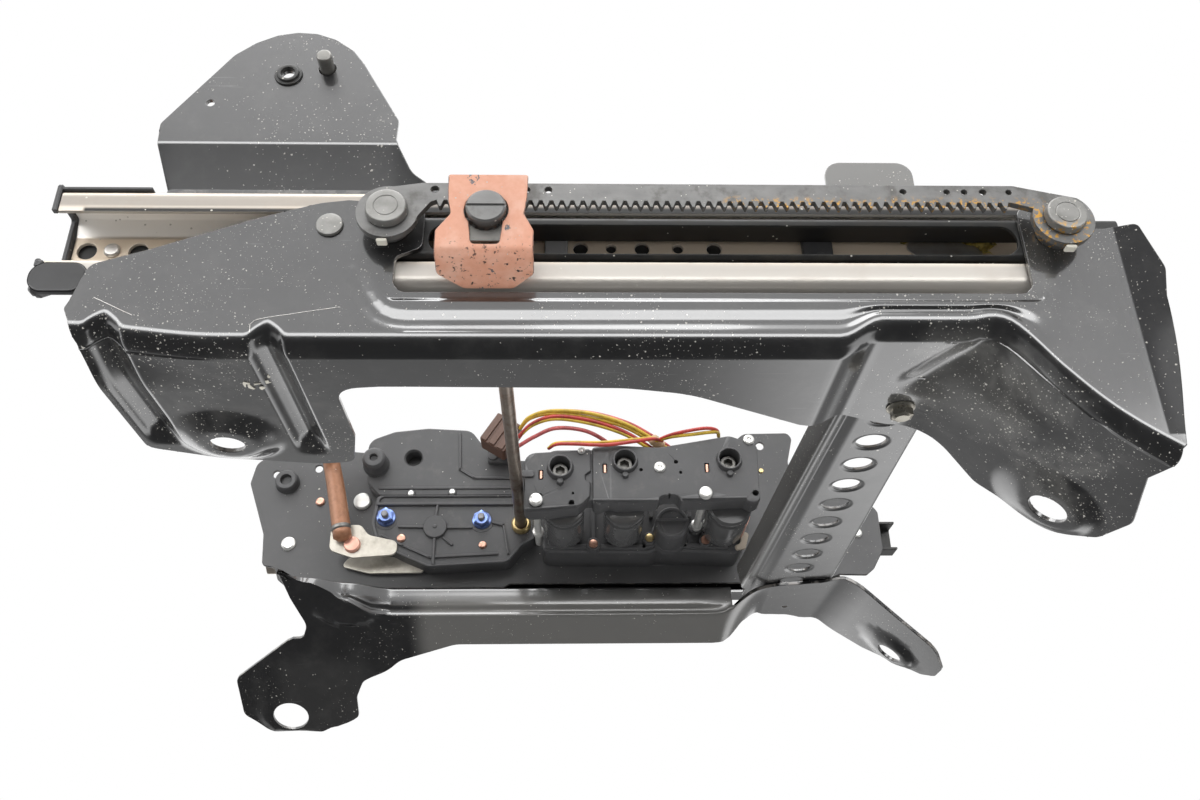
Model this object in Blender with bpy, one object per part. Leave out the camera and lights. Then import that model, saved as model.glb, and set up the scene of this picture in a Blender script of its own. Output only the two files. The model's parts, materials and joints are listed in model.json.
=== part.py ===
# Powered seat slide: two floor frames joined by a cross channel, and the seat carriage
# that a motor unit drives along them through a cross shaft, a pinion and a fixed rack.
# X runs along the rails, Y from the near side to the far side, Z is up.
# Sizes are in millimetres, and MM turns them into metres where a mesh is made.

import math

import bmesh
import bpy
from mathutils import Vector
from mathutils.geometry import delaunay_2d_cdt

for item in list(bpy.data.objects):
    bpy.data.objects.remove(item, do_unlink=True)

MM = 0.001

# Clearances
SEAT_GAP = 0.3          # between pieces that touch
SLIDE_GAP = 1.0         # between the sliding rail and the side frame
GUIDE_GAP = 2.0         # between the guide rail and the lips of the sliding rail
BORE_GAP = 0.6          # round a shaft or a rivet in its hole, on the radius

# Near side frame, one pressed sheet
FRAME_SHEET = 2.5
FRAME_BEND = 5.0        # outside radius where the side wall turns into the flange
WALL_FADE = 25.0        # height at which the wall no longer follows the flange level
SEAT_LEVEL = 9.0        # height of the raised seat that the cross channel lies under
FOOT_SLOPE = 38.0       # degrees, right foot
FOOT_LEFT = (-167.8, 84.6)
FOOT_LEFT_HOLE = 8.4
FOOT_LEFT_DISH = 27.0
FOOT_LEFT_FLAT = 17.0
FOOT_LEFT_DEPTH = 4.0
FOOT_RIGHT = (231.6, 85.0, -34.8)
FOOT_RIGHT_HOLE = 9.5
FOOT_RIGHT_DISH = 24.0
FOOT_RIGHT_FLAT = 14.0
FOOT_RIGHT_DEPTH = 3.0
DARTS = ((-200.0, 9.0, 95.0), (-130.0, 8.0, 107.0))
DART_HEIGHT = 6.0
WINDOW_LEFT = -78.0
WINDOW_RIGHT = 207.0
WINDOW_SILL = 30.0
WINDOW_CORNER = 6.0
BEAD_DEPTH = 1.6
BEAD_WIDTH = 4.0
BEAD_PATH = ((-100.0, 58.0), (-96.0, 33.0), (-88.0, 20.0), (-74.0, 15.5), (207.0, 16.5), (222.0, 24.0))
STRIP_CREASE = (245.0, 252.0)   # x of the crease at the top of the wall and at its foot
STRIP_TOP = 64.0
STRIP_TURN = 18.0               # degrees that the end strip leans out from the wall

# Far floor frame, one pressed sheet
FAR_SHEET = 2.5
SHELF_LEVEL = 12.5      # underside of the shelf below the far rail
SHELF_FRONT = 368.5
SHELF_BACK = 411.5
SHELF_END = 118.0
WEB_HEIGHT = 22.0       # length of sheet kept for the web
WEB_FOOT = 366.0
FAR_SLOPE = 34.0        # degrees, front flange and left foot
FAR_PAD = 8.0           # underside of the pad under the channel end
FAR_PAD_BLEND = (105.0, 148.0)
FAR_FOOT_LEFT = (-210.6, 440.0, -59.6)
FAR_FOOT_LEFT_HOLE = 13.0
FAR_FOOT_RIGHT = (238.5, 400.0, -25.0)
FAR_FOOT_RIGHT_HOLE = 9.0
FAR_LEFT_FLAT = 18.5
FAR_LEFT_DISH = 26.0
FAR_FOOT_DISH = 22.0
FAR_FOOT_FLAT = 14.0
FAR_FOOT_DEPTH = 3.0
FAR_RIGHT_SLOPE = 40.0  # degrees, right foot
FAR_DISH = (-160.0, 360.0, 27.0, 12.0, 3.0)   # centre x and y, half length, half width, depth

# Sliding rails, C sections that open towards their own side frame
RAIL_SHEET = 2.2
RAIL_LEFT = -236.0
RAIL_RIGHT = 232.0
RAIL_BOTTOM = 34.0
RAIL_TOP = 87.0
RAIL_DEPTH = 23.0
LOW_LIP = 48.0          # top of the low lip
TOP_LIP = 75.0          # bottom of the top lip
RAIL_CORNER = 3.0
WEB_HOLES = ((-227.0, 67.5, 4.5), (-203.0, 67.5, 4.5), (5.0, 70.0, 3.5), (34.4, 70.0, 3.5), (68.9, 70.0, 3.5))
WEB_RIVET = (-215.0, 67.5)
WEB_RIVET_RADIUS = 2.6

CAP_WALL = 3.0
CAP_PROUD = 0.6         # how far the end cap stands in front of the rail's lips
CAP_STRIP_END = -193.0
CAP_LOW_END = -214.0

# Guide rails, fixed C sections inside the mouths of the sliding rails
GUIDE_SHEET = 2.0
GUIDE_LEFT = -132.0
GUIDE_RIGHT = 255.0
GUIDE_REACH = 20.0      # y of the guide's back edge
SLOT_LEFT = -58.0
SLOT_RIGHT = 200.0
SLOT_HALF = 5.2

# Rack and pinion
TOOTH_PITCH = 4.712
MODULE = TOOTH_PITCH / math.pi
PINION_TEETH = 11
PINION_X = -36.6
PITCH_LINE = 68.35      # height of the rack's pitch line
MESH_GAP = 0.15         # extra distance between the pitch line and the pinion
TOOTH_THIN = 0.34       # taken off each tooth for backlash
RACK_FRONT = -12.0
RACK_BACK = -8.5
RACK_TOP = 80.0
RACK_LEFT = -59.0
RACK_RIGHT = 197.0
RACK_HOLES = ((-19.4, 1.3), (-9.7, 1.3), (151.0, 1.5), (171.0, 1.2), (179.0, 1.2), (187.6, 1.6), (199.4, 1.2))
RACK_HOLE_LEVEL = 76.2
LUG_LEFT = (-81.0, 64.0)
LUG_RIGHT = (222.0, 62.0)
LUG_RADIUS = 14.0
RIVET_SHANK = 5.0
RIVET_HEAD = 9.5
RIVET_HEAD_HEIGHT = 4.0
SPACER_RADIUS = 9.0
FRAME_RIVET = (-108.5, 64.7)
FRAME_RIVET_HEAD = 6.3
FRAME_RIVET_SHANK = 3.2

PINION_RADIUS = MODULE * PINION_TEETH / 2.0
PINION_Z = PITCH_LINE - PINION_RADIUS - MESH_GAP
PINION_FRONT = -13.2
PINION_BACK = -7.4
PINION_HEAD_RADIUS = 8.8
PINION_HEAD_FRONT = -22.0
SHAFT_RADIUS = 4.2
SHAFT_START = -18.0
SHAFT_END = 371.0
SHAFT_BUSH_RADIUS = 7.2
SHAFT_BUSH_FRONT = 360.0

# Pinion bracket
BRACKET_SHEET = 2.0
BRACKET_FACE = -18.6
BRACKET_TOP = 79.5
BRACKET_BEND = 37.5
KEYHOLE_RADIUS = 9.6
KEYHOLE_SLOT = 6.2      # half width
KEY_PLATE_SHEET = 1.2

# Hinge bracket on the sliding rail
HINGE_SHEET = 2.5
HINGE_FOOT_FRONT = 6.0
HINGE_FOOT_BACK = 23.0
HINGE_FACE = 10.0
HINGE_BEND = 120.0
HINGE_PEAK = 192.0
HINGE_HOLE = (-140.2, 162.3, 3.4)
HINGE_COLLAR = 7.0
HINGE_PIN = (-121.6, 167.3, 3.8)
HINGE_SMALL_HOLE = (-176.2, 144.2, 2.0)
PIN_REACH = 9.0

# Tab on top of the sliding rail
TAB_LEFT = 124.0
TAB_RIGHT = 167.0
TAB_TOP = 114.0
TAB_FACE = 13.0

# Cross channel
CHANNEL_SHEET = 2.0
CHANNEL_START = 46.0
CHANNEL_END = 388.0
CHANNEL_MIDDLE = 157.8
CHANNEL_HALF_NEAR = 21.5
CHANNEL_HALF_FAR = 32.0
CHANNEL_SIDE = 14.0     # length of the side walls
CHANNEL_LEAN = 20.0     # degrees that the side walls lean out
CHANNEL_HOLE_X = 160.5
CHANNEL_HOLE_RADIUS = 8.0
CHANNEL_HOLE_FIRST = 88.8
CHANNEL_HOLE_PITCH = 29.2
CHANNEL_HOLE_COUNT = 10
CHANNEL_BOLT = (163.0, 71.0)
BOLT_RADIUS = 3.0
BOLT_HEX = 5.0
BOLT_FLANGE = 6.6

# Far carriage
CARRIER_FACE = 385.0
CARRIER_SHEET = 2.5
HOUSING_FACE = 366.0
COVER_FACE = 371.0
MOTOR_FACE = 283.0
MOTOR_PLATE = 17.0
MOTOR_BACK = 352.0
MOTOR_LEVEL = 50.0
MOTOR_RADIUS = 15.5
MOTORS = (("left", -4.0), ("middle", 38.0), ("right", 112.0))
SOCKETS = ((-6.8, 70.5), (38.0, 75.1), (110.4, 76.0))
SOCKET_OUTER = 8.8
SOCKET_INNER = 6.9
SOCKET_DEPTH = 13.0
SOCKET_PROUD = 4.0
COUPLING_RADIUS = 5.6
HOUSING_BOLTS = (("left", -23.1, 46.4), ("right", 92.6, 51.0))
HOUSING_BOLT_RADIUS = 2.6
COVER_NUTS = (("left", -138.2, 66.3), ("right", -66.3, 64.1))
NUT_RADIUS = 5.5

STAND_FOOT = 22.0       # width of the foot of the far rail's stand

# Cross rod and its end
ROD_RADIUS = 6.0
ROD_NEAR = (-184.0, 128.0)
ROD_LEVEL = 57.0
LEVER_SHEET = 2.2

# Wires
WIRE_RADIUS = 1.5

BODY_PIVOTS = {
    "floor_frame": (0.0, 0.0, 0.0),
    "carriage": (0.0, RAIL_DEPTH, PINION_Z),
    "sync_shaft": (PINION_X, 0.0, PINION_Z),
    "drive_coupling_left": (SOCKETS[0][0], MOTOR_FACE, SOCKETS[0][1]),
    "drive_coupling_middle": (SOCKETS[1][0], MOTOR_FACE, SOCKETS[1][1]),
    "drive_coupling_right": (SOCKETS[2][0], MOTOR_FACE, SOCKETS[2][1]),
}

FINISHES = {
    "black_paint": ((0.012, 0.012, 0.013), 0.28, 0.0),
    "rail_steel": ((0.30, 0.22, 0.16), 0.45, 1.0),
    "bright_steel": ((0.55, 0.54, 0.52), 0.35, 1.0),
    "dark_steel": ((0.10, 0.10, 0.10), 0.50, 1.0),
    "red_oxide": ((0.24, 0.060, 0.035), 0.50, 0.0),
    "black_plastic": ((0.015, 0.015, 0.016), 0.50, 0.0),
    "brown_rod": ((0.20, 0.085, 0.045), 0.42, 0.0),
    "copper": ((0.60, 0.30, 0.20), 0.40, 1.0),
    "blue_zinc": ((0.10, 0.16, 0.42), 0.40, 1.0),
    "brown_plastic": ((0.10, 0.055, 0.035), 0.55, 0.0),
    "yellow_wire": ((0.70, 0.50, 0.05), 0.45, 0.0),
    "red_wire": ((0.50, 0.03, 0.02), 0.45, 0.0),
}


def make_bodies():
    root = bpy.data.objects.new("track", None)
    bpy.context.scene.collection.objects.link(root)
    bodies = {"track": root}
    for name, pivot in BODY_PIVOTS.items():
        empty = bpy.data.objects.new(name + "_axis", None)
        bpy.context.scene.collection.objects.link(empty)
        empty.parent = root
        empty.location = Vector(pivot) * MM
        bodies[name] = empty
    return bodies


def make_finishes():
    made = {}
    for name, (colour, roughness, metallic) in FINISHES.items():
        material = bpy.data.materials.new(name)
        material.use_nodes = True
        shader = material.node_tree.nodes["Principled BSDF"]
        shader.inputs["Base Color"].default_value = (*colour, 1.0)
        shader.inputs["Roughness"].default_value = roughness
        shader.inputs["Metallic"].default_value = metallic
        material.diffuse_color = (*colour, 1.0)
        made[name] = material
    return made


BODIES = make_bodies()
MATERIALS = make_finishes()


# Flat curves

def fillet(points, steps=4):
    # Each point is (a, b) or (a, b, radius), round the loop.
    rounded = []
    count = len(points)
    for index, point in enumerate(points):
        corner = Vector(point[:2])
        radius = point[2] if len(point) > 2 else 0.0
        if radius <= 0.0:
            rounded.append(tuple(corner))
            continue
        before = Vector(points[index - 1][:2]) - corner
        after = Vector(points[(index + 1) % count][:2]) - corner
        rounded.extend(arc_corner(corner, before, after, radius, steps))
    return rounded


def arc_corner(corner, before, after, radius, steps):
    half = before.angle(after) / 2.0
    if half > math.radians(89.5):
        return [tuple(corner)]
    reach = radius / math.tan(half)
    longest = min(before.length, after.length) * 0.48
    if reach > longest:
        reach = longest
        radius = reach * math.tan(half)
    start = corner + before.normalized() * reach
    end = corner + after.normalized() * reach
    middle = (before.normalized() + after.normalized()).normalized()
    centre = corner + middle * (radius / math.sin(half))
    first = start - centre
    last = end - centre
    sweep = first.angle_signed(last)
    made = []
    for step in range(steps + 1):
        turn = -sweep * step / steps
        made.append((
            centre.x + first.x * math.cos(turn) - first.y * math.sin(turn),
            centre.y + first.x * math.sin(turn) + first.y * math.cos(turn),
        ))
    return made


def ellipse(centre_a, centre_b, radius_a, radius_b=None, count=16):
    radius_b = radius_a if radius_b is None else radius_b
    return [
        (
            centre_a + radius_a * math.cos(2.0 * math.pi * step / count),
            centre_b + radius_b * math.sin(2.0 * math.pi * step / count),
        )
        for step in range(count)
    ]


def inside(a, b, loops):
    crossings = 0
    for loop in loops:
        for index in range(len(loop)):
            a1, b1 = loop[index - 1]
            a2, b2 = loop[index]
            if (b1 > b) != (b2 > b):
                if a < a1 + (b - b1) * (a2 - a1) / (b2 - b1):
                    crossings += 1
    return crossings % 2 == 1


def triangulate(loops, lines_a=(), lines_b=(), rings=()):
    # Triangles inside the outline and outside the holes, cut along the given lines and rings.
    points = []
    edges = []
    for loop in list(loops) + list(rings):
        first = len(points)
        points.extend(Vector(point) for point in loop)
        edges.extend((first + i, first + (i + 1) % len(loop)) for i in range(len(loop)))
    low_a = min(point[0] for point in loops[0]) - 1.0
    high_a = max(point[0] for point in loops[0]) + 1.0
    low_b = min(point[1] for point in loops[0]) - 1.0
    high_b = max(point[1] for point in loops[0]) + 1.0
    for value in lines_a:
        points.extend((Vector((value, low_b)), Vector((value, high_b))))
        edges.append((len(points) - 2, len(points) - 1))
    for value in lines_b:
        points.extend((Vector((low_a, value)), Vector((high_a, value))))
        edges.append((len(points) - 2, len(points) - 1))
    found, _, faces, _, _, _ = delaunay_2d_cdt(points, edges, [], 0, 0.02)
    kept = []
    for face in faces:
        a = sum(found[i][0] for i in face) / len(face)
        b = sum(found[i][1] for i in face) / len(face)
        if inside(a, b, loops):
            kept.append(tuple(face))
    used = sorted({i for face in kept for i in face})
    slot = {old: new for new, old in enumerate(used)}
    return [tuple(found[i]) for i in used], [tuple(slot[i] for i in face) for face in kept]


def close_layers(points_out, points_in, faces):
    # Joins two copies of one triangle net along its open edges.
    count = len(points_out)
    seen = {}
    for face in faces:
        for i in range(len(face)):
            pair = (face[i], face[(i + 1) % len(face)])
            seen[pair] = True
    walls = [
        (b, a, a + count, b + count)
        for a, b in seen
        if (b, a) not in seen
    ]
    bottom = [tuple(i + count for i in reversed(face)) for face in faces]
    return points_out + points_in, list(faces) + bottom + walls


def emit(name, points, faces, body, finish):
    pivot = Vector(BODY_PIVOTS[body])
    mesh = bpy.data.meshes.new(name)
    mesh.from_pydata([(Vector(p) - pivot) * MM for p in points], [], faces)
    work = bmesh.new()
    work.from_mesh(mesh)
    bmesh.ops.recalc_face_normals(work, faces=work.faces)
    if work.calc_volume(signed=True) < 0.0:
        bmesh.ops.reverse_faces(work, faces=work.faces)
    work.to_mesh(mesh)
    work.free()
    mesh.shade_smooth()
    mesh.set_sharp_from_angle(angle=math.radians(30.0))
    made = bpy.data.objects.new(name, mesh)
    bpy.context.scene.collection.objects.link(made)
    made.parent = BODIES[body]
    made.data.materials.append(MATERIALS[finish])
    return made


def sheet(name, loops, lines_a, lines_b, place, thickness, body, finish, rings=()):
    # A pressed sheet: place() gives the outer face, and the sheet grows along a x b.
    flat, faces = triangulate(loops, lines_a, lines_b, rings)
    step = 0.05
    outer = []
    inner = []
    for a, b in flat:
        along_a = place(a + step, b) - place(a - step, b)
        along_b = place(a, b + step) - place(a, b - step)
        normal = along_a.cross(along_b).normalized()
        point = place(a, b)
        outer.append(point)
        inner.append(point + normal * thickness)
    points, shell = close_layers(outer, inner, faces)
    return emit(name, points, shell, body, finish)


def prism(name, loops, low, high, body, finish, axis="Y"):
    # A flat outline pushed straight through from low to high.
    flat, faces = triangulate(loops)
    if axis == "Y":
        ends = [[Vector((a, depth, b)) for a, b in flat] for depth in (low, high)]
    else:
        ends = [[Vector((depth, a, b)) for a, b in flat] for depth in (low, high)]
    points, shell = close_layers(ends[0], ends[1], faces)
    return emit(name, points, shell, body, finish)


def hex_reach(angle):
    return 1.0 / math.cos((angle + math.pi / 6.0) % (math.pi / 3.0) - math.pi / 6.0)


def turned(name, profile, centre, body, finish, axis="Y", count=14, ring=False):
    # profile holds (place along the axis, radius) or (place, flat radius, "hex").
    points = []
    rows = []
    for entry in profile:
        place, radius = entry[0], entry[1]
        rows.append([])
        if radius == 0.0:
            rows[-1].append(len(points))
            points.append(turned_point(place, 0.0, 0.0, centre, axis))
            continue
        for step in range(count):
            angle = 2.0 * math.pi * step / count
            reach = radius * (hex_reach(angle) if len(entry) > 2 else 1.0)
            rows[-1].append(len(points))
            points.append(turned_point(place, reach, angle, centre, axis))
    faces = []
    pairs = list(zip(rows, rows[1:]))
    if ring:
        pairs.append((rows[-1], rows[0]))
    for lower, upper in pairs:
        for step in range(count):
            after = (step + 1) % count
            if len(lower) == 1 and len(upper) == 1:
                continue
            if len(lower) == 1:
                faces.append((lower[0], upper[step], upper[after]))
            elif len(upper) == 1:
                faces.append((lower[step], lower[after], upper[0]))
            else:
                faces.append((lower[step], lower[after], upper[after], upper[step]))
    return emit(name, points, faces, body, finish)


def turned_point(place, radius, angle, centre, axis):
    across = radius * math.cos(angle)
    up = radius * math.sin(angle)
    if axis == "Y":
        return Vector((centre[0] + across, place, centre[1] + up))
    if axis == "X":
        return Vector((place, centre[0] + across, centre[1] + up))
    return Vector((centre[0] + across, centre[1] + up, place))


def combine(target, others, operation="UNION"):
    # Joins or cuts solids for good, so that one closed body is left.
    for other in others:
        step = target.modifiers.new("combine", "BOOLEAN")
        step.operation = operation
        step.solver = "EXACT"
        step.object = other
    bpy.context.view_layer.update()
    seen = target.evaluated_get(bpy.context.evaluated_depsgraph_get())
    mesh = bpy.data.meshes.new_from_object(seen)
    target.modifiers.clear()
    target.data = mesh
    for other in others:
        bpy.data.objects.remove(other, do_unlink=True)
    return target


class Section:
    # A bent sheet's section: a path with rounded corners, read by the length along it.
    def __init__(self, points, steps=3):
        path = [Vector(points[0][:2])]
        for before, point, after in zip(points, points[1:], points[2:]):
            corner = Vector(point[:2])
            radius = point[2] if len(point) > 2 else 0.0
            if radius > 0.0:
                left = Vector(before[:2]) - corner
                right = Vector(after[:2]) - corner
                path.extend(Vector(p) for p in arc_corner(corner, left, right, radius, steps))
            else:
                path.append(corner)
        path.append(Vector(points[-1][:2]))
        self.path = path
        self.marks = [0.0]
        for one, two in zip(path, path[1:]):
            self.marks.append(self.marks[-1] + (two - one).length)
        self.length = self.marks[-1]

    def at(self, length):
        marks = self.marks
        index = 0
        while index < len(marks) - 2 and length > marks[index + 1]:
            index += 1
        share = (length - marks[index]) / (marks[index + 1] - marks[index])
        return self.path[index].lerp(self.path[index + 1], share)

    def bends(self):
        return [mark for mark in self.marks[1:-1]]


def smooth(value):
    value = min(max(value, 0.0), 1.0)
    return value * value * (3.0 - 2.0 * value)


def ramp(value, low, high):
    return smooth((value - low) / (high - low))


def level_between(value, table):
    if value <= table[0][0]:
        return table[0][1]
    for (x1, level1), (x2, level2) in zip(table, table[1:]):
        if value <= x2:
            return level1 + (level2 - level1) * smooth((value - x1) / (x2 - x1))
    return table[-1][1]


def lower_of(one, two, blend):
    # The lower of two heights with a rounded change over.
    share = min(max(0.5 + 0.5 * (two - one) / blend, 0.0), 1.0)
    return one * share + two * (1.0 - share) - blend * share * (1.0 - share)


def ring_dish(distance, flat, rim, depth):
    return -depth * (1.0 - ramp(distance, flat, rim))


def path_distance(a, b, path):
    point = Vector((a, b))
    best = 1e9
    for one, two in zip(path, path[1:]):
        start = Vector(one)
        run = Vector(two) - start
        share = min(max((point - start).dot(run) / run.length_squared, 0.0), 1.0)
        best = min(best, (start + run * share - point).length)
    return best


# Near side frame

BEND_ARC = FRAME_BEND * math.pi / 2.0


def wall_row(z):
    return -(z - FRAME_BEND) - BEND_ARC / 2.0


def flange_row(y):
    return (y - FRAME_BEND) + BEND_ARC / 2.0


def flange_level(x, y):
    base = level_between(x, ((117.0, 0.0), (137.0, SEAT_LEVEL)))
    slope = math.tan(math.radians(FOOT_SLOPE))
    foot = FOOT_RIGHT[2] - slope * (x - FOOT_RIGHT[0])
    level = lower_of(base, foot, 6.0)
    level += 8.0 * ramp(-x, 150.0, 218.0) * (1.0 - ramp(y, 4.0, 24.0))
    for middle, half, reach in DARTS:
        across = 1.0 - ramp(abs(x - middle), 0.0, half)
        along = (1.0 - ramp(y, reach - 14.0, reach)) * ramp(y, 1.0, 10.0)
        level += DART_HEIGHT * across * along
    from_left = math.hypot(x - FOOT_LEFT[0], y - FOOT_LEFT[1])
    level += ring_dish(from_left, FOOT_LEFT_FLAT, FOOT_LEFT_DISH, FOOT_LEFT_DEPTH)
    stretch = math.cos(math.radians(FOOT_SLOPE))
    from_right = math.hypot((x - FOOT_RIGHT[0]) / stretch, y - FOOT_RIGHT[1])
    level += ring_dish(from_right, FOOT_RIGHT_FLAT, FOOT_RIGHT_DISH, FOOT_RIGHT_DEPTH)
    return level


def side_frame_point(x, row):
    half = BEND_ARC / 2.0
    if row > half:
        y = FRAME_BEND + (row - half)
        return Vector((x, y, flange_level(x, y)))
    if row > -half:
        turn = (row + half) / FRAME_BEND
        y = FRAME_BEND * (1.0 - math.cos(turn))
        z = FRAME_BEND * (1.0 - math.sin(turn))
        return Vector((x, y, z + flange_level(x, 0.0)))
    z = FRAME_BEND + (-half - row)
    fade = min(max((WALL_FADE - z) / (WALL_FADE - FRAME_BEND), 0.0), 1.0)
    crease = STRIP_CREASE[1] + (STRIP_CREASE[0] - STRIP_CREASE[1]) * min(max(z / STRIP_TOP, 0.0), 1.0)
    lean = math.tan(math.radians(STRIP_TURN)) * max(x - crease, 0.0) * ramp(z, FRAME_BEND, 30.0)
    bead = BEAD_DEPTH * (1.0 - ramp(path_distance(x, z, BEAD_PATH), 0.0, BEAD_WIDTH)) * (1.0 - ramp(z, 22.0, 29.0))
    return Vector((x, bead - lean, z + flange_level(x, 0.0) * fade))


def build_near_side_frame():
    wall = [
        (WINDOW_LEFT, WINDOW_SILL, WINDOW_CORNER), (WINDOW_LEFT, 48.0, 4.0), (-66.0, 53.0, 5.0), (-66.0, 77.0, 6.0), (-101.4, 79.5), (-114.0, 77.8),
        (-144.5, 68.1), (-186.8, 51.7), (-212.0, 43.3, 8.0), (-218.0, 18.0, 6.0),
    ]
    flange = [
        (-212.0, 6.0), (-212.0, 98.0, 8.0), (-180.0, 110.5), (-130.0, 118.5), (-112.0, 116.0, 6.0),
        (-106.5, 87.0), (-106.7, 36.0, 12.0), (-85.0, 33.5), (25.0, 35.0), (55.0, 41.0), (112.0, 73.0, 8.0),
        (132.0, 78.0), (160.0, 90.4), (188.0, 93.0), (207.0, 107.0, 8.0), (240.0, 106.5, 12.0),
        (255.0, 90.0, 12.0), (259.0, 62.0), (250.0, 25.0),
    ]
    right = [
        (254.0, 6.0), (261.0, 17.0), (264.8, 39.0, 10.0), (259.0, 64.6, 3.0), (238.0, 65.5, 3.0),
        (233.0, 77.0, 5.0), (WINDOW_RIGHT, 77.0, 5.0), (WINDOW_RIGHT, WINDOW_SILL, WINDOW_CORNER),
    ]
    outline = [(p[0], wall_row(p[1])) + tuple(p[2:]) for p in wall]
    outline += [(p[0], flange_row(p[1])) + tuple(p[2:]) for p in flange]
    outline += [(p[0], wall_row(p[1])) + tuple(p[2:]) for p in right]
    stretch = math.cos(math.radians(FOOT_SLOPE))
    loops = [
        fillet(outline, 3),
        ellipse(FOOT_LEFT[0], flange_row(FOOT_LEFT[1]), FOOT_LEFT_HOLE),
        ellipse(FOOT_RIGHT[0], flange_row(FOOT_RIGHT[1]), FOOT_RIGHT_HOLE * stretch, FOOT_RIGHT_HOLE),
        ellipse(CHANNEL_BOLT[0], flange_row(CHANNEL_BOLT[1]), BOLT_RADIUS + BORE_GAP, count=10),
    ]
    for centre, radius in ((LUG_LEFT, RIVET_SHANK), (LUG_RIGHT, RIVET_SHANK), (FRAME_RIVET, FRAME_RIVET_SHANK)):
        loops.append(ellipse(centre[0], wall_row(centre[1]), radius + BORE_GAP, count=12))
    rings = []
    for reach in (FOOT_LEFT_FLAT, FOOT_LEFT_DISH):
        rings.append(ellipse(FOOT_LEFT[0], flange_row(FOOT_LEFT[1]), reach, count=20))
    for reach in (FOOT_RIGHT_FLAT, FOOT_RIGHT_DISH):
        rings.append(ellipse(FOOT_RIGHT[0], flange_row(FOOT_RIGHT[1]), reach * stretch, reach, count=16))
    lines_x = [-207.0, -200.0, -193.0, -137.0, -130.0, -123.0, -90.0]
    lines_x += [20.0, 117.0, 123.0, 130.0, 137.0, 168.0, 174.0, 181.0, 207.0]
    lines_x += [240.0, 248.0]
    rows = [wall_row(z) for z in (29.5, 20.0, 16.0, 12.0)]
    rows += [BEND_ARC * (step / 3.0 - 0.5) for step in range(4)]
    rows += [flange_row(y) for y in (12.0, 24.0, 44.0, 56.0, 110.0)]
    sheet("near_side_frame", loops, lines_x, rows, side_frame_point, FRAME_SHEET, "floor_frame", "black_paint", rings)


# Rails. Both sides share one section; the far side is its mirror image.

def near_depth(y):
    return y


def far_depth(y):
    return CARRIER_FACE + CARRIER_SHEET + SEAT_GAP + WEB_BACK - y


LIP_FRONT = FRAME_SHEET + SLIDE_GAP
WEB_BACK = LIP_FRONT + RAIL_DEPTH
WEB_FRONT = WEB_BACK - RAIL_SHEET
GUIDE_FRONT = FRAME_SHEET + SEAT_GAP
GUIDE_LOW = LOW_LIP + GUIDE_GAP
GUIDE_HIGH = TOP_LIP - GUIDE_GAP
STAND_FACE = far_depth(GUIDE_FRONT) + SEAT_GAP


def rail_section():
    return Section([
        (LIP_FRONT, LOW_LIP), (LIP_FRONT, RAIL_BOTTOM, RAIL_CORNER), (WEB_BACK, RAIL_BOTTOM, RAIL_CORNER),
        (WEB_BACK, RAIL_TOP, RAIL_CORNER), (LIP_FRONT, RAIL_TOP, RAIL_CORNER), (LIP_FRONT, TOP_LIP),
    ])


def build_rail(name, depth, holes, body="carriage", finish="rail_steel"):
    section = rail_section()
    start = (WEB_BACK - LIP_FRONT) + (LOW_LIP - RAIL_BOTTOM)
    web_start = next(m for m, p in zip(section.marks, section.path) if p.x > WEB_BACK - 0.01)
    web_level = next(p.y for p in section.path if p.x > WEB_BACK - 0.01)

    def place(x, row):
        point = section.at(row)
        return Vector((x, depth(point.x), point.y))

    outline = [(RAIL_LEFT, 0.0), (RAIL_RIGHT, 0.0), (RAIL_RIGHT, section.length), (RAIL_LEFT, section.length)]
    loops = [outline]
    for x, z, radius in holes:
        loops.append(ellipse(x, web_start + z - web_level, radius, count=12))
    turn = 1.0 if depth is near_depth else -1.0
    sheet(name, loops, [], section.bends(), place, turn * RAIL_SHEET, body, finish)
    return start


def build_guide(name, depth, slot, rivets):
    section = Section([
        (GUIDE_REACH, GUIDE_LOW), (GUIDE_FRONT, GUIDE_LOW, 2.5), (GUIDE_FRONT, GUIDE_HIGH, 2.5),
        (GUIDE_REACH, GUIDE_HIGH),
    ])
    front = next(m for m, p in zip(section.marks, section.path) if p.x < GUIDE_FRONT + 0.01)
    level = next(p.y for p in section.path if p.x < GUIDE_FRONT + 0.01)

    def place(x, row):
        point = section.at(row)
        return Vector((x, depth(point.x), point.y))

    loops = [[(GUIDE_LEFT, 0.0), (GUIDE_RIGHT, 0.0), (GUIDE_RIGHT, section.length), (GUIDE_LEFT, section.length)]]
    if slot:
        low = front + PINION_Z - SLOT_HALF - level
        high = front + PINION_Z + SLOT_HALF - level
        loops.append(fillet([
            (SLOT_LEFT, low, SLOT_HALF), (SLOT_RIGHT, low, SLOT_HALF),
            (SLOT_RIGHT, high, SLOT_HALF), (SLOT_LEFT, high, SLOT_HALF),
        ]))
    for (x, z), radius in rivets:
        loops.append(ellipse(x, front + z - level, radius + BORE_GAP, count=12))
    turn = -1.0 if depth is near_depth else 1.0
    sheet(name, loops, [], section.bends(), place, turn * GUIDE_SHEET, "floor_frame", "dark_steel")


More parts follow.
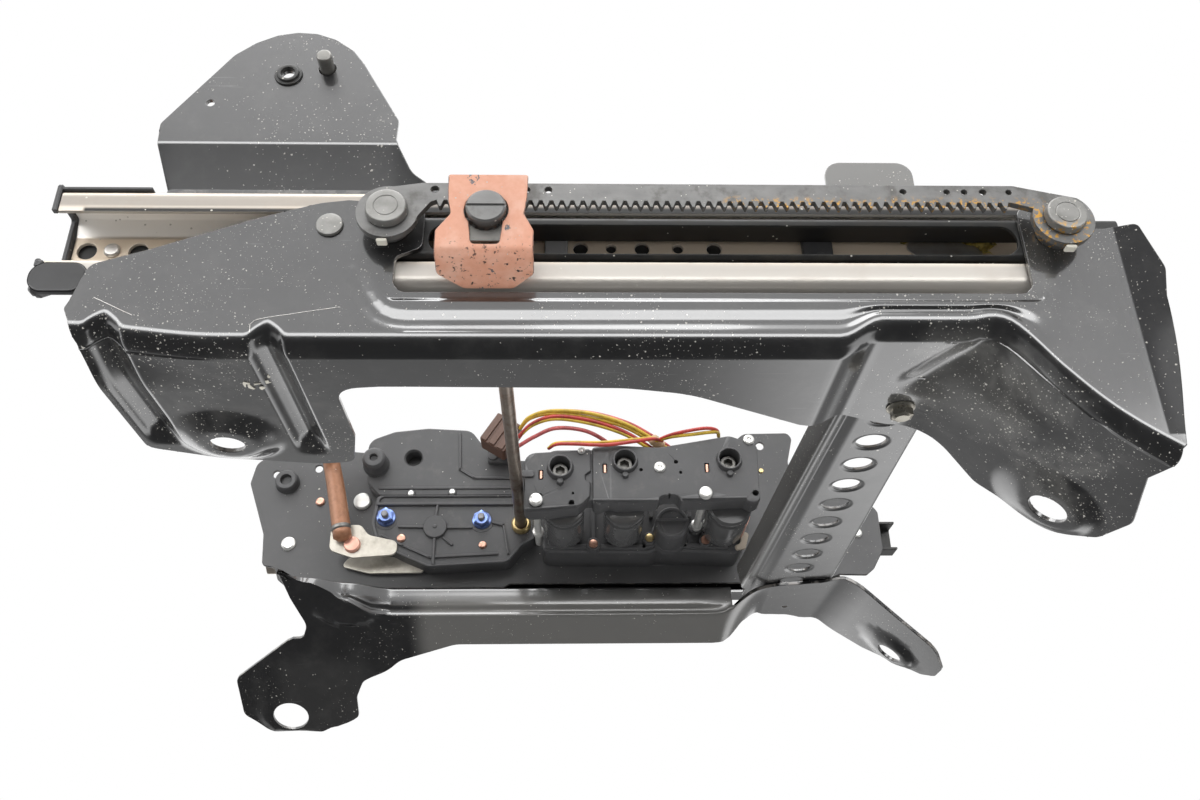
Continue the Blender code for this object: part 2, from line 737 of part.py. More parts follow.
def build_near_rails():
    shaft_hole = (PINION_X, PINION_Z, SHAFT_RADIUS + BORE_GAP)
    rivet_hole = (*WEB_RIVET, WEB_RIVET_RADIUS + BORE_GAP)
    build_rail("near_upper_rail", near_depth, WEB_HOLES + (shaft_hole, rivet_hole))
    turned("rail_web_rivet", [
        (WEB_FRONT - 1.8, 0.0), (WEB_FRONT - 1.8, 3.6), (WEB_FRONT - SEAT_GAP, 4.6),
        (WEB_FRONT - SEAT_GAP, WEB_RIVET_RADIUS), (WEB_BACK + SEAT_GAP, WEB_RIVET_RADIUS),
        (WEB_BACK + SEAT_GAP, 4.4), (WEB_BACK + 1.6, 3.6), (WEB_BACK + 1.6, 0.0),
    ], WEB_RIVET, "carriage", "bright_steel", count=10)
    build_guide("near_guide_rail", near_depth, True, (
        (LUG_RIGHT, RIVET_SHANK), (LUG_LEFT, RIVET_SHANK), (FRAME_RIVET, FRAME_RIVET_SHANK),
    ))
    build_end_cap()


def build_end_cap():
    # The end wall follows the rail's section, so the guide rail can pass through its mouth.
    outside = CAP_WALL + SEAT_GAP
    front = LIP_FRONT - CAP_PROUD
    back = WEB_BACK
    wall = [
        (front, RAIL_BOTTOM - outside, 1.5), (back, RAIL_BOTTOM - outside), (back, RAIL_TOP + outside),
        (front, RAIL_TOP + outside, 1.5), (front, TOP_LIP), (front + 3.0, TOP_LIP),
        (front + 3.0, RAIL_TOP - 4.0, 1.0), (GUIDE_REACH + CAP_WALL / 2.0, RAIL_TOP - 4.0, 1.0),
        (GUIDE_REACH + CAP_WALL / 2.0, RAIL_BOTTOM + 4.0, 1.0), (front + 3.0, RAIL_BOTTOM + 4.0, 1.0),
        (front + 3.0, LOW_LIP), (front, LOW_LIP),
    ]
    end = RAIL_LEFT - SEAT_GAP
    cap = prism("near_rail_end_cap", [fillet(wall, 1)], end - CAP_WALL, end, "carriage", "black_plastic", "X")
    strip = box("cap_strip", (end - CAP_WALL, front + 0.6, RAIL_TOP + SEAT_GAP), (CAP_STRIP_END, back - 8.0, RAIL_TOP + outside),
                "carriage", "black_plastic")
    low = box("cap_low", (end - CAP_WALL - 3.0, front, RAIL_BOTTOM - outside), (CAP_LOW_END, back, RAIL_BOTTOM - SEAT_GAP),
              "carriage", "black_plastic")
    foot = box("cap_foot", (end - CAP_WALL - 3.0, front, RAIL_BOTTOM - outside), (end, front + 3.0, LOW_LIP - 1.0),
               "carriage", "black_plastic")
    combine(cap, [strip, low, foot])


def box(name, low, high, body, finish, corner=0.0):
    loop = [
        (low[0], low[2], corner), (high[0], low[2], corner),
        (high[0], high[2], corner), (low[0], high[2], corner),
    ]
    return prism(name, [fillet(loop, 3)], low[1], high[1], body, finish)


# Rack and its fixings

def rack_profile():
    root = PITCH_LINE + 1.25 * MODULE
    tip = PITCH_LINE - MODULE
    half_pitch = TOOTH_PITCH / 4.0
    slope = math.tan(math.radians(20.0))
    root_half = half_pitch + 1.25 * MODULE * slope - TOOTH_THIN / 2.0
    tip_half = half_pitch - MODULE * slope - TOOTH_THIN / 2.0
    first = math.ceil((RACK_LEFT - PINION_X) / TOOTH_PITCH - 0.5)
    last = math.floor((RACK_RIGHT - PINION_X) / TOOTH_PITCH - 0.5)
    teeth = []
    for index in range(first, last + 1):
        middle = PINION_X + (index + 0.5) * TOOTH_PITCH
        teeth += [
            (middle - root_half, root), (middle - tip_half, tip),
            (middle + tip_half, tip), (middle + root_half, root),
        ]
    return teeth, root


def build_rack():
    teeth, root = rack_profile()
    outline = [(teeth[0][0] - 2.5, root - 1.0, 1.0)] + teeth
    outline += [(teeth[-1][0] + 1.5, root, 1.0)]
    outline += lug_arc(LUG_RIGHT, 158.0, 414.0)
    outline += [(208.0, 78.5, 3.0), (202.0, RACK_TOP, 3.0), (-60.0, RACK_TOP, 3.0), (-66.0, 80.0, 2.0)]
    outline += lug_arc(LUG_LEFT, 82.0, 350.0)
    loops = [fillet(outline, 3)]
    for centre in (LUG_LEFT, LUG_RIGHT):
        loops.append(ellipse(*centre, RIVET_SHANK + BORE_GAP, count=12))
    for x, radius in RACK_HOLES:
        loops.append(ellipse(x, RACK_HOLE_LEVEL, radius, count=6))
    prism("pinion_rack", loops, RACK_FRONT, RACK_BACK, "floor_frame", "dark_steel")
    spacer_front = RACK_BACK + SEAT_GAP
    head = RACK_FRONT - SEAT_GAP
    tail = GUIDE_FRONT + GUIDE_SHEET + SEAT_GAP
    for side, centre in (("left", LUG_LEFT), ("right", LUG_RIGHT)):
        back = -SEAT_GAP
        turned("rack_spacer_" + side, [
            (spacer_front, RIVET_SHANK + BORE_GAP), (spacer_front, SPACER_RADIUS),
            (back, SPACER_RADIUS), (back, RIVET_SHANK + BORE_GAP),
        ], centre, "floor_frame", "dark_steel", ring=True)
        turned("rack_rivet_" + side, [
            (head - RIVET_HEAD_HEIGHT, 0.0), (head - RIVET_HEAD_HEIGHT, RIVET_HEAD - 1.2),
            (head - RIVET_HEAD_HEIGHT + 1.0, RIVET_HEAD), (head, RIVET_HEAD), (head, RIVET_SHANK),
            (tail, RIVET_SHANK), (tail, RIVET_SHANK + 2.0), (tail + 2.0, RIVET_SHANK + 1.5), (tail + 2.0, 0.0),
        ], centre, "floor_frame", "dark_steel")
    turned("frame_rivet", [
        (-1.6, 0.0), (-1.6, FRAME_RIVET_HEAD - 0.8), (-0.9, FRAME_RIVET_HEAD), (-SEAT_GAP, FRAME_RIVET_HEAD),
        (-SEAT_GAP, FRAME_RIVET_SHANK), (tail, FRAME_RIVET_SHANK), (tail, FRAME_RIVET_SHANK + 1.5),
        (tail + 1.6, FRAME_RIVET_SHANK + 1.0), (tail + 1.6, 0.0),
    ], FRAME_RIVET, "floor_frame", "bright_steel", count=14)


def lug_arc(centre, start, end, steps=12):
    made = []
    for step in range(steps + 1):
        angle = math.radians(start + (end - start) * step / steps)
        made.append((centre[0] + LUG_RADIUS * math.cos(angle), centre[1] + LUG_RADIUS * math.sin(angle)))
    return made


# Pinion and cross shaft

def pinion_outline():
    tip = PINION_RADIUS + MODULE
    root = PINION_RADIUS - 1.25 * MODULE
    half_pitch = math.pi / (2.0 * PINION_TEETH) - TOOTH_THIN / (2.0 * PINION_RADIUS)
    slope = math.tan(math.radians(20.0))
    root_half = half_pitch + 1.25 * MODULE * slope / root * 0.55
    tip_half = half_pitch - MODULE * slope / tip * 1.35
    loop = []
    for index in range(PINION_TEETH):
        middle = math.pi / 2.0 + 2.0 * math.pi * index / PINION_TEETH
        for turn, radius in (
            (-root_half, root), (-half_pitch, PINION_RADIUS), (-tip_half, tip),
            (tip_half, tip), (half_pitch, PINION_RADIUS), (root_half, root),
        ):
            loop.append((
                PINION_X + radius * math.cos(middle + turn),
                PINION_Z + radius * math.sin(middle + turn),
            ))
    return loop


def build_shaft():
    centre = (PINION_X, PINION_Z)
    bore = ellipse(*centre, SHAFT_RADIUS + BORE_GAP, count=16)
    gear = prism("drive_pinion", [pinion_outline(), bore], PINION_FRONT, PINION_BACK, "sync_shaft", "dark_steel")
    head = turned("pinion_head", [
        (PINION_HEAD_FRONT, 0.0), (PINION_HEAD_FRONT, PINION_HEAD_RADIUS - 1.0),
        (PINION_HEAD_FRONT + 1.0, PINION_HEAD_RADIUS), (SHAFT_START, PINION_HEAD_RADIUS),
        (PINION_FRONT + 0.5, 6.0), (PINION_FRONT + 0.5, SHAFT_RADIUS + BORE_GAP),
        (SHAFT_START - SEAT_GAP, SHAFT_RADIUS + BORE_GAP), (SHAFT_START - SEAT_GAP, 0.0),
    ], centre, "sync_shaft", "dark_steel", count=16)
    combine(gear, [head])
    turned("sync_shaft", [
        (SHAFT_START, 0.0), (SHAFT_START, SHAFT_RADIUS - 0.5), (SHAFT_START + 0.5, SHAFT_RADIUS),
        (SHAFT_END, SHAFT_RADIUS), (SHAFT_END, 0.0),
    ], centre, "sync_shaft", "bright_steel", count=16)
    turned("shaft_bush", [
        (SHAFT_BUSH_FRONT, SHAFT_RADIUS + BORE_GAP), (SHAFT_BUSH_FRONT, SHAFT_BUSH_RADIUS - 1.0),
        (SHAFT_BUSH_FRONT + 1.5, SHAFT_BUSH_RADIUS), (HOUSING_FACE - SEAT_GAP, SHAFT_BUSH_RADIUS),
        (HOUSING_FACE - SEAT_GAP, SHAFT_RADIUS + BORE_GAP),
    ], centre, "carriage", "bright_steel", count=14, ring=True)


def build_pinion_bracket():
    section = Section([(BRACKET_FACE, BRACKET_TOP), (BRACKET_FACE, BRACKET_BEND, 3.5), (LIP_FRONT - SEAT_GAP, BRACKET_BEND - 4.5)])
    length = section.length

    def row(z):
        return BRACKET_TOP - z

    def place(x, distance):
        point = section.at(distance)
        return Vector((x, point.x, point.y))

    outline = [
        (-54.0, 0.0, 2.0), (-52.0, row(58.0)), (-58.3, row(49.0), 3.0), (-58.3, length - 9.0, 3.0), (-47.0, length, 3.0),
        (-25.0, length, 3.0), (-15.7, length - 9.0, 3.0), (-15.7, row(49.0), 3.0), (-20.0, row(58.0)), (-18.5, 0.0, 2.0),
    ]
    key = [
        (PINION_X + KEYHOLE_RADIUS * math.cos(math.radians(a)), row(PINION_Z + KEYHOLE_RADIUS * math.sin(math.radians(a))))
        for a in range(-40, 221, 20)
    ]
    key += [(PINION_X - KEYHOLE_SLOT, row(42.0), 2.0), (PINION_X + KEYHOLE_SLOT, row(42.0), 2.0)]
    lines = [mark for mark in section.bends()]
    sheet("pinion_bracket", [fillet(outline, 3), fillet(key, 3)], [], lines, place, BRACKET_SHEET, "carriage", "red_oxide")
    front = BRACKET_FACE + BRACKET_SHEET + SEAT_GAP
    plate = fillet([(-50.0, 45.0, 3.0), (-23.0, 45.0, 3.0), (-22.0, 78.0, 3.0), (-51.0, 78.0, 3.0)], 3)
    hole = ellipse(PINION_X, PINION_Z, PINION_HEAD_RADIUS + BORE_GAP, count=16)
    prism("keyed_plate", [plate, hole], front, front + KEY_PLATE_SHEET, "carriage", "bright_steel")


# Pieces on the near sliding rail

def build_hinge_bracket():
    base = RAIL_TOP + SEAT_GAP
    section = Section([
        (HINGE_FOOT_FRONT, base), (HINGE_FOOT_BACK, base, 3.0), (HINGE_FACE, HINGE_BEND, 4.0), (HINGE_FACE, HINGE_PEAK),
    ])
    top = section.length

    def row(z):
        return top - (HINGE_PEAK - z)

    def place(x, distance):
        point = section.at(distance)
        return Vector((x, point.x, point.y))

    foot_end = HINGE_FOOT_BACK - HINGE_FOOT_FRONT
    outline = [
        (-188.0, 0.0, 3.0), (-190.0, foot_end), (-197.7, row(119.0)), (-198.3, row(131.0), 6.0), (-168.0, row(177.0), 14.0),
        (-146.0, top, 26.0), (-122.0, top, 26.0), (-104.0, row(172.0), 12.0), (-83.6, row(134.0), 6.0),
        (-84.0, row(122.0)), (-76.0, row(106.0), 6.0), (-55.0, foot_end + 3.0), (-50.0, 0.0, 3.0),
    ]
    loops = [fillet(outline, 4)]
    for x, z, radius in (HINGE_HOLE, HINGE_SMALL_HOLE):
        loops.append(ellipse(x, row(z), radius, count=12))
    loops.append(ellipse(HINGE_PIN[0], row(HINGE_PIN[1]), HINGE_PIN[2] + BORE_GAP, count=12))
    # The sheet grows up from the foot and back from the face.
    sheet("hinge_bracket", loops, [], section.bends(), place, HINGE_SHEET, "carriage", "black_paint")
    face = HINGE_FACE
    back = HINGE_FACE - HINGE_SHEET
    front = back - SEAT_GAP
    turned("bracket_collar", [
        (front, HINGE_HOLE[2]), (front, HINGE_COLLAR), (front - 0.8, HINGE_COLLAR - 0.6),
        (front - 2.0, HINGE_HOLE[2] + 1.4), (front - 2.0, HINGE_HOLE[2]),
    ], HINGE_HOLE[:2], "carriage", "dark_steel", ring=True, count=14)
    turned("bracket_pin", [
        (front - PIN_REACH, 0.0), (front - PIN_REACH, HINGE_PIN[2] - 0.7), (front - PIN_REACH + 0.7, HINGE_PIN[2]),
        (face + SEAT_GAP, HINGE_PIN[2]), (face + SEAT_GAP, HINGE_PIN[2] + 2.0), (face + 2.0, HINGE_PIN[2] + 1.4),
        (face + 2.0, 0.0),
    ], HINGE_PIN[:2], "carriage", "bright_steel", count=14)


def build_top_tab():
    base = RAIL_TOP + SEAT_GAP
    section = Section([(TAB_FACE + 12.0, base), (TAB_FACE, base, 2.5), (TAB_FACE, TAB_TOP)])
    top = section.length

    def place(x, distance):
        point = section.at(distance)
        return Vector((x, point.x, point.y))

    outline = [(TAB_LEFT, 0.0, 2.0), (TAB_RIGHT, 0.0, 2.0), (TAB_RIGHT, top, 7.0), (TAB_LEFT, top, 7.0)]
    sheet("rail_top_tab", [fillet(outline, 4)], [], section.bends(), place, -HINGE_SHEET, "carriage", "black_paint")


def build_rail_inserts():
    back = WEB_FRONT - SEAT_GAP
    front = GUIDE_REACH + SEAT_GAP
    box("slide_block", (-12.0, front, 56.0), (-1.0, back, 76.0), "carriage", "black_plastic", 1.5)
    stop = box("stop_block", (110.6, front, 58.0), (125.1, back, 76.0), "carriage", "black_plastic", 1.5)
    pin = turned("stop_pin", [(front - 3.0, 0.0), (front - 3.0, 2.0), (front + 1.0, 2.0), (front + 1.0, 0.0)],
                 (118.0, 62.0), "carriage", "black_plastic", count=10)
    combine(stop, [pin])
    tongue = fillet([(165.0, 70.0, 2.0), (172.0, 63.0, 3.0), (190.0, 62.0, 6.0), (200.0, 70.0, 4.0), (190.0, 78.0, 6.0), (170.0, 78.0, 3.0)], 3)
    prism("slide_tongue", [tongue], back - 0.9, back, "carriage", "bright_steel")


# Cross channel

def channel_half(y):
    share = (y - CHANNEL_START) / (CHANNEL_END - CHANNEL_START)
    return CHANNEL_HALF_NEAR + (CHANNEL_HALF_FAR - CHANNEL_HALF_NEAR) * share


CHANNEL_NEAR_LEVEL = SEAT_LEVEL + FRAME_SHEET + SEAT_GAP
CHANNEL_FAR_LEVEL = FAR_PAD + FAR_SHEET + SEAT_GAP


def channel_point(across, y):
    # across is -1..1 over the web and goes on by length over the side walls.
    half = channel_half(y)
    share = ramp(y, 115.0, 340.0)
    level = CHANNEL_NEAR_LEVEL + (CHANNEL_FAR_LEVEL - CHANNEL_NEAR_LEVEL) * share
    side = -1.0 if across < 0.0 else 1.0
    over = max(abs(across) - CHANNEL_HALF_FAR, 0.0)
    inner = min(abs(across), CHANNEL_HALF_FAR) / CHANNEL_HALF_FAR * half
    lean = math.radians(CHANNEL_LEAN)
    ridge = 1.2 * (1.0 - ramp(abs(across + CHANNEL_HALF_FAR - 8.0), 0.0, 3.5))
    return Vector((CHANNEL_MIDDLE + side * (inner + over * math.sin(lean)), y, level + ridge + over * math.cos(lean)))


def channel_place(across, y):
    spread = 1.6
    total = Vector((0.0, 0.0, 0.0))
    for step in (-1.0, -0.5, 0.0, 0.5, 1.0):
        total += channel_point(across + spread * step, y)
    return total / 5.0


def build_channel():
    edge = CHANNEL_HALF_FAR + CHANNEL_SIDE
    outline = [
        (-CHANNEL_HALF_FAR + 4.0, CHANNEL_START), (CHANNEL_HALF_FAR - 4.0, CHANNEL_START),
        (edge, CHANNEL_START + 14.0), (edge, CHANNEL_END - 30.0), (CHANNEL_HALF_FAR - 3.0, CHANNEL_END - 18.0),
        (CHANNEL_HALF_FAR - 3.0, CHANNEL_END, 4.0), (-CHANNEL_HALF_FAR + 3.0, CHANNEL_END, 4.0),
        (-CHANNEL_HALF_FAR + 3.0, CHANNEL_END - 18.0), (-edge, CHANNEL_END - 30.0), (-edge, CHANNEL_START + 14.0),
    ]
    loops = [fillet(outline)]
    for index in range(CHANNEL_HOLE_COUNT):
        y = CHANNEL_HOLE_FIRST + index * CHANNEL_HOLE_PITCH
        scale = CHANNEL_HALF_FAR / channel_half(y)
        loops.append(ellipse(
            (CHANNEL_HOLE_X - CHANNEL_MIDDLE) * scale, y, CHANNEL_HOLE_RADIUS * scale, CHANNEL_HOLE_RADIUS, count=12,
        ))
    scale = CHANNEL_HALF_FAR / channel_half(CHANNEL_BOLT[1])
    reach = BOLT_RADIUS + BORE_GAP
    loops.append(ellipse((CHANNEL_BOLT[0] - CHANNEL_MIDDLE) * scale, CHANNEL_BOLT[1], reach * scale, reach, count=10))
    corner = CHANNEL_HALF_FAR
    ridge = corner - 8.0
    lines = [-corner - 2.0, -corner, -corner + 2.0, -ridge - 2.0, -ridge, -ridge + 2.0]
    lines += [corner - 2.0, corner, corner + 2.0]
    rows = [115.0, 228.0, 340.0]
    sheet("cross_channel", loops, lines, rows, channel_place, CHANNEL_SHEET, "floor_frame", "black_paint")
    under = SEAT_LEVEL - SEAT_GAP
    over = CHANNEL_NEAR_LEVEL + CHANNEL_SHEET + SEAT_GAP
    turned("channel_flange_bolt", [
        (under - 6.2, 0.0), (under - 6.2, BOLT_HEX - 0.8), (under - 5.6, BOLT_HEX, "hex"), (under - 1.6, BOLT_HEX, "hex"),
        (under - 1.2, BOLT_FLANGE), (under, BOLT_FLANGE), (under, BOLT_RADIUS), (over, BOLT_RADIUS),
        (over, BOLT_HEX, "hex"), (over + 5.0, BOLT_HEX, "hex"), (over + 5.0, BOLT_RADIUS), (over + 8.0, BOLT_RADIUS),
        (over + 8.0, 0.0),
    ], CHANNEL_BOLT, "floor_frame", "bright_steel", axis="Z", count=12)


# Far floor frame

def far_front(x):
    return level_between(x, (
        (-206.0, 331.0), (-187.0, 340.0), (-160.0, 351.0), (-128.0, WEB_FOOT), (112.0, WEB_FOOT),
        (140.0, 357.0), (159.0, 351.5), (180.0, 347.0), (196.0, 336.0),
    ))


def far_level(x, y):
    slope = math.tan(math.radians(FAR_SLOPE))
    flange = FAR_FOOT_LEFT[2] - slope * (y - FAR_FOOT_LEFT[1])
    right = FAR_FOOT_RIGHT[2] - math.tan(math.radians(FAR_RIGHT_SLOPE)) * (x - FAR_FOOT_RIGHT[0])
    pad = lower_of(FAR_PAD, right, 10.0)
    share = ramp(x, *FAR_PAD_BLEND)
    level = flange + (pad - flange) * share
    level = lower_of(level, SHELF_LEVEL + 1.5, 2.0) if x < 0.0 else level
    centre_x, centre_y, half_x, half_y, depth = FAR_DISH
    level += ring_dish(math.hypot((x - centre_x) / half_x, (y - centre_y) / half_y), 0.5, 1.0, depth)
    cos_left = math.cos(math.radians(FAR_SLOPE))
    cos_right = math.cos(math.radians(FAR_RIGHT_SLOPE))
    left = math.hypot(x - FAR_FOOT_LEFT[0], (y - FAR_FOOT_LEFT[1]) / cos_left)
    level += ring_dish(left, FAR_LEFT_FLAT, FAR_LEFT_DISH, FAR_FOOT_DEPTH)
    other = math.hypot((x - FAR_FOOT_RIGHT[0]) / cos_right, y - FAR_FOOT_RIGHT[1])
    level += ring_dish(other, FAR_FOOT_FLAT, FAR_FOOT_DISH, FAR_FOOT_DEPTH)
    return level


def far_raw(x, row):
    front = far_front(x)
    if row > WEB_HEIGHT:
        y = front + (row - WEB_HEIGHT)
        return Vector((x, y, far_level(x, y)))
    top_y = front + (SHELF_FRONT - WEB_FOOT)
    if row > 0.0:
        share = row / WEB_HEIGHT
        low = far_level(x, front)
        return Vector((x, top_y + (front - top_y) * share, SHELF_LEVEL + (low - SHELF_LEVEL) * share))
    share = -row / (SHELF_BACK - SHELF_FRONT)
    return Vector((x, top_y + (SHELF_BACK - top_y) * share, SHELF_LEVEL))


def far_place(x, row):
    # Averaging along the section rounds the two bends.
    spread = 3.0 * (1.0 - ramp(x, SHELF_END - 8.0, SHELF_END + 14.0))
    spread *= 1.0 - ramp(row, WEB_HEIGHT + 4.0, WEB_HEIGHT + 8.0)
    if spread < 0.05:
        return far_raw(x, row)
    total = Vector((0.0, 0.0, 0.0))
    for step in (-1.0, -0.5, 0.0, 0.5, 1.0):
        total += far_raw(x, row + spread * step)
    return total / 5.0


def far_row(x, y):
    return WEB_HEIGHT + y - far_front(x)


def build_far_frame():
    back = -(SHELF_BACK - SHELF_FRONT)
    outline = [(-200.0, back, 3.0), (SHELF_END, back, 3.0), (SHELF_END, WEB_HEIGHT - 2.0, 3.0), (126.0, WEB_HEIGHT)]
    outline += [(140.0, WEB_HEIGHT), (160.0, WEB_HEIGHT), (180.0, WEB_HEIGHT), (196.0, WEB_HEIGHT)]
    lower = [
        (228.0, 344.0, 12.0), (257.0, 350.0, 10.0), (267.0, 372.0, 10.0), (267.5, 392.0, 10.0), (262.0, 405.0, 6.0),
        (228.0, 434.6, 10.0), (206.0, 444.0, 8.0), (168.0, 426.0, 10.0), (150.0, 426.0, 8.0), (128.0, 392.0, 8.0),
        (108.0, 388.0), (-84.0, 388.0), (-127.0, 401.0), (-154.6, 417.7, 8.0), (-160.4, 430.0), (-160.6, 446.0, 5.0),
        (-178.0, 455.0, 6.0), (-191.0, 459.5), (-229.0, 457.0, 6.0), (-247.0, 444.0, 5.0), (-247.9, 414.0, 5.0),
        (-194.0, 382.0, 8.0), (-190.0, 372.0, 6.0), (-199.0, 352.0),
    ]
    outline += [(p[0], far_row(p[0], p[1])) + tuple(p[2:]) for p in lower]
    outline += [(-205.5, WEB_HEIGHT, 3.0), (-200.0, 0.0)]
    cos_left = math.cos(math.radians(FAR_SLOPE))
    cos_right = math.cos(math.radians(FAR_RIGHT_SLOPE))
    loops = [
        fillet(outline, 3),
        [(a, far_row(a, b)) for a, b in ellipse(*FAR_FOOT_LEFT[:2], FAR_FOOT_LEFT_HOLE, FAR_FOOT_LEFT_HOLE * cos_left)],
        [(a, far_row(a, b)) for a, b in ellipse(*FAR_FOOT_RIGHT[:2], FAR_FOOT_RIGHT_HOLE * cos_right, FAR_FOOT_RIGHT_HOLE)],
    ]
    rings = []
    for reach in (FAR_LEFT_FLAT, FAR_LEFT_DISH):
        rings.append([(a, far_row(a, b)) for a, b in ellipse(*FAR_FOOT_LEFT[:2], reach, reach * cos_left)])
    for reach in (FAR_FOOT_FLAT, FAR_FOOT_DISH):
        rings.append([(a, far_row(a, b)) for a, b in ellipse(*FAR_FOOT_RIGHT[:2], reach * cos_right, reach)])
    for share in (0.5, 1.0):
        rings.append([(a, far_row(a, b)) for a, b in ellipse(*FAR_DISH[:2], FAR_DISH[2] * share, FAR_DISH[3] * share)])
    lines = [-198.0, -185.0, -160.0, -134.0]
    lines += [105.0, 112.0, 119.0, 127.0, 134.0, 141.0, 150.0, 188.0, 197.0]
    lines += [205.0, 218.0]
    half = WEB_HEIGHT
    rows = [-3.0, 0.0, 3.0, half - 3.0, half, half + 3.0]
    rows += [half + extra for extra in (24.0, 40.0, 58.0)]
    sheet("far_floor_frame", loops, lines, rows, far_place, FAR_SHEET, "floor_frame", "black_paint", rings)


# Far rails and their stand

def build_far_rails():
    build_rail("far_upper_rail", far_depth, ())
    stand_holes = ((-100.0, 62.0), (60.0, 62.0), (200.0, 62.0))
    build_guide("far_guide_rail", far_depth, False, [(hole, 3.0) for hole in (stand_holes[0], stand_holes[2])])
    base = SHELF_LEVEL + FAR_SHEET + SEAT_GAP
    back = STAND_FACE + FAR_SHEET
    section = Section([(back - STAND_FOOT, base), (back, base, 3.0), (back, GUIDE_HIGH)])

    def place(x, distance):
        point = section.at(distance)
        return Vector((x, point.x, point.y))

    top = section.length
    outline = [(-190.0, 0.0, 3.0), (212.0, 0.0, 3.0), (212.0, top, 6.0), (-190.0, top, 6.0)]
    loops = [fillet(outline, 3)]
    for x, z in (stand_holes[0], stand_holes[2]):
        loops.append(ellipse(x, top - (GUIDE_HIGH - z), 3.0 + BORE_GAP, count=12))
    sheet("far_rail_stand", loops, [], section.bends(), place, FAR_SHEET, "floor_frame", "black_paint")
    guide_back = far_depth(GUIDE_FRONT + GUIDE_SHEET)
    outside = back + SEAT_GAP
    for side, (x, z) in (("left", stand_holes[0]), ("right", stand_holes[2])):
        turned("stand_rivet_" + side, [
            (guide_back - SEAT_GAP - 1.8, 0.0), (guide_back - SEAT_GAP - 1.8, 3.8), (guide_back - SEAT_GAP, 4.8),
            (guide_back - SEAT_GAP, 3.0), (outside, 3.0), (outside, 5.5), (outside + 1.2, 4.8), (outside + 1.2, 0.0),
        ], (x, z), "floor_frame", "bright_steel", count=12)
    pad_top = FAR_PAD + FAR_SHEET + SEAT_GAP
    box("stand_spacer", (158.0, 393.0, pad_top), (186.0, 409.0, base - SEAT_GAP), "floor_frame", "dark_steel", 1.0)


# Far carriage

def build_carrier():
    outline = [
        (-210.0, 17.5), (-219.0, 25.0), (-222.0, 34.0, 3.0), (-232.0, 36.0, 3.0), (-234.0, 61.0), (-249.5, 103.0, 4.0),
        (-246.0, 122.0, 6.0), (-205.0, 133.0, 8.0), (-150.0, 128.0), (-60.0, 122.0), (60.0, 122.0), (118.0, 126.0),
        (140.0, 145.5, 6.0), (176.0, 146.2, 6.0), (179.0, 141.0), (173.0, 117.0, 6.0), (190.0, 104.0), (230.0, 92.0, 8.0),
        (240.7, 77.7), (240.6, 46.0, 4.0), (232.0, 31.5, 4.0), (225.6, 26.3), (204.6, 26.8), (188.0, 20.5),
        (-45.0, 20.5), (-50.0, 17.5),
    ]
    loops = [
        fillet(outline, 3), ellipse(-229.7, 110.4, 3.0, count=12), ellipse(-197.5, 115.2, 3.0, count=12),
        ellipse(152.6, 134.5, 3.2, count=12),
    ]
    prism("far_carrier_plate", loops, CARRIER_FACE, CARRIER_FACE + CARRIER_SHEET, "carriage", "black_paint")
    seat = CARRIER_FACE - SEAT_GAP
    turned("carrier_bush", [(seat, 0.0), (seat, 9.0), (seat - 6.0, 9.0), (seat - 7.0, 8.0), (seat - 7.0, 4.0), (seat - 4.0, 4.0), (seat - 4.0, 0.0)],
           (-220.3, 103.1), "carriage", "black_plastic")
    turned("carrier_rivet", [(seat, 0.0), (seat, 5.6), (seat - 1.2, 5.2), (seat - 1.8, 3.0), (seat - 1.8, 0.0)],
           (-213.8, 52.8), "carriage", "bright_steel", count=12)
    turned("carrier_washer", [(seat, 0.0), (seat, 6.0), (seat - 2.0, 6.0), (seat - 2.6, 5.2), (seat - 2.6, 0.0)],
           (-160.7, 87.0), "carriage", "bright_steel", count=12)


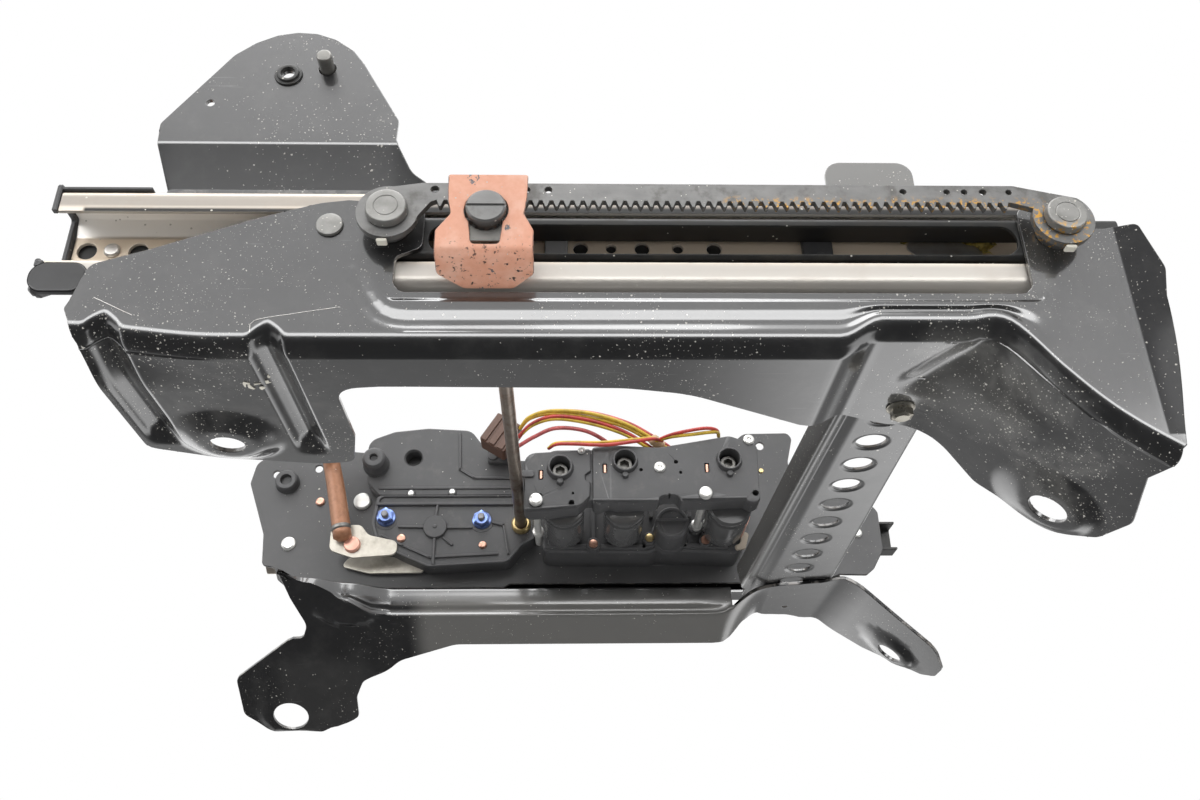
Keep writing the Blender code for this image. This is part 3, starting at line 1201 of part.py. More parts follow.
def build_gear_covers():
    seat = CARRIER_FACE - SEAT_GAP
    upper = fillet([
        (-156.0, 97.0, 3.0), (-158.0, 133.0, 10.0), (-138.0, 141.0, 8.0), (-112.0, 144.0), (-78.0, 142.0, 8.0),
        (-66.0, 126.0, 6.0), (-40.0, 120.0, 6.0), (-38.0, 86.0, 3.0), (-146.0, 86.0, 3.0),
    ], 3)
    cover = prism("gear_cover", [upper, ellipse(-121.7, 118.0, 4.0, count=12)], COVER_FACE, seat, "carriage", "black_plastic")
    rib = box("rib", (-83.5, COVER_FACE - 2.0, 90.0), (-80.5, COVER_FACE + 1.0, 136.0), "carriage", "black_plastic")
    shelf = box("shelf", (-150.0, COVER_FACE - 2.0, 99.5), (-46.0, COVER_FACE + 1.0, 102.5), "carriage", "black_plastic")
    post = box("post", (-57.0, 351.3, 118.0), (-45.0, COVER_FACE + 2.0, 128.0), "carriage", "black_plastic", 2.0)
    web = box("web", (-64.0, COVER_FACE - 4.0, 112.0), (-40.5, COVER_FACE + 1.0, 124.0), "carriage", "black_plastic", 2.0)
    combine(cover, [rib, shelf, web, post])
    lower = fillet([
        (-146.0, 84.0, 3.0), (-149.0, 62.0, 4.0), (-143.6, 46.0, 5.0), (-124.0, 36.0, 5.0), (-104.5, 27.5, 5.0),
        (-46.0, 31.0, 5.0), (-36.0, 44.0, 5.0), (-26.0, 50.0, 5.0), (-24.0, 74.0, 6.0), (-38.0, 84.0, 3.0),
    ], 3)
    bore = ellipse(PINION_X, PINION_Z, SHAFT_RADIUS + BORE_GAP, count=16)
    housing = prism("gear_housing", [lower, bore], HOUSING_FACE, seat, "carriage", "black_plastic")
    boss = turned("boss", [
        (HOUSING_FACE + 1.0, 0.0), (HOUSING_FACE + 1.0, 9.0), (HOUSING_FACE - 3.0, 8.6), (HOUSING_FACE - 3.0, 0.0),
    ], (-101.0, 58.4), "carriage", "black_plastic", count=16)
    ribs = [boss]
    for index, (x1, x2, z1, z2) in enumerate((
        (-147.0, -40.0, 76.0, 78.4), (-122.0, -60.0, 49.5, 51.5), (-104.0, -101.6, 30.0, 50.0), (-86.0, -83.6, 32.0, 77.0),
        (-120.0, -117.6, 38.0, 77.0),
    )):
        ribs.append(box("rib" + str(index), (x1, HOUSING_FACE - 2.0, z1), (x2, HOUSING_FACE + 1.0, z2), "carriage", "black_plastic"))
    combine(housing, ribs)
    for side, x, z in COVER_NUTS:
        face = HOUSING_FACE - SEAT_GAP
        turned("cover_nut_" + side, [
            (face, 0.0), (face, NUT_RADIUS + 1.4), (face - 1.4, NUT_RADIUS + 1.4), (face - 1.6, NUT_RADIUS, "hex"),
            (face - 5.6, NUT_RADIUS, "hex"), (face - 6.0, NUT_RADIUS - 1.2), (face - 6.0, 2.6), (face - 10.0, 2.4), (face - 10.0, 0.0),
        ], (x, z), "carriage", "blue_zinc", count=12)
    turned("cover_bush", [(COVER_FACE - SEAT_GAP, 0.0), (COVER_FACE - SEAT_GAP, 9.5), (COVER_FACE - 14.0, 9.0), (COVER_FACE - 15.0, 8.0), (COVER_FACE - 15.0, 0.0)],
           (-150.0, 112.0), "carriage", "black_plastic")


def build_drive_unit():
    face = fillet([
        (-31.5, 38.5, 6.0), (-14.0, 39.0, 6.0), (60.0, 43.0, 4.0), (64.0, 52.0, 4.0), (84.0, 52.0, 4.0),
        (88.0, 43.0, 4.0), (120.0, 44.0, 6.0), (130.0, 58.0, 6.0), (131.0, 88.0, 5.0), (112.0, 95.0, 6.0),
        (62.0, 86.0, 6.0), (28.0, 88.0, 5.0), (0.0, 84.0, 5.0), (-31.5, 82.0, 8.0),
    ], 3)
    back = MOTOR_FACE + MOTOR_PLATE
    holes = [ellipse(x, z, HOUSING_BOLT_RADIUS + BORE_GAP, count=10) for _, x, z in HOUSING_BOLTS]
    housing = prism("drive_housing", [face] + holes, MOTOR_FACE, back, "carriage", "black_plastic")
    rings = [
        turned("ring", [(MOTOR_FACE - SOCKET_PROUD, 0.0), (MOTOR_FACE - SOCKET_PROUD, SOCKET_OUTER), (MOTOR_FACE + 1.0, SOCKET_OUTER + 0.4), (MOTOR_FACE + 1.0, 0.0)],
               socket, "carriage", "black_plastic", count=16)
        for socket in SOCKETS
    ]
    combine(housing, rings)
    bores = [
        turned("bore", [(MOTOR_FACE - SOCKET_PROUD - 2.0, 0.0), (MOTOR_FACE - SOCKET_PROUD - 2.0, SOCKET_INNER), (MOTOR_FACE + SOCKET_DEPTH, SOCKET_INNER), (MOTOR_FACE + SOCKET_DEPTH, 0.0)],
               socket, "carriage", "black_plastic", count=16)
        for socket in SOCKETS
    ]
    combine(housing, bores, "DIFFERENCE")
    floor = MOTOR_FACE + SOCKET_DEPTH - SEAT_GAP
    names = ("drive_coupling_left", "drive_coupling_middle", "drive_coupling_right")
    for name, socket in zip(names, SOCKETS):
        turned(name, [
            (floor, 0.0), (floor, COUPLING_RADIUS), (floor - 8.0, COUPLING_RADIUS), (floor - 8.0, 3.0, "hex"),
            (floor - 3.0, 3.0, "hex"), (floor - 3.0, 0.0),
        ], socket, name, "dark_steel", count=12)
    for side, x in MOTORS:
        turned("motor_" + side, [
            (back + SEAT_GAP, 0.0), (back + SEAT_GAP, MOTOR_RADIUS - 1.5), (back + 1.8, MOTOR_RADIUS), (MOTOR_BACK - 2.0, MOTOR_RADIUS),
            (MOTOR_BACK - SEAT_GAP, MOTOR_RADIUS - 1.5), (MOTOR_BACK - SEAT_GAP, 0.0),
        ], (x, MOTOR_LEVEL), "carriage", "black_plastic", count=16)
    block = fillet([
        (-20.0, 34.0, 5.0), (58.0, 33.0, 5.0), (64.0, 36.0, 3.0), (84.0, 34.0, 5.0), (124.0, 33.0, 6.0), (132.0, 46.0, 5.0),
        (132.0, 96.0, 6.0), (118.0, 118.0, 6.0), (-20.0, 116.0, 8.0),
    ], 3)
    gears = prism("gear_block", [block] + [ellipse(x, z, HOUSING_BOLT_RADIUS + BORE_GAP, count=10) for _, x, z in HOUSING_BOLTS[1:]],
                  MOTOR_BACK, CARRIER_FACE - SEAT_GAP, "carriage", "black_plastic")
    disc = turned("disc", [(MOTOR_BACK + 1.0, 0.0), (MOTOR_BACK + 1.0, 13.0), (MOTOR_BACK - 30.0, 12.0), (MOTOR_BACK - 30.0, 0.0)],
                  (73.0, 45.5), "carriage", "black_plastic", count=16)
    combine(gears, [disc])
    for side, x, z in HOUSING_BOLTS:
        end = MOTOR_BACK + 6.0 if side == "right" else HOUSING_FACE - SEAT_GAP
        head = MOTOR_FACE - SEAT_GAP
        turned("housing_bolt_" + side, [
            (head - 2.6, 0.0), (head - 2.6, 3.6), (head - 1.0, 4.6), (head, 4.6), (head, HOUSING_BOLT_RADIUS), (end, HOUSING_BOLT_RADIUS), (end, 0.0),
        ], (x, z), "carriage", "bright_steel", count=12)


# Cross rod, lever, connector and wires

def catmull(points, step):
    knots = [Vector(p) for p in points]
    knots = [knots[0] * 2.0 - knots[1]] + knots + [knots[-1] * 2.0 - knots[-2]]
    made = []
    for p0, p1, p2, p3 in zip(knots, knots[1:], knots[2:], knots[3:]):
        parts = max(2, int((p2 - p1).length / step))
        for index in range(parts):
            t = index / parts
            made.append(
                0.5 * ((p1 * 2.0) + (p2 - p0) * t + (p0 * 2.0 - p1 * 5.0 + p2 * 4.0 - p3) * t * t
                       + (p1 * 3.0 - p0 - p2 * 3.0 + p3) * t * t * t)
            )
    made.append(knots[-2])
    return made


def tube(name, route, radius, step, body, finish, sides=2):
    pivot = Vector(BODY_PIVOTS[body])
    curve = bpy.data.curves.new(name, "CURVE")
    curve.dimensions = "3D"
    curve.bevel_depth = radius * MM
    curve.bevel_resolution = sides
    curve.use_fill_caps = True
    points = catmull(route, step)
    spline = curve.splines.new("POLY")
    spline.points.add(len(points) - 1)
    for slot, point in zip(spline.points, points):
        slot.co = (*((point - pivot) * MM), 1.0)
    made = bpy.data.objects.new(name, curve)
    bpy.context.scene.collection.objects.link(made)
    made.parent = BODIES[body]
    made.data.materials.append(MATERIALS[finish])
    return made


def build_rod():
    lever_face = HOUSING_FACE - SEAT_GAP - LEVER_SHEET
    rod_y = lever_face - SEAT_GAP - ROD_RADIUS
    start = HINGE_FACE + SEAT_GAP
    tube("cross_rod", [
        (ROD_NEAR[0], start, ROD_NEAR[1]), (ROD_NEAR[0], start + 40.0, ROD_NEAR[1]), (-184.5, 170.0, 127.0),
        (-185.0, 300.0, 126.0), (-184.0, rod_y - 22.0, 121.0), (-181.0, rod_y - 3.0, 107.0), (-174.5, rod_y, 80.0),
        (-167.5, rod_y, 48.0),
    ], ROD_RADIUS, 18.0, "carriage", "brown_rod", 2)
    lever = fillet([
        (-178.0, 60.0, 5.0), (-178.0, 40.0, 5.0), (-160.0, 34.0, 4.0), (-128.0, 36.5, 4.0), (-128.0, 47.0, 4.0), (-150.0, 52.0, 5.0), (-156.0, 60.0, 5.0),
    ], 3)
    prism("lever_plate", [lever], lever_face, lever_face + LEVER_SHEET, "carriage", "bright_steel")
    seat = lever_face - SEAT_GAP
    turned("lever_rivet", [(seat, 0.0), (seat, 5.0), (seat - 2.4, 4.6), (seat - 3.0, 3.0), (seat - 3.0, 0.0)],
           (-153.0, 43.5), "carriage", "copper", count=12)


def build_connector():
    turn = math.radians(32.0)
    centre = Vector((-52.0, 0.0, 123.0))
    corners = []
    for across, up in ((-11.0, -13.0), (11.0, -13.0), (11.0, 13.0), (-11.0, 13.0)):
        corners.append((
            centre.x + across * math.cos(turn) + up * math.sin(turn),
            centre.z - across * math.sin(turn) + up * math.cos(turn),
            2.0,
        ))
    prism("wire_connector", [fillet(corners, 3)], 334.0, 351.0, "carriage", "brown_plastic")
    routes = {
        "wire_yellow": [(-37.5, 333.0, 125.0), (-30.0, 322.0, 129.0), (-14.0, 312.0, 129.0), (12.0, 305.0, 124.0), (38.0, 303.0, 115.0), (58.0, 307.0, 105.0), (72.0, 316.0, 99.5), (84.0, 328.0, 97.0), (97.0, 338.0, 96.0), (100.0, 346.0, 96.0), (100.0, MOTOR_BACK - SEAT_GAP, 96.0)],
        "wire_red": [(-38.5, 333.0, 118.0), (-28.0, 321.0, 123.0), (-12.0, 312.0, 124.5), (12.0, 307.0, 119.5), (36.0, 305.5, 110.5), (54.0, 309.0, 101.0), (70.0, 320.0, 94.5), (84.0, 333.0, 91.0), (88.0, 345.0, 90.0), (88.0, MOTOR_BACK - SEAT_GAP, 90.0)],
        "wire_pink": [(-39.0, 337.0, 112.0), (-26.0, 326.0, 115.0), (-10.0, 316.0, 117.0), (12.0, 312.0, 112.5), (30.0, 318.0, 104.0), (40.0, 332.0, 98.0), (43.0, 345.0, 96.0), (43.0, MOTOR_BACK - SEAT_GAP, 96.0)],
    }
    for name, route in routes.items():
        finish = "yellow_wire" if name == "wire_yellow" else "red_wire"
        tube(name, route, WIRE_RADIUS, 11.0, "carriage", finish, 1)


def place_origin():
    # The origin goes to the middle of the bottom of the whole track.
    bpy.context.view_layer.update()
    graph = bpy.context.evaluated_depsgraph_get()
    corners = []
    for item in bpy.data.objects:
        if item.type in {"MESH", "CURVE"}:
            seen = item.evaluated_get(graph)
            mesh = seen.to_mesh()
            corners.extend(item.matrix_world @ vertex.co for vertex in mesh.vertices)
            seen.to_mesh_clear()
    low = [min(corner[i] for corner in corners) for i in range(3)]
    high = [max(corner[i] for corner in corners) for i in range(3)]
    shift = Vector((-(low[0] + high[0]) / 2.0, -(low[1] + high[1]) / 2.0, -low[2]))
    BODIES["track"].location = shift
    bpy.context.view_layer.update()
    print("origin shift in mm", [round(value / MM, 3) for value in shift])


build_near_side_frame()
build_near_rails()
build_rack()
build_shaft()
build_pinion_bracket()
build_hinge_bracket()
build_top_tab()
build_rail_inserts()
build_channel()
build_far_frame()
build_far_rails()
build_carrier()
build_gear_covers()
build_drive_unit()
build_rod()
build_connector()
place_origin()
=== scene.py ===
# Looks of the powered seat slide: finishes, finer pressings and mouldings, and the studio.
# Sizes are in millimetres from the near frame's outer face and the underside of its flange.
import json
import math
import random

import bmesh
import bpy
import numpy as np
from mathutils import Matrix, Vector
from mathutils.geometry import delaunay_2d_cdt


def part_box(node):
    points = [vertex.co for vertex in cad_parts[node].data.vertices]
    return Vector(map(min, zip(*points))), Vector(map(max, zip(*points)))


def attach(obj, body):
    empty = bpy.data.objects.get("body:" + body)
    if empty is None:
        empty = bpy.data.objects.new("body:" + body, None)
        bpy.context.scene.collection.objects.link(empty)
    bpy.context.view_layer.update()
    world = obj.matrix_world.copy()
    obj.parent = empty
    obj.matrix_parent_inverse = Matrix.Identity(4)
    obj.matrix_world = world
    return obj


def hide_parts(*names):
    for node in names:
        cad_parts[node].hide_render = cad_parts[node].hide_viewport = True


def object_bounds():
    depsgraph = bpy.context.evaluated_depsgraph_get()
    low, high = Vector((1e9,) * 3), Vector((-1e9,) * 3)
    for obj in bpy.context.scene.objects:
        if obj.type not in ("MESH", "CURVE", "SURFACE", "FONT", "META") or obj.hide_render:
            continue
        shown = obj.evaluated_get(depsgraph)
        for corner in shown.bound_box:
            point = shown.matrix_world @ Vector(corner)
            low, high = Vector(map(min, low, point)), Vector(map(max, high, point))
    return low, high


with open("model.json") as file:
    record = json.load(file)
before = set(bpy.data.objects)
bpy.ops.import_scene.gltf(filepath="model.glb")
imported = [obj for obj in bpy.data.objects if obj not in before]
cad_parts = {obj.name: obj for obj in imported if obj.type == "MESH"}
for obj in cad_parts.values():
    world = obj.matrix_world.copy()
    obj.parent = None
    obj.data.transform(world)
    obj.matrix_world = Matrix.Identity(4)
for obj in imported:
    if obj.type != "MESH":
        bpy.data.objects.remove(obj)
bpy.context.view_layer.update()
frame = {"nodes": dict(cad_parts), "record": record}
mm = 0.001
guideCorner = Vector((-132, 2.8, 50))  # lowest corner of the near guide rail
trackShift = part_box("near_guide_rail")[0] / mm - guideCorner
print("frame loaded, shift", [round(value, 2) for value in trackShift])


# Camera and studio

view = {
    "place": (0, -399.4, -231.8),
    "right": (0.99961, -0.02463, -0.01281),
    "up": (0, -0.46147, 0.88716),
    "forward": (0.02777, 0.88681, 0.46129),
    "lens": 32.4,
    "sensor": 36,
}

studio = {
    "backdrop": 1,  # what the camera sees behind the object
    "fill": 0.72,  # world level for diffuse light
    "bright": 1.2,  # what glossy surfaces see above the camera
    "band": 6,  # and in a band in front, just above it
    "dark": 0.05,  # and round the camera
    "under": 0.3,  # and below the object, on the left
    "underRight": 1.55,  # and on the right
    "behind": (1.35, 0.18),  # and level with it behind, left and right
    "floorDrop": 450,  # floor below the lowest foot
    "floorReach": (0.55, 1.05),  # metres: solid up to the first, faded out at the second
    "lamps": [  # name, place, target, width, height, watts
        ("frontSoftbox", (-100, -1150, 2050), (0, 0, 60), 1900, 900, 9),
        ("topSoftbox", (-300, -700, 1900), (0, 150, 40), 1800, 1400, 30),
        ("lowSoftbox", (200, 900, -1500), (0, 150, 20), 1500, 900, 10),
    ],
}


skyEdges = {  # where the parts of the glossy sky begin and end, along x, y or z
    "front": (-0.2, -0.5),
    "low": (0.08, -0.06),
    "down": (-0.5, -0.72),
    "aside": (0.8, 0.5),
    "right": (0.08, 0.3),
    "behind": (-0.1, 0.15),
    "deep": (-0.22, -0.42),
    "below": (0.16, -0.02),
    "rise": (0.04, 0.14),
    "drop": (0.42, 0.3),
}


def toWorld(point):
    return (Vector(point) + trackShift) * mm


def makeCamera():
    data = bpy.data.cameras.new("photoCamera")
    data.lens = view["lens"]
    data.sensor_width = view["sensor"]
    data.clip_start = 0.01
    camera = bpy.data.objects.new("photoCamera", data)
    bpy.context.scene.collection.objects.link(camera)
    axes = (Vector(view["right"]), Vector(view["up"]), -Vector(view["forward"]))
    turn = Matrix(axes).transposed().to_4x4()
    camera.matrix_world = Matrix.Translation(toWorld(view["place"])) @ turn
    bpy.context.scene.camera = camera


def makeLamps():
    for name, place, target, width, height, watts in studio["lamps"]:
        data = bpy.data.lights.new(name, "AREA")
        data.shape = "RECTANGLE"
        data.size = width * mm
        data.size_y = height * mm
        data.energy = watts
        lamp = bpy.data.objects.new(name, data)
        bpy.context.scene.collection.objects.link(lamp)
        lamp.location = Vector(place) * mm
        lamp.visible_glossy = place[2] > 0
        lamp.rotation_euler = (Vector(target) - Vector(place)).to_track_quat("-Z", "Y").to_euler()


# Node helpers: a value may be a number, a colour or another node's output

def newMaterial(name):
    material = bpy.data.materials.new(name)
    material.use_nodes = True
    tree = material.node_tree
    where = addNode(tree, "TexCoord").outputs["Object"]
    return material, tree, tree.nodes["Principled BSDF"], where


def putInput(tree, socket, value):
    if isinstance(value, bpy.types.NodeSocket):
        tree.links.new(value, socket)
    else:
        socket.default_value = value


def addNode(tree, kind, inputs=None, **settings):
    node = tree.nodes.new("ShaderNode" + kind)
    for key, value in settings.items():
        setattr(node, key, value)
    for key, value in (inputs or {}).items():
        putInput(tree, node.inputs[key], value)
    return node


def maths(tree, operation, one, two=0, three=0):
    node = addNode(tree, "Math", {0: one, 1: two, 2: three}, operation=operation)
    return node.outputs[0]


def times(tree, one, two):
    return maths(tree, "MULTIPLY", one, two)


def scaled(tree, value, factor, start):
    return maths(tree, "MULTIPLY_ADD", value, factor, start)


def blended(tree, share, one, two):
    node = addNode(tree, "Mix", {0: share, 2: one, 3: two})
    return node.outputs[0]


def ranged(tree, value, low, high, start=0, end=1):
    node = addNode(tree, "MapRange", {0: value, 1: low, 2: high, 3: start, 4: end},
        interpolation_type="SMOOTHSTEP")
    return node.outputs[0]


def mixed(tree, factor, one, two):
    node = addNode(tree, "Mix", {0: factor, 6: one, 7: two}, data_type="RGBA")
    return node.outputs[2]


def rgb(colour):
    return (*colour, 1)


def noise(tree, where, scale, detail=3, rough=0.55, distortion=0):
    node = addNode(tree, "TexNoise", {
        "Vector": where, "Scale": scale, "Detail": detail, "Roughness": rough, "Distortion": distortion,
    })
    return node.outputs[0]


def stretched(tree, where, scale):
    node = addNode(tree, "Mapping", {"Vector": where, "Scale": scale})
    return node.outputs[0]


def specks(tree, where, scale, share, size, cloud=None):
    # Small spots, one in some of the cells; cloud makes them gather in places.
    cells = addNode(tree, "TexVoronoi", {"Vector": where, "Scale": scale})
    parts = addNode(tree, "SeparateColor", {0: cells.outputs["Color"]})
    chance = share if cloud is None else times(tree, cloud, share)
    chosen = maths(tree, "LESS_THAN", parts.outputs[0], chance)
    reach = scaled(tree, parts.outputs[1], size * 0.8, size * 0.35)
    near = maths(tree, "LESS_THAN", cells.outputs["Distance"], reach)
    return times(tree, chosen, near)


def makeWorld():
    world = bpy.data.worlds.new("studioWorld")
    world.use_nodes = True
    bpy.context.scene.world = world
    tree = world.node_tree
    tree.nodes.clear()
    look = addNode(tree, "TexCoord").outputs["Generated"]
    x, y, z = addNode(tree, "SeparateXYZ", {0: look}).outputs
    edges = skyEdges
    front = ranged(tree, y, *edges["front"])
    wedge = times(tree, front, ranged(tree, z, *edges["low"]))
    wedge = maths(tree, "MAXIMUM", wedge, ranged(tree, z, *edges["down"]))
    side = ranged(tree, x, *edges["right"], studio["under"], studio["underRight"])
    behind = ranged(tree, x, *edges["behind"], *studio["behind"])
    side = blended(tree, ranged(tree, z, *edges["deep"]), behind, side)
    level = blended(tree, ranged(tree, z, *edges["below"]), studio["bright"], side)
    glossy = blended(tree, wedge, level, studio["dark"])
    band = times(tree, ranged(tree, z, *edges["rise"]), ranged(tree, z, *edges["drop"]))
    band = times(tree, band, times(tree, front, ranged(tree, x, *edges["aside"])))
    glossy = blended(tree, band, glossy, studio["band"])
    path = addNode(tree, "LightPath")
    strength = blended(tree, path.outputs["Is Glossy Ray"], studio["fill"], glossy)
    straight = maths(tree, "MAXIMUM", path.outputs["Is Camera Ray"], path.outputs["Is Transmission Ray"])
    total = blended(tree, straight, strength, studio["backdrop"])
    shade = addNode(tree, "Background", {"Color": rgb((1, 1, 1)), "Strength": total})
    output = tree.nodes.new("ShaderNodeOutputWorld")
    tree.links.new(shade.outputs[0], output.inputs[0])


def makeFloor():
    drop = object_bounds()[0].z - studio["floorDrop"] * mm
    solid, faded = studio["floorReach"]
    count = 64
    angles = [2 * math.pi * index / count for index in range(count)]
    points = [(0, 0, drop)] + [(faded * math.cos(angle), faded * math.sin(angle), drop) for angle in angles]
    faces = [(0, i + 1, (i + 1) % count + 1) for i in range(count)]
    mesh = bpy.data.meshes.new("paleFloor")
    mesh.from_pydata(points, [], faces)
    floor = bpy.data.objects.new("paleFloor", mesh)
    bpy.context.scene.collection.objects.link(floor)
    material, tree, shader, where = newMaterial("palePaper")
    tone = mixed(tree, noise(tree, where, 3), rgb((0.8, 0.8, 0.8)), rgb((0.84, 0.84, 0.84)))
    tree.links.new(tone, shader.inputs["Base Color"])
    shader.inputs["Roughness"].default_value = 0.9
    spread = addNode(tree, "VectorMath", {0: where}, operation="LENGTH").outputs["Value"]
    tree.links.new(ranged(tree, spread, solid, faded * 0.98, 1, 0), shader.inputs["Alpha"])
    mesh.materials.append(material)
    floor.visible_glossy = False


bpy.context.scene.view_settings.view_transform = "Standard"
makeCamera()
makeLamps()
makeWorld()
makeFloor()
print("camera and studio ready")


# Finishes

wearLook = {  # colours that several finishes share
    "dust": (0.62, 0.6, 0.55),
    "film": (0.3, 0.29, 0.27),
    # haze: a dust haze; the even patches use the same colour as a painted sheen
    "haze": (0.26, 0.255, 0.24),
    "scratch": (0.22, 0.22, 0.22),
    "bareEdge": (0.28, 0.26, 0.24),
    "plasticFilm": (0.33, 0.32, 0.3),
    "pit": (0.05, 0.035, 0.03),
    "grease": (0.5, 0.27, 0.05),
    "specks": ((560, 1, 0.24), (210, 0.3, 0.13), (1150, 0.9, 0.27)),  # cells a metre, share, size
}


def bumpy(tree, shader, height, distance, strength=1):
    node = addNode(tree, "Bump", {"Height": height, "Distance": distance, "Strength": strength})
    tree.links.new(node.outputs[0], shader.inputs["Normal"])


def within(tree, where, low, high, soft=2):
    # 1 inside a box in millimetres, fading at its sides; None leaves a side open.
    axes = addNode(tree, "SeparateXYZ", {0: where})
    mask = 1
    for axis in range(3):
        for limit, side in ((low[axis], 1), (high[axis], -1)):
            if limit is None:
                continue
            edge = (limit + trackShift[axis]) * mm
            half = side * soft * mm / 2
            mask = times(tree, ranged(tree, axes.outputs[axis], edge - half, edge + half), mask)
    return mask


def edgeMask(tree):
    # 1 on the cut edges of a sheet; the mesh carries it as an attribute.
    return addNode(tree, "Attribute", attribute_name="rim").outputs["Fac"]


def smokeOf(tree, where):
    return noise(tree, where, 34, 5, 0.6, 0.6)


def paintFinish(name, base, **changes):
    # Gloss paint over pressed steel, with dust, scratches and worn cut edges; its even patches are a
    # painted sheen, paint made paler where reflected light would brighten it.
    look = dict(base, **changes)
    material, tree, shader, where = newMaterial(name)
    broad = noise(tree, where, 9, 4)
    cloud = ranged(tree, noise(tree, where, 16, 3), 0.4, 0.68)
    tone = mixed(tree, broad, rgb(look["dark"]), rgb(look["light"]))
    film = times(tree, ranged(tree, noise(tree, where, 60, 6, 0.7), 0.45, 0.8), look["film"])
    tone = mixed(tree, film, tone, rgb(wearLook["film"]))
    smoke = ranged(tree, smokeOf(tree, where), 0.42, 0.66)
    for low, high, amount in look.get("dusty", ()):
        patch = times(tree, within(tree, where, low, high, 30), amount)
        cloud = maths(tree, "MAXIMUM", cloud,
            times(tree, patch, ranged(tree, smokeOf(tree, where), 0.3, 0.62)))
    for low, high, amount in look.get("haze", ()):
        patch = times(tree, within(tree, where, low, high, 14), times(tree, smoke, amount))
        tone = mixed(tree, patch, tone, rgb(wearLook["haze"]))
    # Painted sheen: each even patch turns the paint evenly toward the haze colour, standing in for
    # reflected light.
    for low, high, amount in look.get("even", ()):
        patch = times(tree, within(tree, where, low, high, 18), amount)
        tone = mixed(tree, patch, tone, rgb(wearLook["haze"]))
    lines = noise(tree, stretched(tree, where, (25, 900, 900)), 1, 2)
    scratch = times(tree, ranged(tree, lines, 0.735, 0.765), look["scratch"])
    tone = mixed(tree, scratch, tone, rgb(wearLook["scratch"]))
    shake = addNode(tree, "TexNoise", {"Vector": where, "Scale": 900}).outputs[1]
    ragged = addNode(tree, "VectorMath", {0: shake, 1: (0.0012, 0.0012, 0.0012)}, operation="MULTIPLY")
    torn = addNode(tree, "VectorMath", {0: where, 1: ragged.outputs[0]}, operation="ADD").outputs[0]
    spots, big, fine = (
        specks(tree, torn, scale, look["specks"] * share, size, cloud) for scale, share,
        size in wearLook["specks"]
    )
    spots = maths(tree, "MAXIMUM", maths(tree, "MAXIMUM", spots, big), fine)
    tone = mixed(tree, spots, tone, rgb(wearLook["dust"]))
    worn = ranged(tree, noise(tree, where, 130, 4), 0.46, 0.6)
    worn = times(tree, times(tree, worn, edgeMask(tree)), look["edge"])
    tone = mixed(tree, worn, tone, rgb(wearLook["bareEdge"]))
    tree.links.new(tone, shader.inputs["Base Color"])
    rough = scaled(tree, noise(tree, where, 40, 5), 0.14, look["rough"] - 0.05)
    rough = scaled(tree, spots, 0.45, rough)
    rough = scaled(tree, scratch, 0.2, rough)
    tree.links.new(rough, shader.inputs["Roughness"])
    shader.inputs["Coat Weight"].default_value = look["coat"]
    for low, high, amount in look.get("dull", ()):
        patch = within(tree, where, low, high, 1)
        tree.links.new(scaled(tree, patch, -amount, look["coat"]), shader.inputs["Coat Weight"])
        tree.links.new(scaled(tree, patch, -amount * 0.4, 0.5), shader.inputs["Specular IOR Level"])
    shader.inputs["Coat Roughness"].default_value = look["coatRough"]
    shader.inputs["Coat IOR"].default_value = look["coatIor"]
    peel = noise(tree, where, 260, 3)
    height = scaled(tree, spots, 1.5, times(tree, peel, look["peel"]))
    bumpy(tree, shader, height, 0.00012)
    return material


def metalFinish(name, base, **changes):
    # Bare or plated metal: long drawn lines, stains, spots of dirt, and patches of other colour, some of
    # them painted shadow and painted highlight.
    look = dict(base, **changes)
    material, tree, shader, where = newMaterial(name)
    grain = noise(tree, stretched(tree, where, look["grain"]), 1, 4)
    tone = mixed(tree, grain, rgb(look["dark"]), rgb(look["light"]))
    stain = times(tree, ranged(tree, noise(tree, where, look["stainScale"], 5, 0.65), 0.46, 0.7),
        look["stain"])
    tone = mixed(tree, stain, tone, rgb(look["stainColour"]))
    metal = look["metal"]
    # Patches: some are the metal's own tones, some painted shadow and painted highlight.
    for low, high, colour, amount in look.get("patches", ()):
        patch = times(tree, within(tree, where, low, high), amount)
        tone = mixed(tree, patch, tone, rgb(colour))
        metal = scaled(tree, patch, -0.7 * look["metal"], metal)
    crumbs = ranged(tree, noise(tree, where, 520, 4, 0.6), 0.54, 0.6)
    for low, high in look.get("greasy", ()):
        patch = times(tree, within(tree, where, low, high, 6), crumbs)
        tone = mixed(tree, patch, tone, rgb(wearLook["grease"]))
    spots = specks(tree, where, 500, look["specks"], 0.24)
    tone = mixed(tree, spots, tone, rgb(wearLook["dust"]))
    worn = times(tree, edgeMask(tree), look["edge"])
    tone = mixed(tree, worn, tone, rgb(look["light"]))
    tree.links.new(tone, shader.inputs["Base Color"])
    putInput(tree, shader.inputs["Metallic"], metal)
    rough = scaled(tree, grain, 0.16, look["rough"] - 0.08)
    rough = scaled(tree, maths(tree, "MAXIMUM", stain, spots), 0.25, rough)
    tree.links.new(rough, shader.inputs["Roughness"])
    height = maths(tree, "ADD", times(tree, grain, look["relief"]), spots)
    bumpy(tree, shader, height, 0.0001)
    return material


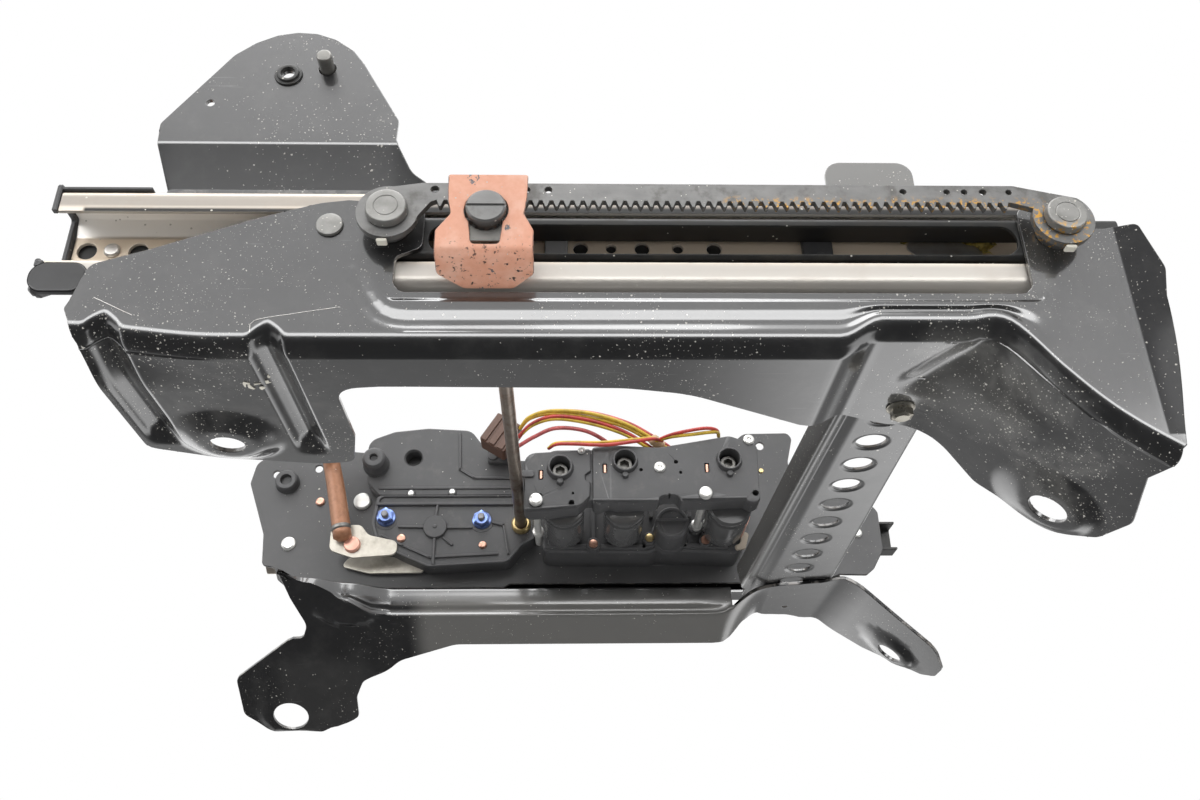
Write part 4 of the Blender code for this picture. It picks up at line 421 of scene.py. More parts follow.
def plasticFinish(name, base, **changes):
    # Moulded plastic with a fine spark-eroded grain, dust in it and rubbed patches.
    look = dict(base, **changes)
    material, tree, shader, where = newMaterial(name)
    tone = mixed(tree, noise(tree, where, 30, 5), rgb(look["dark"]), rgb(look["light"]))
    dust = times(tree, ranged(tree, noise(tree, where, 85, 6, 0.7), 0.5, 0.82), look["dust"])
    tone = mixed(tree, dust, tone, rgb(wearLook["plasticFilm"]))
    spots = specks(tree, where, 480, look["specks"], 0.2)
    tone = mixed(tree, spots, tone, rgb(wearLook["dust"]))
    tree.links.new(tone, shader.inputs["Base Color"])
    rough = scaled(tree, noise(tree, where, 70, 4), 0.18, look["rough"] - 0.09)
    tree.links.new(rough, shader.inputs["Roughness"])
    grain = noise(tree, where, 1500, 2)
    bumpy(tree, shader, maths(tree, "ADD", grain, spots), look["relief"])
    return material


def oxideFinish(name, look):
    # Copper red coating, chipped to grey steel in places and grimy along the lower edge.
    material, tree, shader, where = newMaterial(name)
    fine = noise(tree, where, 220, 6, 0.7)
    tone = mixed(tree, fine, rgb(look["dark"]), rgb(look["light"]))
    pale = ranged(tree, noise(tree, where, 55, 4), 0.45, 0.75)
    tone = mixed(tree, times(tree, pale, 0.35), tone, rgb(look["pale"]))
    chip = ranged(tree, noise(tree, stretched(tree, where, (95, 95, 48)), 1, 5, 0.7), 0.625, 0.65)
    height = addNode(tree, "SeparateXYZ", {0: where}).outputs[2]
    low = ranged(tree, height, look["grimeTop"], look["grimeLow"])
    pits = times(tree, ranged(tree, noise(tree, where, 420, 4, 0.6), 0.59, 0.66), low)
    spots = specks(tree, where, 600, 0.1, 0.26)
    bare = times(tree, edgeMask(tree), ranged(tree, fine, 0.4, 0.6))
    chip = maths(tree, "MAXIMUM", chip, bare)
    tone = mixed(tree, chip, tone, rgb(look["chip"]))
    tone = mixed(tree, pits, tone, rgb(wearLook["pit"]))
    tone = mixed(tree, spots, tone, rgb(wearLook["dust"]))
    tree.links.new(tone, shader.inputs["Base Color"])
    rough = scaled(tree, fine, 0.2, look["rough"])
    tree.links.new(rough, shader.inputs["Roughness"])
    relief = maths(tree, "SUBTRACT", times(tree, fine, 0.3), maths(tree, "MAXIMUM", chip, pits))
    bumpy(tree, shader, relief, 0.00012)
    return material


def wireFinish(name, colour):
    material, tree, shader, where = newMaterial(name)
    dark = tuple(value * 0.6 for value in colour)
    tone = mixed(tree, ranged(tree, noise(tree, where, 120, 4), 0.35, 0.75), rgb(colour), rgb(dark))
    tree.links.new(tone, shader.inputs["Base Color"])
    shader.inputs["Roughness"].default_value = 0.38
    bumpy(tree, shader, noise(tree, where, 500), 0.00006)
    return material


paintLook = {
    "dark": (0.01, 0.01, 0.011), "light": (0.02, 0.02, 0.021), "film": 0.08, "scratch": 0.5, "specks": 0.34,
    "edge": 0.45, "rough": 0.3, "coat": 1, "coatRough": 0.085, "coatIor": 1.9, "peel": 0.2,
    # even: painted sheen, the flange before the right foot painted paler in place of reflected light
    "even": (((160, 10, None), (206, 64, None), 0.22),),
    "haze": (((150, 3, None), (240, 80, None), 0.34), ((-216, 6, None), (-110, 70, None), 0.16),
        ((205, None, 10), (236, 3, 60), 0.22)),
    "dusty": (((130, None, 8), (252, 4, 74), 2.3), ((150, 14, None), (262, 80, 20), 1.5),
        ((None, None, 12), (-60, 4, 60), 0.9)),
    "dull": (((249.5, None, -40), (None, 24, None), 0.92),),
}
hingePaintLook = dict(paintLook, specks=0.26, rough=0.34, coatRough=0.1, edge=0.3,
    haze=(((120, None, 90), (None, None, None), 1), ((120, None, 94), (None, None, None), 1)), even=(),
    dusty=(), dull=())
cleanPaintLook = dict(paintLook, specks=0.05, film=0.06, rough=0.32, edge=0.6, haze=(), even=(), dusty=(),
    dull=())
railLook = {
    "dark": (0.5, 0.44, 0.37), "light": (0.8, 0.75, 0.68), "grain": (6, 420, 420), "stainScale": 38,
    "stain": 0.32, "stainColour": (0.42, 0.29, 0.19), "specks": 0.07, "edge": 0.6, "metal": 0.85,
    "rough": 0.36, "relief": 0.25,
    "patches": (
        # Painted shadow: black bands under the top lip and behind the rack teeth.
        ((-222, None, 73), (None, 12, 77), (0.01, 0.01, 0.01), 1),
        ((-100, None, 73), (None, 12, 78.6), (0.01, 0.01, 0.01), 1),
        ((None, None, 30), (None, 12, 46.5), (0.5, 0.48, 0.45), 0.7),
        ((None, None, 78), (None, 12, 84), (0.3, 0.27, 0.24), 0.75),
        ((None, None, 84.5), (None, 12, None), (0.42, 0.33, 0.25), 0.6),
        # Painted light: the web's own tan made paler inside the rail, where little light reaches.
        ((None, 15, 50), (None, None, 74.5), (0.86, 0.72, 0.56), 0.9),
        # Painted highlight: a near-white glare along the upper web.
        ((None, 15, 75.5), (None, None, None), (1, 0.97, 0.92), 1),
    ),
}
lipLook = dict(railLook, patches=(), dark=(0.5, 0.48, 0.45), light=(0.84, 0.82, 0.79), stain=0.3,
    stainColour=(0.34, 0.24, 0.18), rough=0.32)
zincLook = dict(lipLook, grain=(260, 260, 260), stain=0.25, stainScale=160, metal=0.9, rough=0.34,
    specks=0.03)
rackLook = {
    "dark": (0.11, 0.11, 0.11), "light": (0.24, 0.237, 0.23), "grain": (60, 160, 160), "stainScale": 90,
    "stain": 0.5, "stainColour": (0.045, 0.04, 0.032), "specks": 0.2, "edge": 0.35, "metal": 0.55,
    "rough": 0.42, "relief": 0.3,
}
nickelLook = dict(zincLook, dark=(0.35, 0.33, 0.28), light=(0.6, 0.57, 0.5), stain=0.2, rough=0.28)
blueLook = dict(zincLook, dark=(0.1, 0.16, 0.42), light=(0.3, 0.42, 0.8), stain=0.2, rough=0.3)
copperLook = dict(zincLook, dark=(0.5, 0.25, 0.18), light=(0.78, 0.47, 0.36), stain=0.25, rough=0.36)
rodLook = dict(zincLook, dark=(0.27, 0.115, 0.055), light=(0.5, 0.25, 0.145), stain=0.3,
    stainColour=(0.09, 0.035, 0.02), metal=0.15, rough=0.36)
shaftLook = dict(zincLook, dark=(0.2, 0.15, 0.12), light=(0.5, 0.44, 0.38), stain=0.65,
    stainColour=(0.17, 0.085, 0.055), stainScale=70, rough=0.34)
plasticLook = {"dark": (0.045, 0.045, 0.047), "light": (0.085, 0.085, 0.087), "dust": 0.14, "specks": 0.03,
    "rough": 0.42, "relief": 0.00004}
oxideLook = {
    "dark": (0.7, 0.3, 0.185), "light": (0.88, 0.47, 0.33), "pale": (0.92, 0.68, 0.56),
    "chip": (0.14, 0.14, 0.15),
    "rough": 0.38, "grimeTop": 0.122, "grimeLow": 0.108,
}

finishes = {
    "paint": paintFinish("dustyGlossBlack", paintLook),
    "cleanPaint": paintFinish("glossBlack", cleanPaintLook),
    "hingePaint": paintFinish("satinBlack", hingePaintLook),
    "pinSteel": metalFinish("pinSteel", rackLook, dark=(0.1, 0.1, 0.095), light=(0.3, 0.29, 0.27),
        rough=0.34),
    # The channel's even patch is painted light: its left side wall is painted paler than its paint.
    "channelPaint": paintFinish("channelBlack", cleanPaintLook, specks=0.3, rough=0.36, coatRough=0.14,
        even=(((None, 60, None), (132, 400, None), 0.4),)),
    # The far frame's even patches are painted reflection: its web and lip, and faintly its left foot,
    # painted paler in place of reflected light.
    "farPaint": paintFinish("farBlack", cleanPaintLook, specks=0.1, edge=0.85, coatIor=1.75, coatRough=0.13,
        even=(((-110, None, -60), (135, 398, 6), 0.5), ((-216, 400, None), (-150, None, None), 0.07))),
    "guide": metalFinish("blackenedGuide", rackLook, dark=(0.012, 0.012, 0.012),
        light=(0.035, 0.035, 0.034), metal=0.2, specks=0.06),
    "lugSteel": metalFinish("lugSteel", rackLook, greasy=(((205, None, 44), (240, None, 56)),),
        dark=(0.17, 0.168, 0.16), light=(0.34, 0.335, 0.32), specks=0.45, stain=0.25),
    "carrierPaint": paintFinish("satinCharcoal", cleanPaintLook, dark=(0.045, 0.045, 0.046),
        light=(0.075, 0.075, 0.077), coat=0.22, coatRough=0.25, coatIor=1.5, rough=0.5),
    "glossPlastic": plasticFinish("glossyPlastic", plasticLook, dark=(0.045, 0.045, 0.045),
        light=(0.095, 0.095, 0.097), rough=0.18, dust=0.05, relief=0.00001),
    "paleZinc": metalFinish("paleZinc", zincLook, dark=(0.6, 0.6, 0.58), light=(0.86, 0.86, 0.83),
        stain=0.12, metal=0.6),
    "brightCopper": metalFinish("brightCopper", copperLook, dark=(0.75, 0.36, 0.27),
        light=(0.92, 0.55, 0.44), stain=0.1, metal=0.5),
    "darkStud": metalFinish("darkStud", rackLook, dark=(0.16, 0.16, 0.17), light=(0.34, 0.34, 0.36),
        specks=0.05),
    "beige": plasticFinish("beigePlastic", plasticLook, dark=(0.3, 0.25, 0.19), light=(0.48, 0.42, 0.34)),
    "beigeSteel": metalFinish("beigeSteel", zincLook, dark=(0.4, 0.37, 0.31), light=(0.66, 0.63, 0.56),
        stain=0.5, stainColour=(0.22, 0.19, 0.15), stainScale=70, metal=0.5),
    "tape": plasticFinish("harnessTape", plasticLook, dark=(0.42, 0.26, 0.14), light=(0.66, 0.46, 0.28),
        rough=0.35),
    "gold": metalFinish("goldPassivate", zincLook, dark=(0.5, 0.36, 0.14), light=(0.8, 0.64, 0.34),
        stain=0.2),
    "greyBlock": plasticFinish("greyPlastic", plasticLook, dark=(0.22, 0.22, 0.22),
        light=(0.34, 0.34, 0.34)),
    "foil": metalFinish("yellowFoil", zincLook, dark=(0.42, 0.3, 0.06), light=(0.8, 0.62, 0.18), stain=0.95,
        stainColour=(0.02, 0.02, 0.02), stainScale=260, metal=0.6),
    "rail": metalFinish("agedRailSteel", railLook),
    "lip": metalFinish("drawnLipSteel", lipLook),
    "zinc": metalFinish("satinZinc", zincLook),
    "rack": metalFinish("phosphatedSteel", rackLook,
        greasy=(((70, None, 60), (214, None, 71.5)), ((205, None, 44), (240, None, 62)))),
    "dustyTab": paintFinish("dustyTab", hingePaintLook, dark=(0.1, 0.1, 0.098), light=(0.24, 0.235, 0.22),
        specks=0.5, haze=()),
    "nickel": metalFinish("warmNickel", nickelLook),
    "blue": metalFinish("blueZinc", blueLook),
    "flake": plasticFinish("paleFlake", plasticLook, dark=(0.62, 0.59, 0.5), light=(0.86, 0.83, 0.74),
        dust=0),
    "copper": metalFinish("copperPlate", copperLook),
    "rod": metalFinish("brownRod", rodLook),
    "shaft": metalFinish("stainedShaft", shaftLook),
    "plastic": plasticFinish("charcoalPlastic", plasticLook),
    "brownPlastic": plasticFinish("brownPlastic", plasticLook, dark=(0.085, 0.042, 0.028),
        light=(0.16, 0.085, 0.058)),
    "oxide": oxideFinish("copperRedCoat", oxideLook),
    "yellowWire": wireFinish("yellowWire", (0.74, 0.5, 0.05)),
    "redWire": wireFinish("redWire", (0.58, 0.06, 0.05)),
    "pinkWire": wireFinish("pinkWire", (0.72, 0.16, 0.16)),
}
print("finishes ready:", len(finishes))


# Flat outlines

def arcCorner(corner, before, after, radius, steps):
    half = before.angle(after) / 2
    if half > math.radians(89.5):
        return [tuple(corner)]
    reach = radius / math.tan(half)
    longest = min(before.length, after.length) * 0.48
    if reach > longest:
        reach = longest
        radius = reach * math.tan(half)
    start = corner + before.normalized() * reach
    end = corner + after.normalized() * reach
    middle = (before.normalized() + after.normalized()).normalized()
    centre = corner + middle * (radius / math.sin(half))
    first = start - centre
    sweep = first.angle_signed(end - centre)
    made = []
    for step in range(steps + 1):
        turn = -sweep * step / steps
        made.append((
            centre.x + first.x * math.cos(turn) - first.y * math.sin(turn),
            centre.y + first.x * math.sin(turn) + first.y * math.cos(turn),
        ))
    return made


def roundLoop(points, steps=6, least=0):
    # Each point is (a, b) or (a, b, radius), round the loop.
    made = []
    count = len(points)
    for index, point in enumerate(points):
        corner = Vector(point[:2])
        radius = max(point[2] if len(point) > 2 else 0, least)
        if radius <= 0:
            made.append(tuple(corner))
            continue
        before = Vector(points[index - 1][:2]) - corner
        after = Vector(points[(index + 1) % count][:2]) - corner
        made.extend(arcCorner(corner, before, after, radius, steps))
    return made


def ellipseLoop(centreA, centreB, radiusA, radiusB=None, count=32):
    radiusB = radiusA if radiusB is None else radiusB
    angles = [2 * math.pi * step / count for step in range(count)]
    return [(centreA + radiusA * math.cos(angle), centreB + radiusB * math.sin(angle)) for angle in angles]


def spaced(low, high, step):
    count = max(1, round((high - low) / step))
    return [low + (high - low) * index / count for index in range(count + 1)]


def insideLoops(points, loops):
    crossings = np.zeros(len(points), int)
    a, b = points[:, 0], points[:, 1]
    for loop in loops:
        for index in range(len(loop)):
            a1, b1 = loop[index - 1]
            a2, b2 = loop[index]
            if b1 == b2:
                continue
            hit = ((b1 > b) != (b2 > b)) & (a < a1 + (b - b1) * (a2 - a1) / (b2 - b1))
            crossings += hit
    return crossings % 2 == 1


def netOf(loops, linesA=(), linesB=(), rings=()):
    # Triangles inside the outline and outside the holes, cut along the given lines and rings.
    points = []
    edges = []
    for loop in list(loops) + list(rings):
        first = len(points)
        points.extend(Vector(point) for point in loop)
        edges.extend((first + i, first + (i + 1) % len(loop)) for i in range(len(loop)))
    outline = np.array(loops[0])
    low = outline.min(0) - 1
    high = outline.max(0) + 1
    for value in linesA:
        points.extend((Vector((value, low[1])), Vector((value, high[1]))))
        edges.append((len(points) - 2, len(points) - 1))
    for value in linesB:
        points.extend((Vector((low[0], value)), Vector((high[0], value))))
        edges.append((len(points) - 2, len(points) - 1))
    found, _, faces, _, _, _ = delaunay_2d_cdt(points, edges, [], 0, 0.02)
    flat = np.array([tuple(point) for point in found])
    corners = np.array([tuple(face) for face in faces])
    keep = insideLoops(flat[corners].mean(1), loops)
    corners = corners[keep]
    one, two, three = (flat[corners[:, i]] for i in range(3))
    area = (two[:, 0] - one[:, 0]) * (three[:, 1] - one[:, 1]) - (two[:, 1] - one[:, 1]) * (three[:, 0]
        - one[:, 0])
    corners = corners[np.abs(area) > 1e-5]
    area = area[np.abs(area) > 1e-5]
    corners[area < 0] = corners[area < 0][:, ::-1]
    used = np.unique(corners)
    slot = np.full(len(flat), -1)
    slot[used] = np.arange(len(used))
    return flat[used], slot[corners]


def rimEdges(corners):
    seen = {}
    for face in corners:
        for i in range(3):
            seen[(int(face[i]), int(face[(i + 1) % 3]))] = True
    return [(a, b) for a, b in seen if (b, a) not in seen]


# Solid pieces

def newObject(name, points, faces, finish):
    mesh = bpy.data.meshes.new(name)
    mesh.from_pydata([(Vector(point) + trackShift) * mm for point in points], [], faces)
    made = bpy.data.objects.new(name, mesh)
    bpy.context.scene.collection.objects.link(made)
    mesh.materials.append(finishes[finish])
    return made


def putOn(piece, body, slot, *replaced):
    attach(piece, body)
    if replaced:
        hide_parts(*replaced)
    return piece


def sheetPiece(name, loops, linesA, linesB, place, thickness, finish, rings=(), rim=0.4):
    # A pressed sheet with rounded cut edges; place() gives the outer face, the sheet grows along a x b.
    flat, corners = netOf(loops, linesA, linesB, rings)
    edges = rimEdges(corners)
    pulls = {}
    for a, b in edges:
        run = Vector(flat[b] - flat[a]).normalized()
        inward = Vector((-run.y, run.x))
        pulls.setdefault(a, [None, None])[1] = inward
        pulls.setdefault(b, [None, None])[0] = inward
    count = len(flat)

    def surface(a, b):
        step = 0.05
        alongA = place(a + step, b) - place(a - step, b)
        alongB = place(a, b + step) - place(a, b - step)
        normal = alongA.cross(alongB).normalized()
        return place(a, b), normal, alongA.normalized(), alongB.normalized()

    outer = []
    inner = []
    normals = []
    moved = flat.copy()
    for index, (one, two) in pulls.items():
        one = one or two
        two = two or one
        total = one + two
        scale = rim / max(0.35, total.length_squared / 2) if total.length > 0.01 else 0
        moved[index] = flat[index] + np.array(total) * scale
    for index in range(count):
        point, normal, _, _ = surface(*moved[index])
        outer.append(point)
        inner.append(point + normal * thickness)
        normals.append(normal * (-1 if thickness > 0 else 1))
    points = outer + inner
    ring = {}
    depth = rim * (1 if thickness > 0 else -1)
    for index in pulls:
        point, normal, alongA, alongB = surface(*flat[index])
        ring[index] = (len(points), alongA, alongB)
        points.append(point + normal * depth)
        points.append(point + normal * (thickness - depth))
    faces = []
    shading = []
    for a, b, c in corners.tolist():
        faces.append((a, b, c))
        shading.extend((normals[a], normals[b], normals[c]))
        faces.append((c + count, b + count, a + count))
        shading.extend((-normals[c], -normals[b], -normals[a]))

    def outward(index, inward, other):
        if other is not None and inward.angle(other) < math.radians(40):
            inward = (inward + other).normalized()
        _, alongA, alongB = ring[index]
        return -(alongA * inward.x + alongB * inward.y).normalized()

    for a, b in edges:
        run = Vector(flat[b] - flat[a]).normalized()
        inward = Vector((-run.y, run.x))
        sideA = outward(a, inward, pulls[a][0])
        sideB = outward(b, inward, pulls[b][1])
        ra, rb = ring[a][0], ring[b][0]
        faces.append((b, a, ra, rb))
        shading.extend((normals[b], normals[a], sideA, sideB))
        faces.append((rb, ra, ra + 1, rb + 1))
        shading.extend((sideB, sideA, sideA, sideB))
        faces.append((rb + 1, ra + 1, a + count, b + count))
        shading.extend((sideB, sideA, -normals[a], -normals[b]))
    if thickness > 0:
        flipped = []
        start = 0
        turned = []
        for face in faces:
            flipped.append(tuple(reversed(face)))
            turned.extend(reversed(shading[start:start + len(face)]))
            start += len(face)
        faces, shading = flipped, turned
    made = newObject(name, points, faces, finish)
    mesh = made.data
    mesh.shade_smooth()
    mesh.normals_split_custom_set([tuple(normal) for normal in shading])
    mask = mesh.attributes.new("rim", "FLOAT", "POINT")
    values = np.zeros(len(points), np.float32)
    values[2 * count:] = 1
    mask.data.foreach_set("value", values)
    return made


def platePiece(name, loops, low, high, finish, rim=0.4, axis="Y"):
    # A flat outline pushed straight through, with rounded edges.
    def place(a, b):
        return Vector((a, low, b)) if axis == "Y" else Vector((low, a, b))

    turn = -1 if axis == "Y" else 1
    return sheetPiece(name, loops, (), (), place, turn * (high - low), finish, rim=rim)


def lathePiece(name, profile, centre, finish, axis="Y", count=40, ring=False, steps=3):
    # profile holds (place along the axis, radius[, corner radius[, "hex"]]).
    rows = []
    last = len(profile) - 1
    for index, entry in enumerate(profile):
        corner = Vector(entry[:2])
        radius = entry[2] if len(entry) > 2 else 0
        hexed = len(entry) > 3
        if radius > 0 and (ring or 0 < index < last):
            before = Vector(profile[index - 1][:2]) - corner
            after = Vector(profile[(index + 1) % len(profile)][:2]) - corner
            rows.extend((point, hexed) for point in arcCorner(corner, before, after, radius, steps))
        else:
            rows.append((tuple(corner), hexed))
    points = []
    lines = []
    for (place, radius), hexed in rows:
        if radius < 1e-6:
            lines.append([len(points)])
            points.append(spun(place, 0, 0, centre, axis))
            continue
        lines.append([])
        for step in range(count):
            angle = 2 * math.pi * step / count
            lines[-1].append(len(points))
            points.append(spun(place, radius * (hexReach(angle) if hexed else 1), angle, centre, axis))
    pairs = list(zip(lines, lines[1:]))
    if ring:
        pairs.append((lines[-1], lines[0]))
    faces = []
    for lower, upper in pairs:
        for step in range(count):
            after = (step + 1) % count
            if len(lower) == 1 and len(upper) == 1:
                continue
            if len(lower) == 1:
                faces.append((lower[0], upper[step], upper[after]))
            elif len(upper) == 1:
                faces.append((lower[step], lower[after], upper[0]))
            else:
                faces.append((lower[step], lower[after], upper[after], upper[step]))
    made = newObject(name, points, faces, finish)
    settle(made)
    return made


def hexReach(angle):
    return 1 / math.cos((angle + math.pi / 6) % (math.pi / 3) - math.pi / 6)


def spun(place, radius, angle, centre, axis):
    across = radius * math.cos(angle)
    up = radius * math.sin(angle)
    if axis == "Y":
        return Vector((centre[0] + across, place, centre[1] + up))
    if axis == "X":
        return Vector((place, centre[0] + across, centre[1] + up))
    return Vector((centre[0] + across, centre[1] + up, place))


smoothBelow = 34  # degrees between two faces that are shaded as one


def settle(piece, angle=smoothBelow):
    # Faces outward, smooth between near-level faces.
    work = bmesh.new()
    work.from_mesh(piece.data)
    bmesh.ops.recalc_face_normals(work, faces=work.faces)
    if work.calc_volume(signed=True) < 0:
        bmesh.ops.reverse_faces(work, faces=work.faces)
    work.to_mesh(piece.data)
    work.free()
    piece.data.shade_smooth()
    piece.data.set_sharp_from_angle(angle=math.radians(angle))


def applyModifiers(target):
    bpy.context.view_layer.update()
    seen = target.evaluated_get(bpy.context.evaluated_depsgraph_get())
    mesh = bpy.data.meshes.new_from_object(seen)
    target.modifiers.clear()
    target.data = mesh


def fused(target, others, operation="UNION"):
    # Joins or cuts mouldings for good, so that one closed skin is left.
    for other in others:
        step = target.modifiers.new("fuse", "BOOLEAN")
        step.operation = operation
        step.solver = "EXACT"
        step.object = other
    applyModifiers(target)
    for other in others:
        bpy.data.objects.remove(other, do_unlink=True)
    return evened(target)


def evened(target):
    # Wide faces are shaded flat and only their rounded rims turn.
    target.data.shade_smooth()
    target.data.set_sharp_from_angle(angle=math.radians(smoothBelow))
    step = target.modifiers.new("even", "WEIGHTED_NORMAL")
    step.weight = 100
    step.keep_sharp = True
    applyModifiers(target)
    return target


def joined(name, pieces):
    # Several closed bodies kept in one mesh.
    points = []
    faces = []
    for piece in pieces:
        start = len(points)
        points.extend(vertex.co.copy() for vertex in piece.data.vertices)
        for face in piece.data.polygons:
            faces.append([start + index for index in face.vertices])
    made = pieces[0]
    mesh = bpy.data.meshes.new(name)
    mesh.from_pydata(points, [], faces)
    mesh.materials.append(made.data.materials[0])
    made.data = mesh
    made.name = name
    for piece in pieces[1:]:
        bpy.data.objects.remove(piece, do_unlink=True)
    return evened(made)


class BentPath:
    # A bent sheet's section: a path with rounded corners, read by the length along it.
    def __init__(self, points, steps=8):
        path = [Vector(points[0][:2])]
        for before, point, after in zip(points, points[1:], points[2:]):
            corner = Vector(point[:2])
            radius = point[2] if len(point) > 2 else 0
            if radius > 0:
                left = Vector(before[:2]) - corner
                right = Vector(after[:2]) - corner
                path.extend(Vector(p) for p in arcCorner(corner, left, right, radius, steps))
            else:
                path.append(corner)
        path.append(Vector(points[-1][:2]))
        self.path = path
        self.marks = [0]
        for one, two in zip(path, path[1:]):
            self.marks.append(self.marks[-1] + (two - one).length)
        self.length = self.marks[-1]

    def at(self, length):
        marks = self.marks
        index = 0
        while index < len(marks) - 2 and length > marks[index + 1]:
            index += 1
        share = (length - marks[index]) / (marks[index + 1] - marks[index])
        return self.path[index].lerp(self.path[index + 1], share)

    def bends(self):
        return list(self.marks[1:-1])

    def near(self, a, b):
        # The length along the path at its nearest point to a place.
        spot = Vector((a, b))
        best = (1e9, 0)
        for one, two, mark in zip(self.path, self.path[1:], self.marks):
            run = two - one
            share = min(max((spot - one).dot(run) / max(run.length_squared, 1e-9), 0), 1)
            best = min(best, ((one + run * share - spot).length, mark + run.length * share))
        return best[1]


def smoothed(value):
    value = min(max(value, 0), 1)
    return value * value * (3 - 2 * value)


def ramp(value, low, high):
    return smoothed((value - low) / (high - low))


def levelBetween(value, table):
    if value <= table[0][0]:
        return table[0][1]
    for (x1, level1), (x2, level2) in zip(table, table[1:]):
        if value <= x2:
            return level1 + (level2 - level1) * smoothed((value - x1) / (x2 - x1))
    return table[-1][1]


def softBetween(value, table, reach):
    # Straight runs between the points of a table, rounded over the reach.
    xs = [x for x, _ in table]
    levels = [level for _, level in table]
    spots = [value + reach * step / 4 for step in range(-4, 5)]
    return float(np.mean(np.interp(spots, xs, levels)))


def lowerOf(one, two, blend):
    share = min(max(0.5 + 0.5 * (two - one) / blend, 0), 1)
    return one * share + two * (1 - share) - blend * share * (1 - share)


def ringDish(distance, flat, rim, depth):
    return -depth * (1 - ramp(distance, flat, rim))


def pathDistance(a, b, path):
    best = 1e9
    for (a1, b1), (a2, b2) in zip(path, path[1:]):
        runA, runB = a2 - a1, b2 - b1
        share = min(max(((a - a1) * runA + (b - b1) * runB) / (runA * runA + runB * runB), 0), 1)
        best = min(best, math.hypot(a1 + runA * share - a, b1 + runB * share - b))
    return best


# Near side frame

nearFrame = {
    "sheet": 2.5, "bend": 9, "wallFade": 25, "footSlope": 38,
    "leftFoot": (-167.8, 84.6), "leftHole": 8.4, "leftFlat": 13, "leftDish": 29, "leftDepth": 5,
    "rightFoot": (231.6, 85, -34.8), "rightHole": 9.5, "rightFlat": 12.5, "rightDish": 29, "rightDepth": 5,
    "bendTable": ((117, 0), (137, 9), (189, 9), (200, 0), (210, -12), (226, -31), (240, -43), (262, -58)),
    "darts": ((-200, 9.5, 95), (-130, 9, 107)), "dartHeight": 7.5, "ridge": ((196, -4), (168, 44), 17, 3.4),
    "window": (-78, 207, 30, 6), "beadDepth": 0.85, "beadWidth": 6.2,
    "bead": (
        (-94, 56), (-92.3, 37), (-90.2, 29), (-87.3, 23), (-83.2, 18.3), (-78, 15.6), (-72, 14.6),
        (206, 15.4), (213, 17.6), (219, 22),
    ),
    "seatTable": ((117, 0), (137, 9)), "bendFrom": 150, "bendReach": 46, "bendBlend": 7,
    "leftLift": (6, (150, 218), (2, 38)),  # height, reach to the left and back
    "crease": (246, 249), "creaseTop": 64, "creaseTurn": 22,
    "ledge": 0.7, "dimple": (-97, 41, 4, 0.22), "net": 3.2,
    "runs": (  # net lines along the length, closer where the form turns
        (-216, -188, 1.6), (-185, -143, None), (-141, -119, 1.6), (-116, -104, None),
        (-102, -80, 1.1), (-77, 200, None), (201.5, 221, 1.5), (224, 262, None),
    ),
}
bendArc = nearFrame["bend"] * math.pi / 2


def wallRow(z):
    return -(z - nearFrame["bend"]) - bendArc / 2


def flangeRow(y):
    return (y - nearFrame["bend"]) + bendArc / 2


def flangeLevel(x, y):
    look = nearFrame
    base = levelBetween(x, look["seatTable"])
    slope = math.tan(math.radians(look["footSlope"]))
    footX, footY, footZ = look["rightFoot"]
    level = lowerOf(base, footZ - slope * (x - footX), 8)
    if x > look["bendFrom"]:
        away = ramp(y, 0, look["bendReach"])
        level = level * away + softBetween(x, look["bendTable"], look["bendBlend"]) * (1 - away)
    (x1, y1), (x2, y2), half, high = look["ridge"]
    level += high * (1 - ramp(pathDistance(x, y, ((x1, y1), (x2, y2))), 0, half))
    lift, reachX, reachY = look["leftLift"]
    level += lift * ramp(-x, *reachX) * (1 - ramp(y, *reachY))
    for middle, half, reach in look["darts"]:
        across = max(1 - math.sqrt(((x - middle) / half) ** 2 + 0.02) + 0.05, 0)
        across *= 1 - ramp(abs(x - middle), half * 0.6, half * 1.1)
        along = 1 - ramp(y, reach - 16, reach)
        level += look["dartHeight"] * across * along
    fromLeft = math.hypot(x - look["leftFoot"][0], y - look["leftFoot"][1])
    level += ringDish(fromLeft, look["leftFlat"], look["leftDish"], look["leftDepth"])
    stretch = math.cos(math.radians(look["footSlope"]))
    fromRight = math.hypot((x - footX) / stretch, y - footY)
    level += ringDish(fromRight, look["rightFlat"], look["rightDish"], look["rightDepth"])
    return level


def nearFramePoint(x, row):
    look = nearFrame
    bend = look["bend"]
    half = bendArc / 2
    if row > half:
        y = bend + (row - half)
        return Vector((x, y, flangeLevel(x, y)))
    if row > -half:
        turn = (row + half) / bend
        y = bend * (1 - math.cos(turn))
        return Vector((x, y, bend * (1 - math.sin(turn)) + flangeLevel(x, 0)))
    z = bend - half - row
    fade = min(max((look["wallFade"] - z) / (look["wallFade"] - bend), 0), 1)
    top, foot = look["crease"]
    crease = foot + (top - foot) * min(max(z / look["creaseTop"], 0), 1)
    lean = math.tan(math.radians(look["creaseTurn"])) * max(x - crease, 0) * ramp(z, bend, 24)
    depth = look["beadDepth"] * (1 - ramp(pathDistance(x, z, look["bead"]), 0, look["beadWidth"]))
    depth *= (1 - ramp(z, 24, 46)) * (1 - ramp(x, 196, 214))
    left, right, sill, _ = look["window"]
    outside = math.hypot(max(left - x, 0, x - right), max(sill - z, 0))
    if z < sill + 1:
        depth += look["ledge"] * (1 - ramp(outside, 3, 5.6)) * ramp(x, left - 5, left + 2)
    dimpleX, dimpleZ, reach, sink = look["dimple"]
    depth += sink * (1 - ramp(math.hypot(x - dimpleX, z - dimpleZ), 0.4, reach))
    return Vector((x, depth - lean, z + flangeLevel(x, 0) * fade))


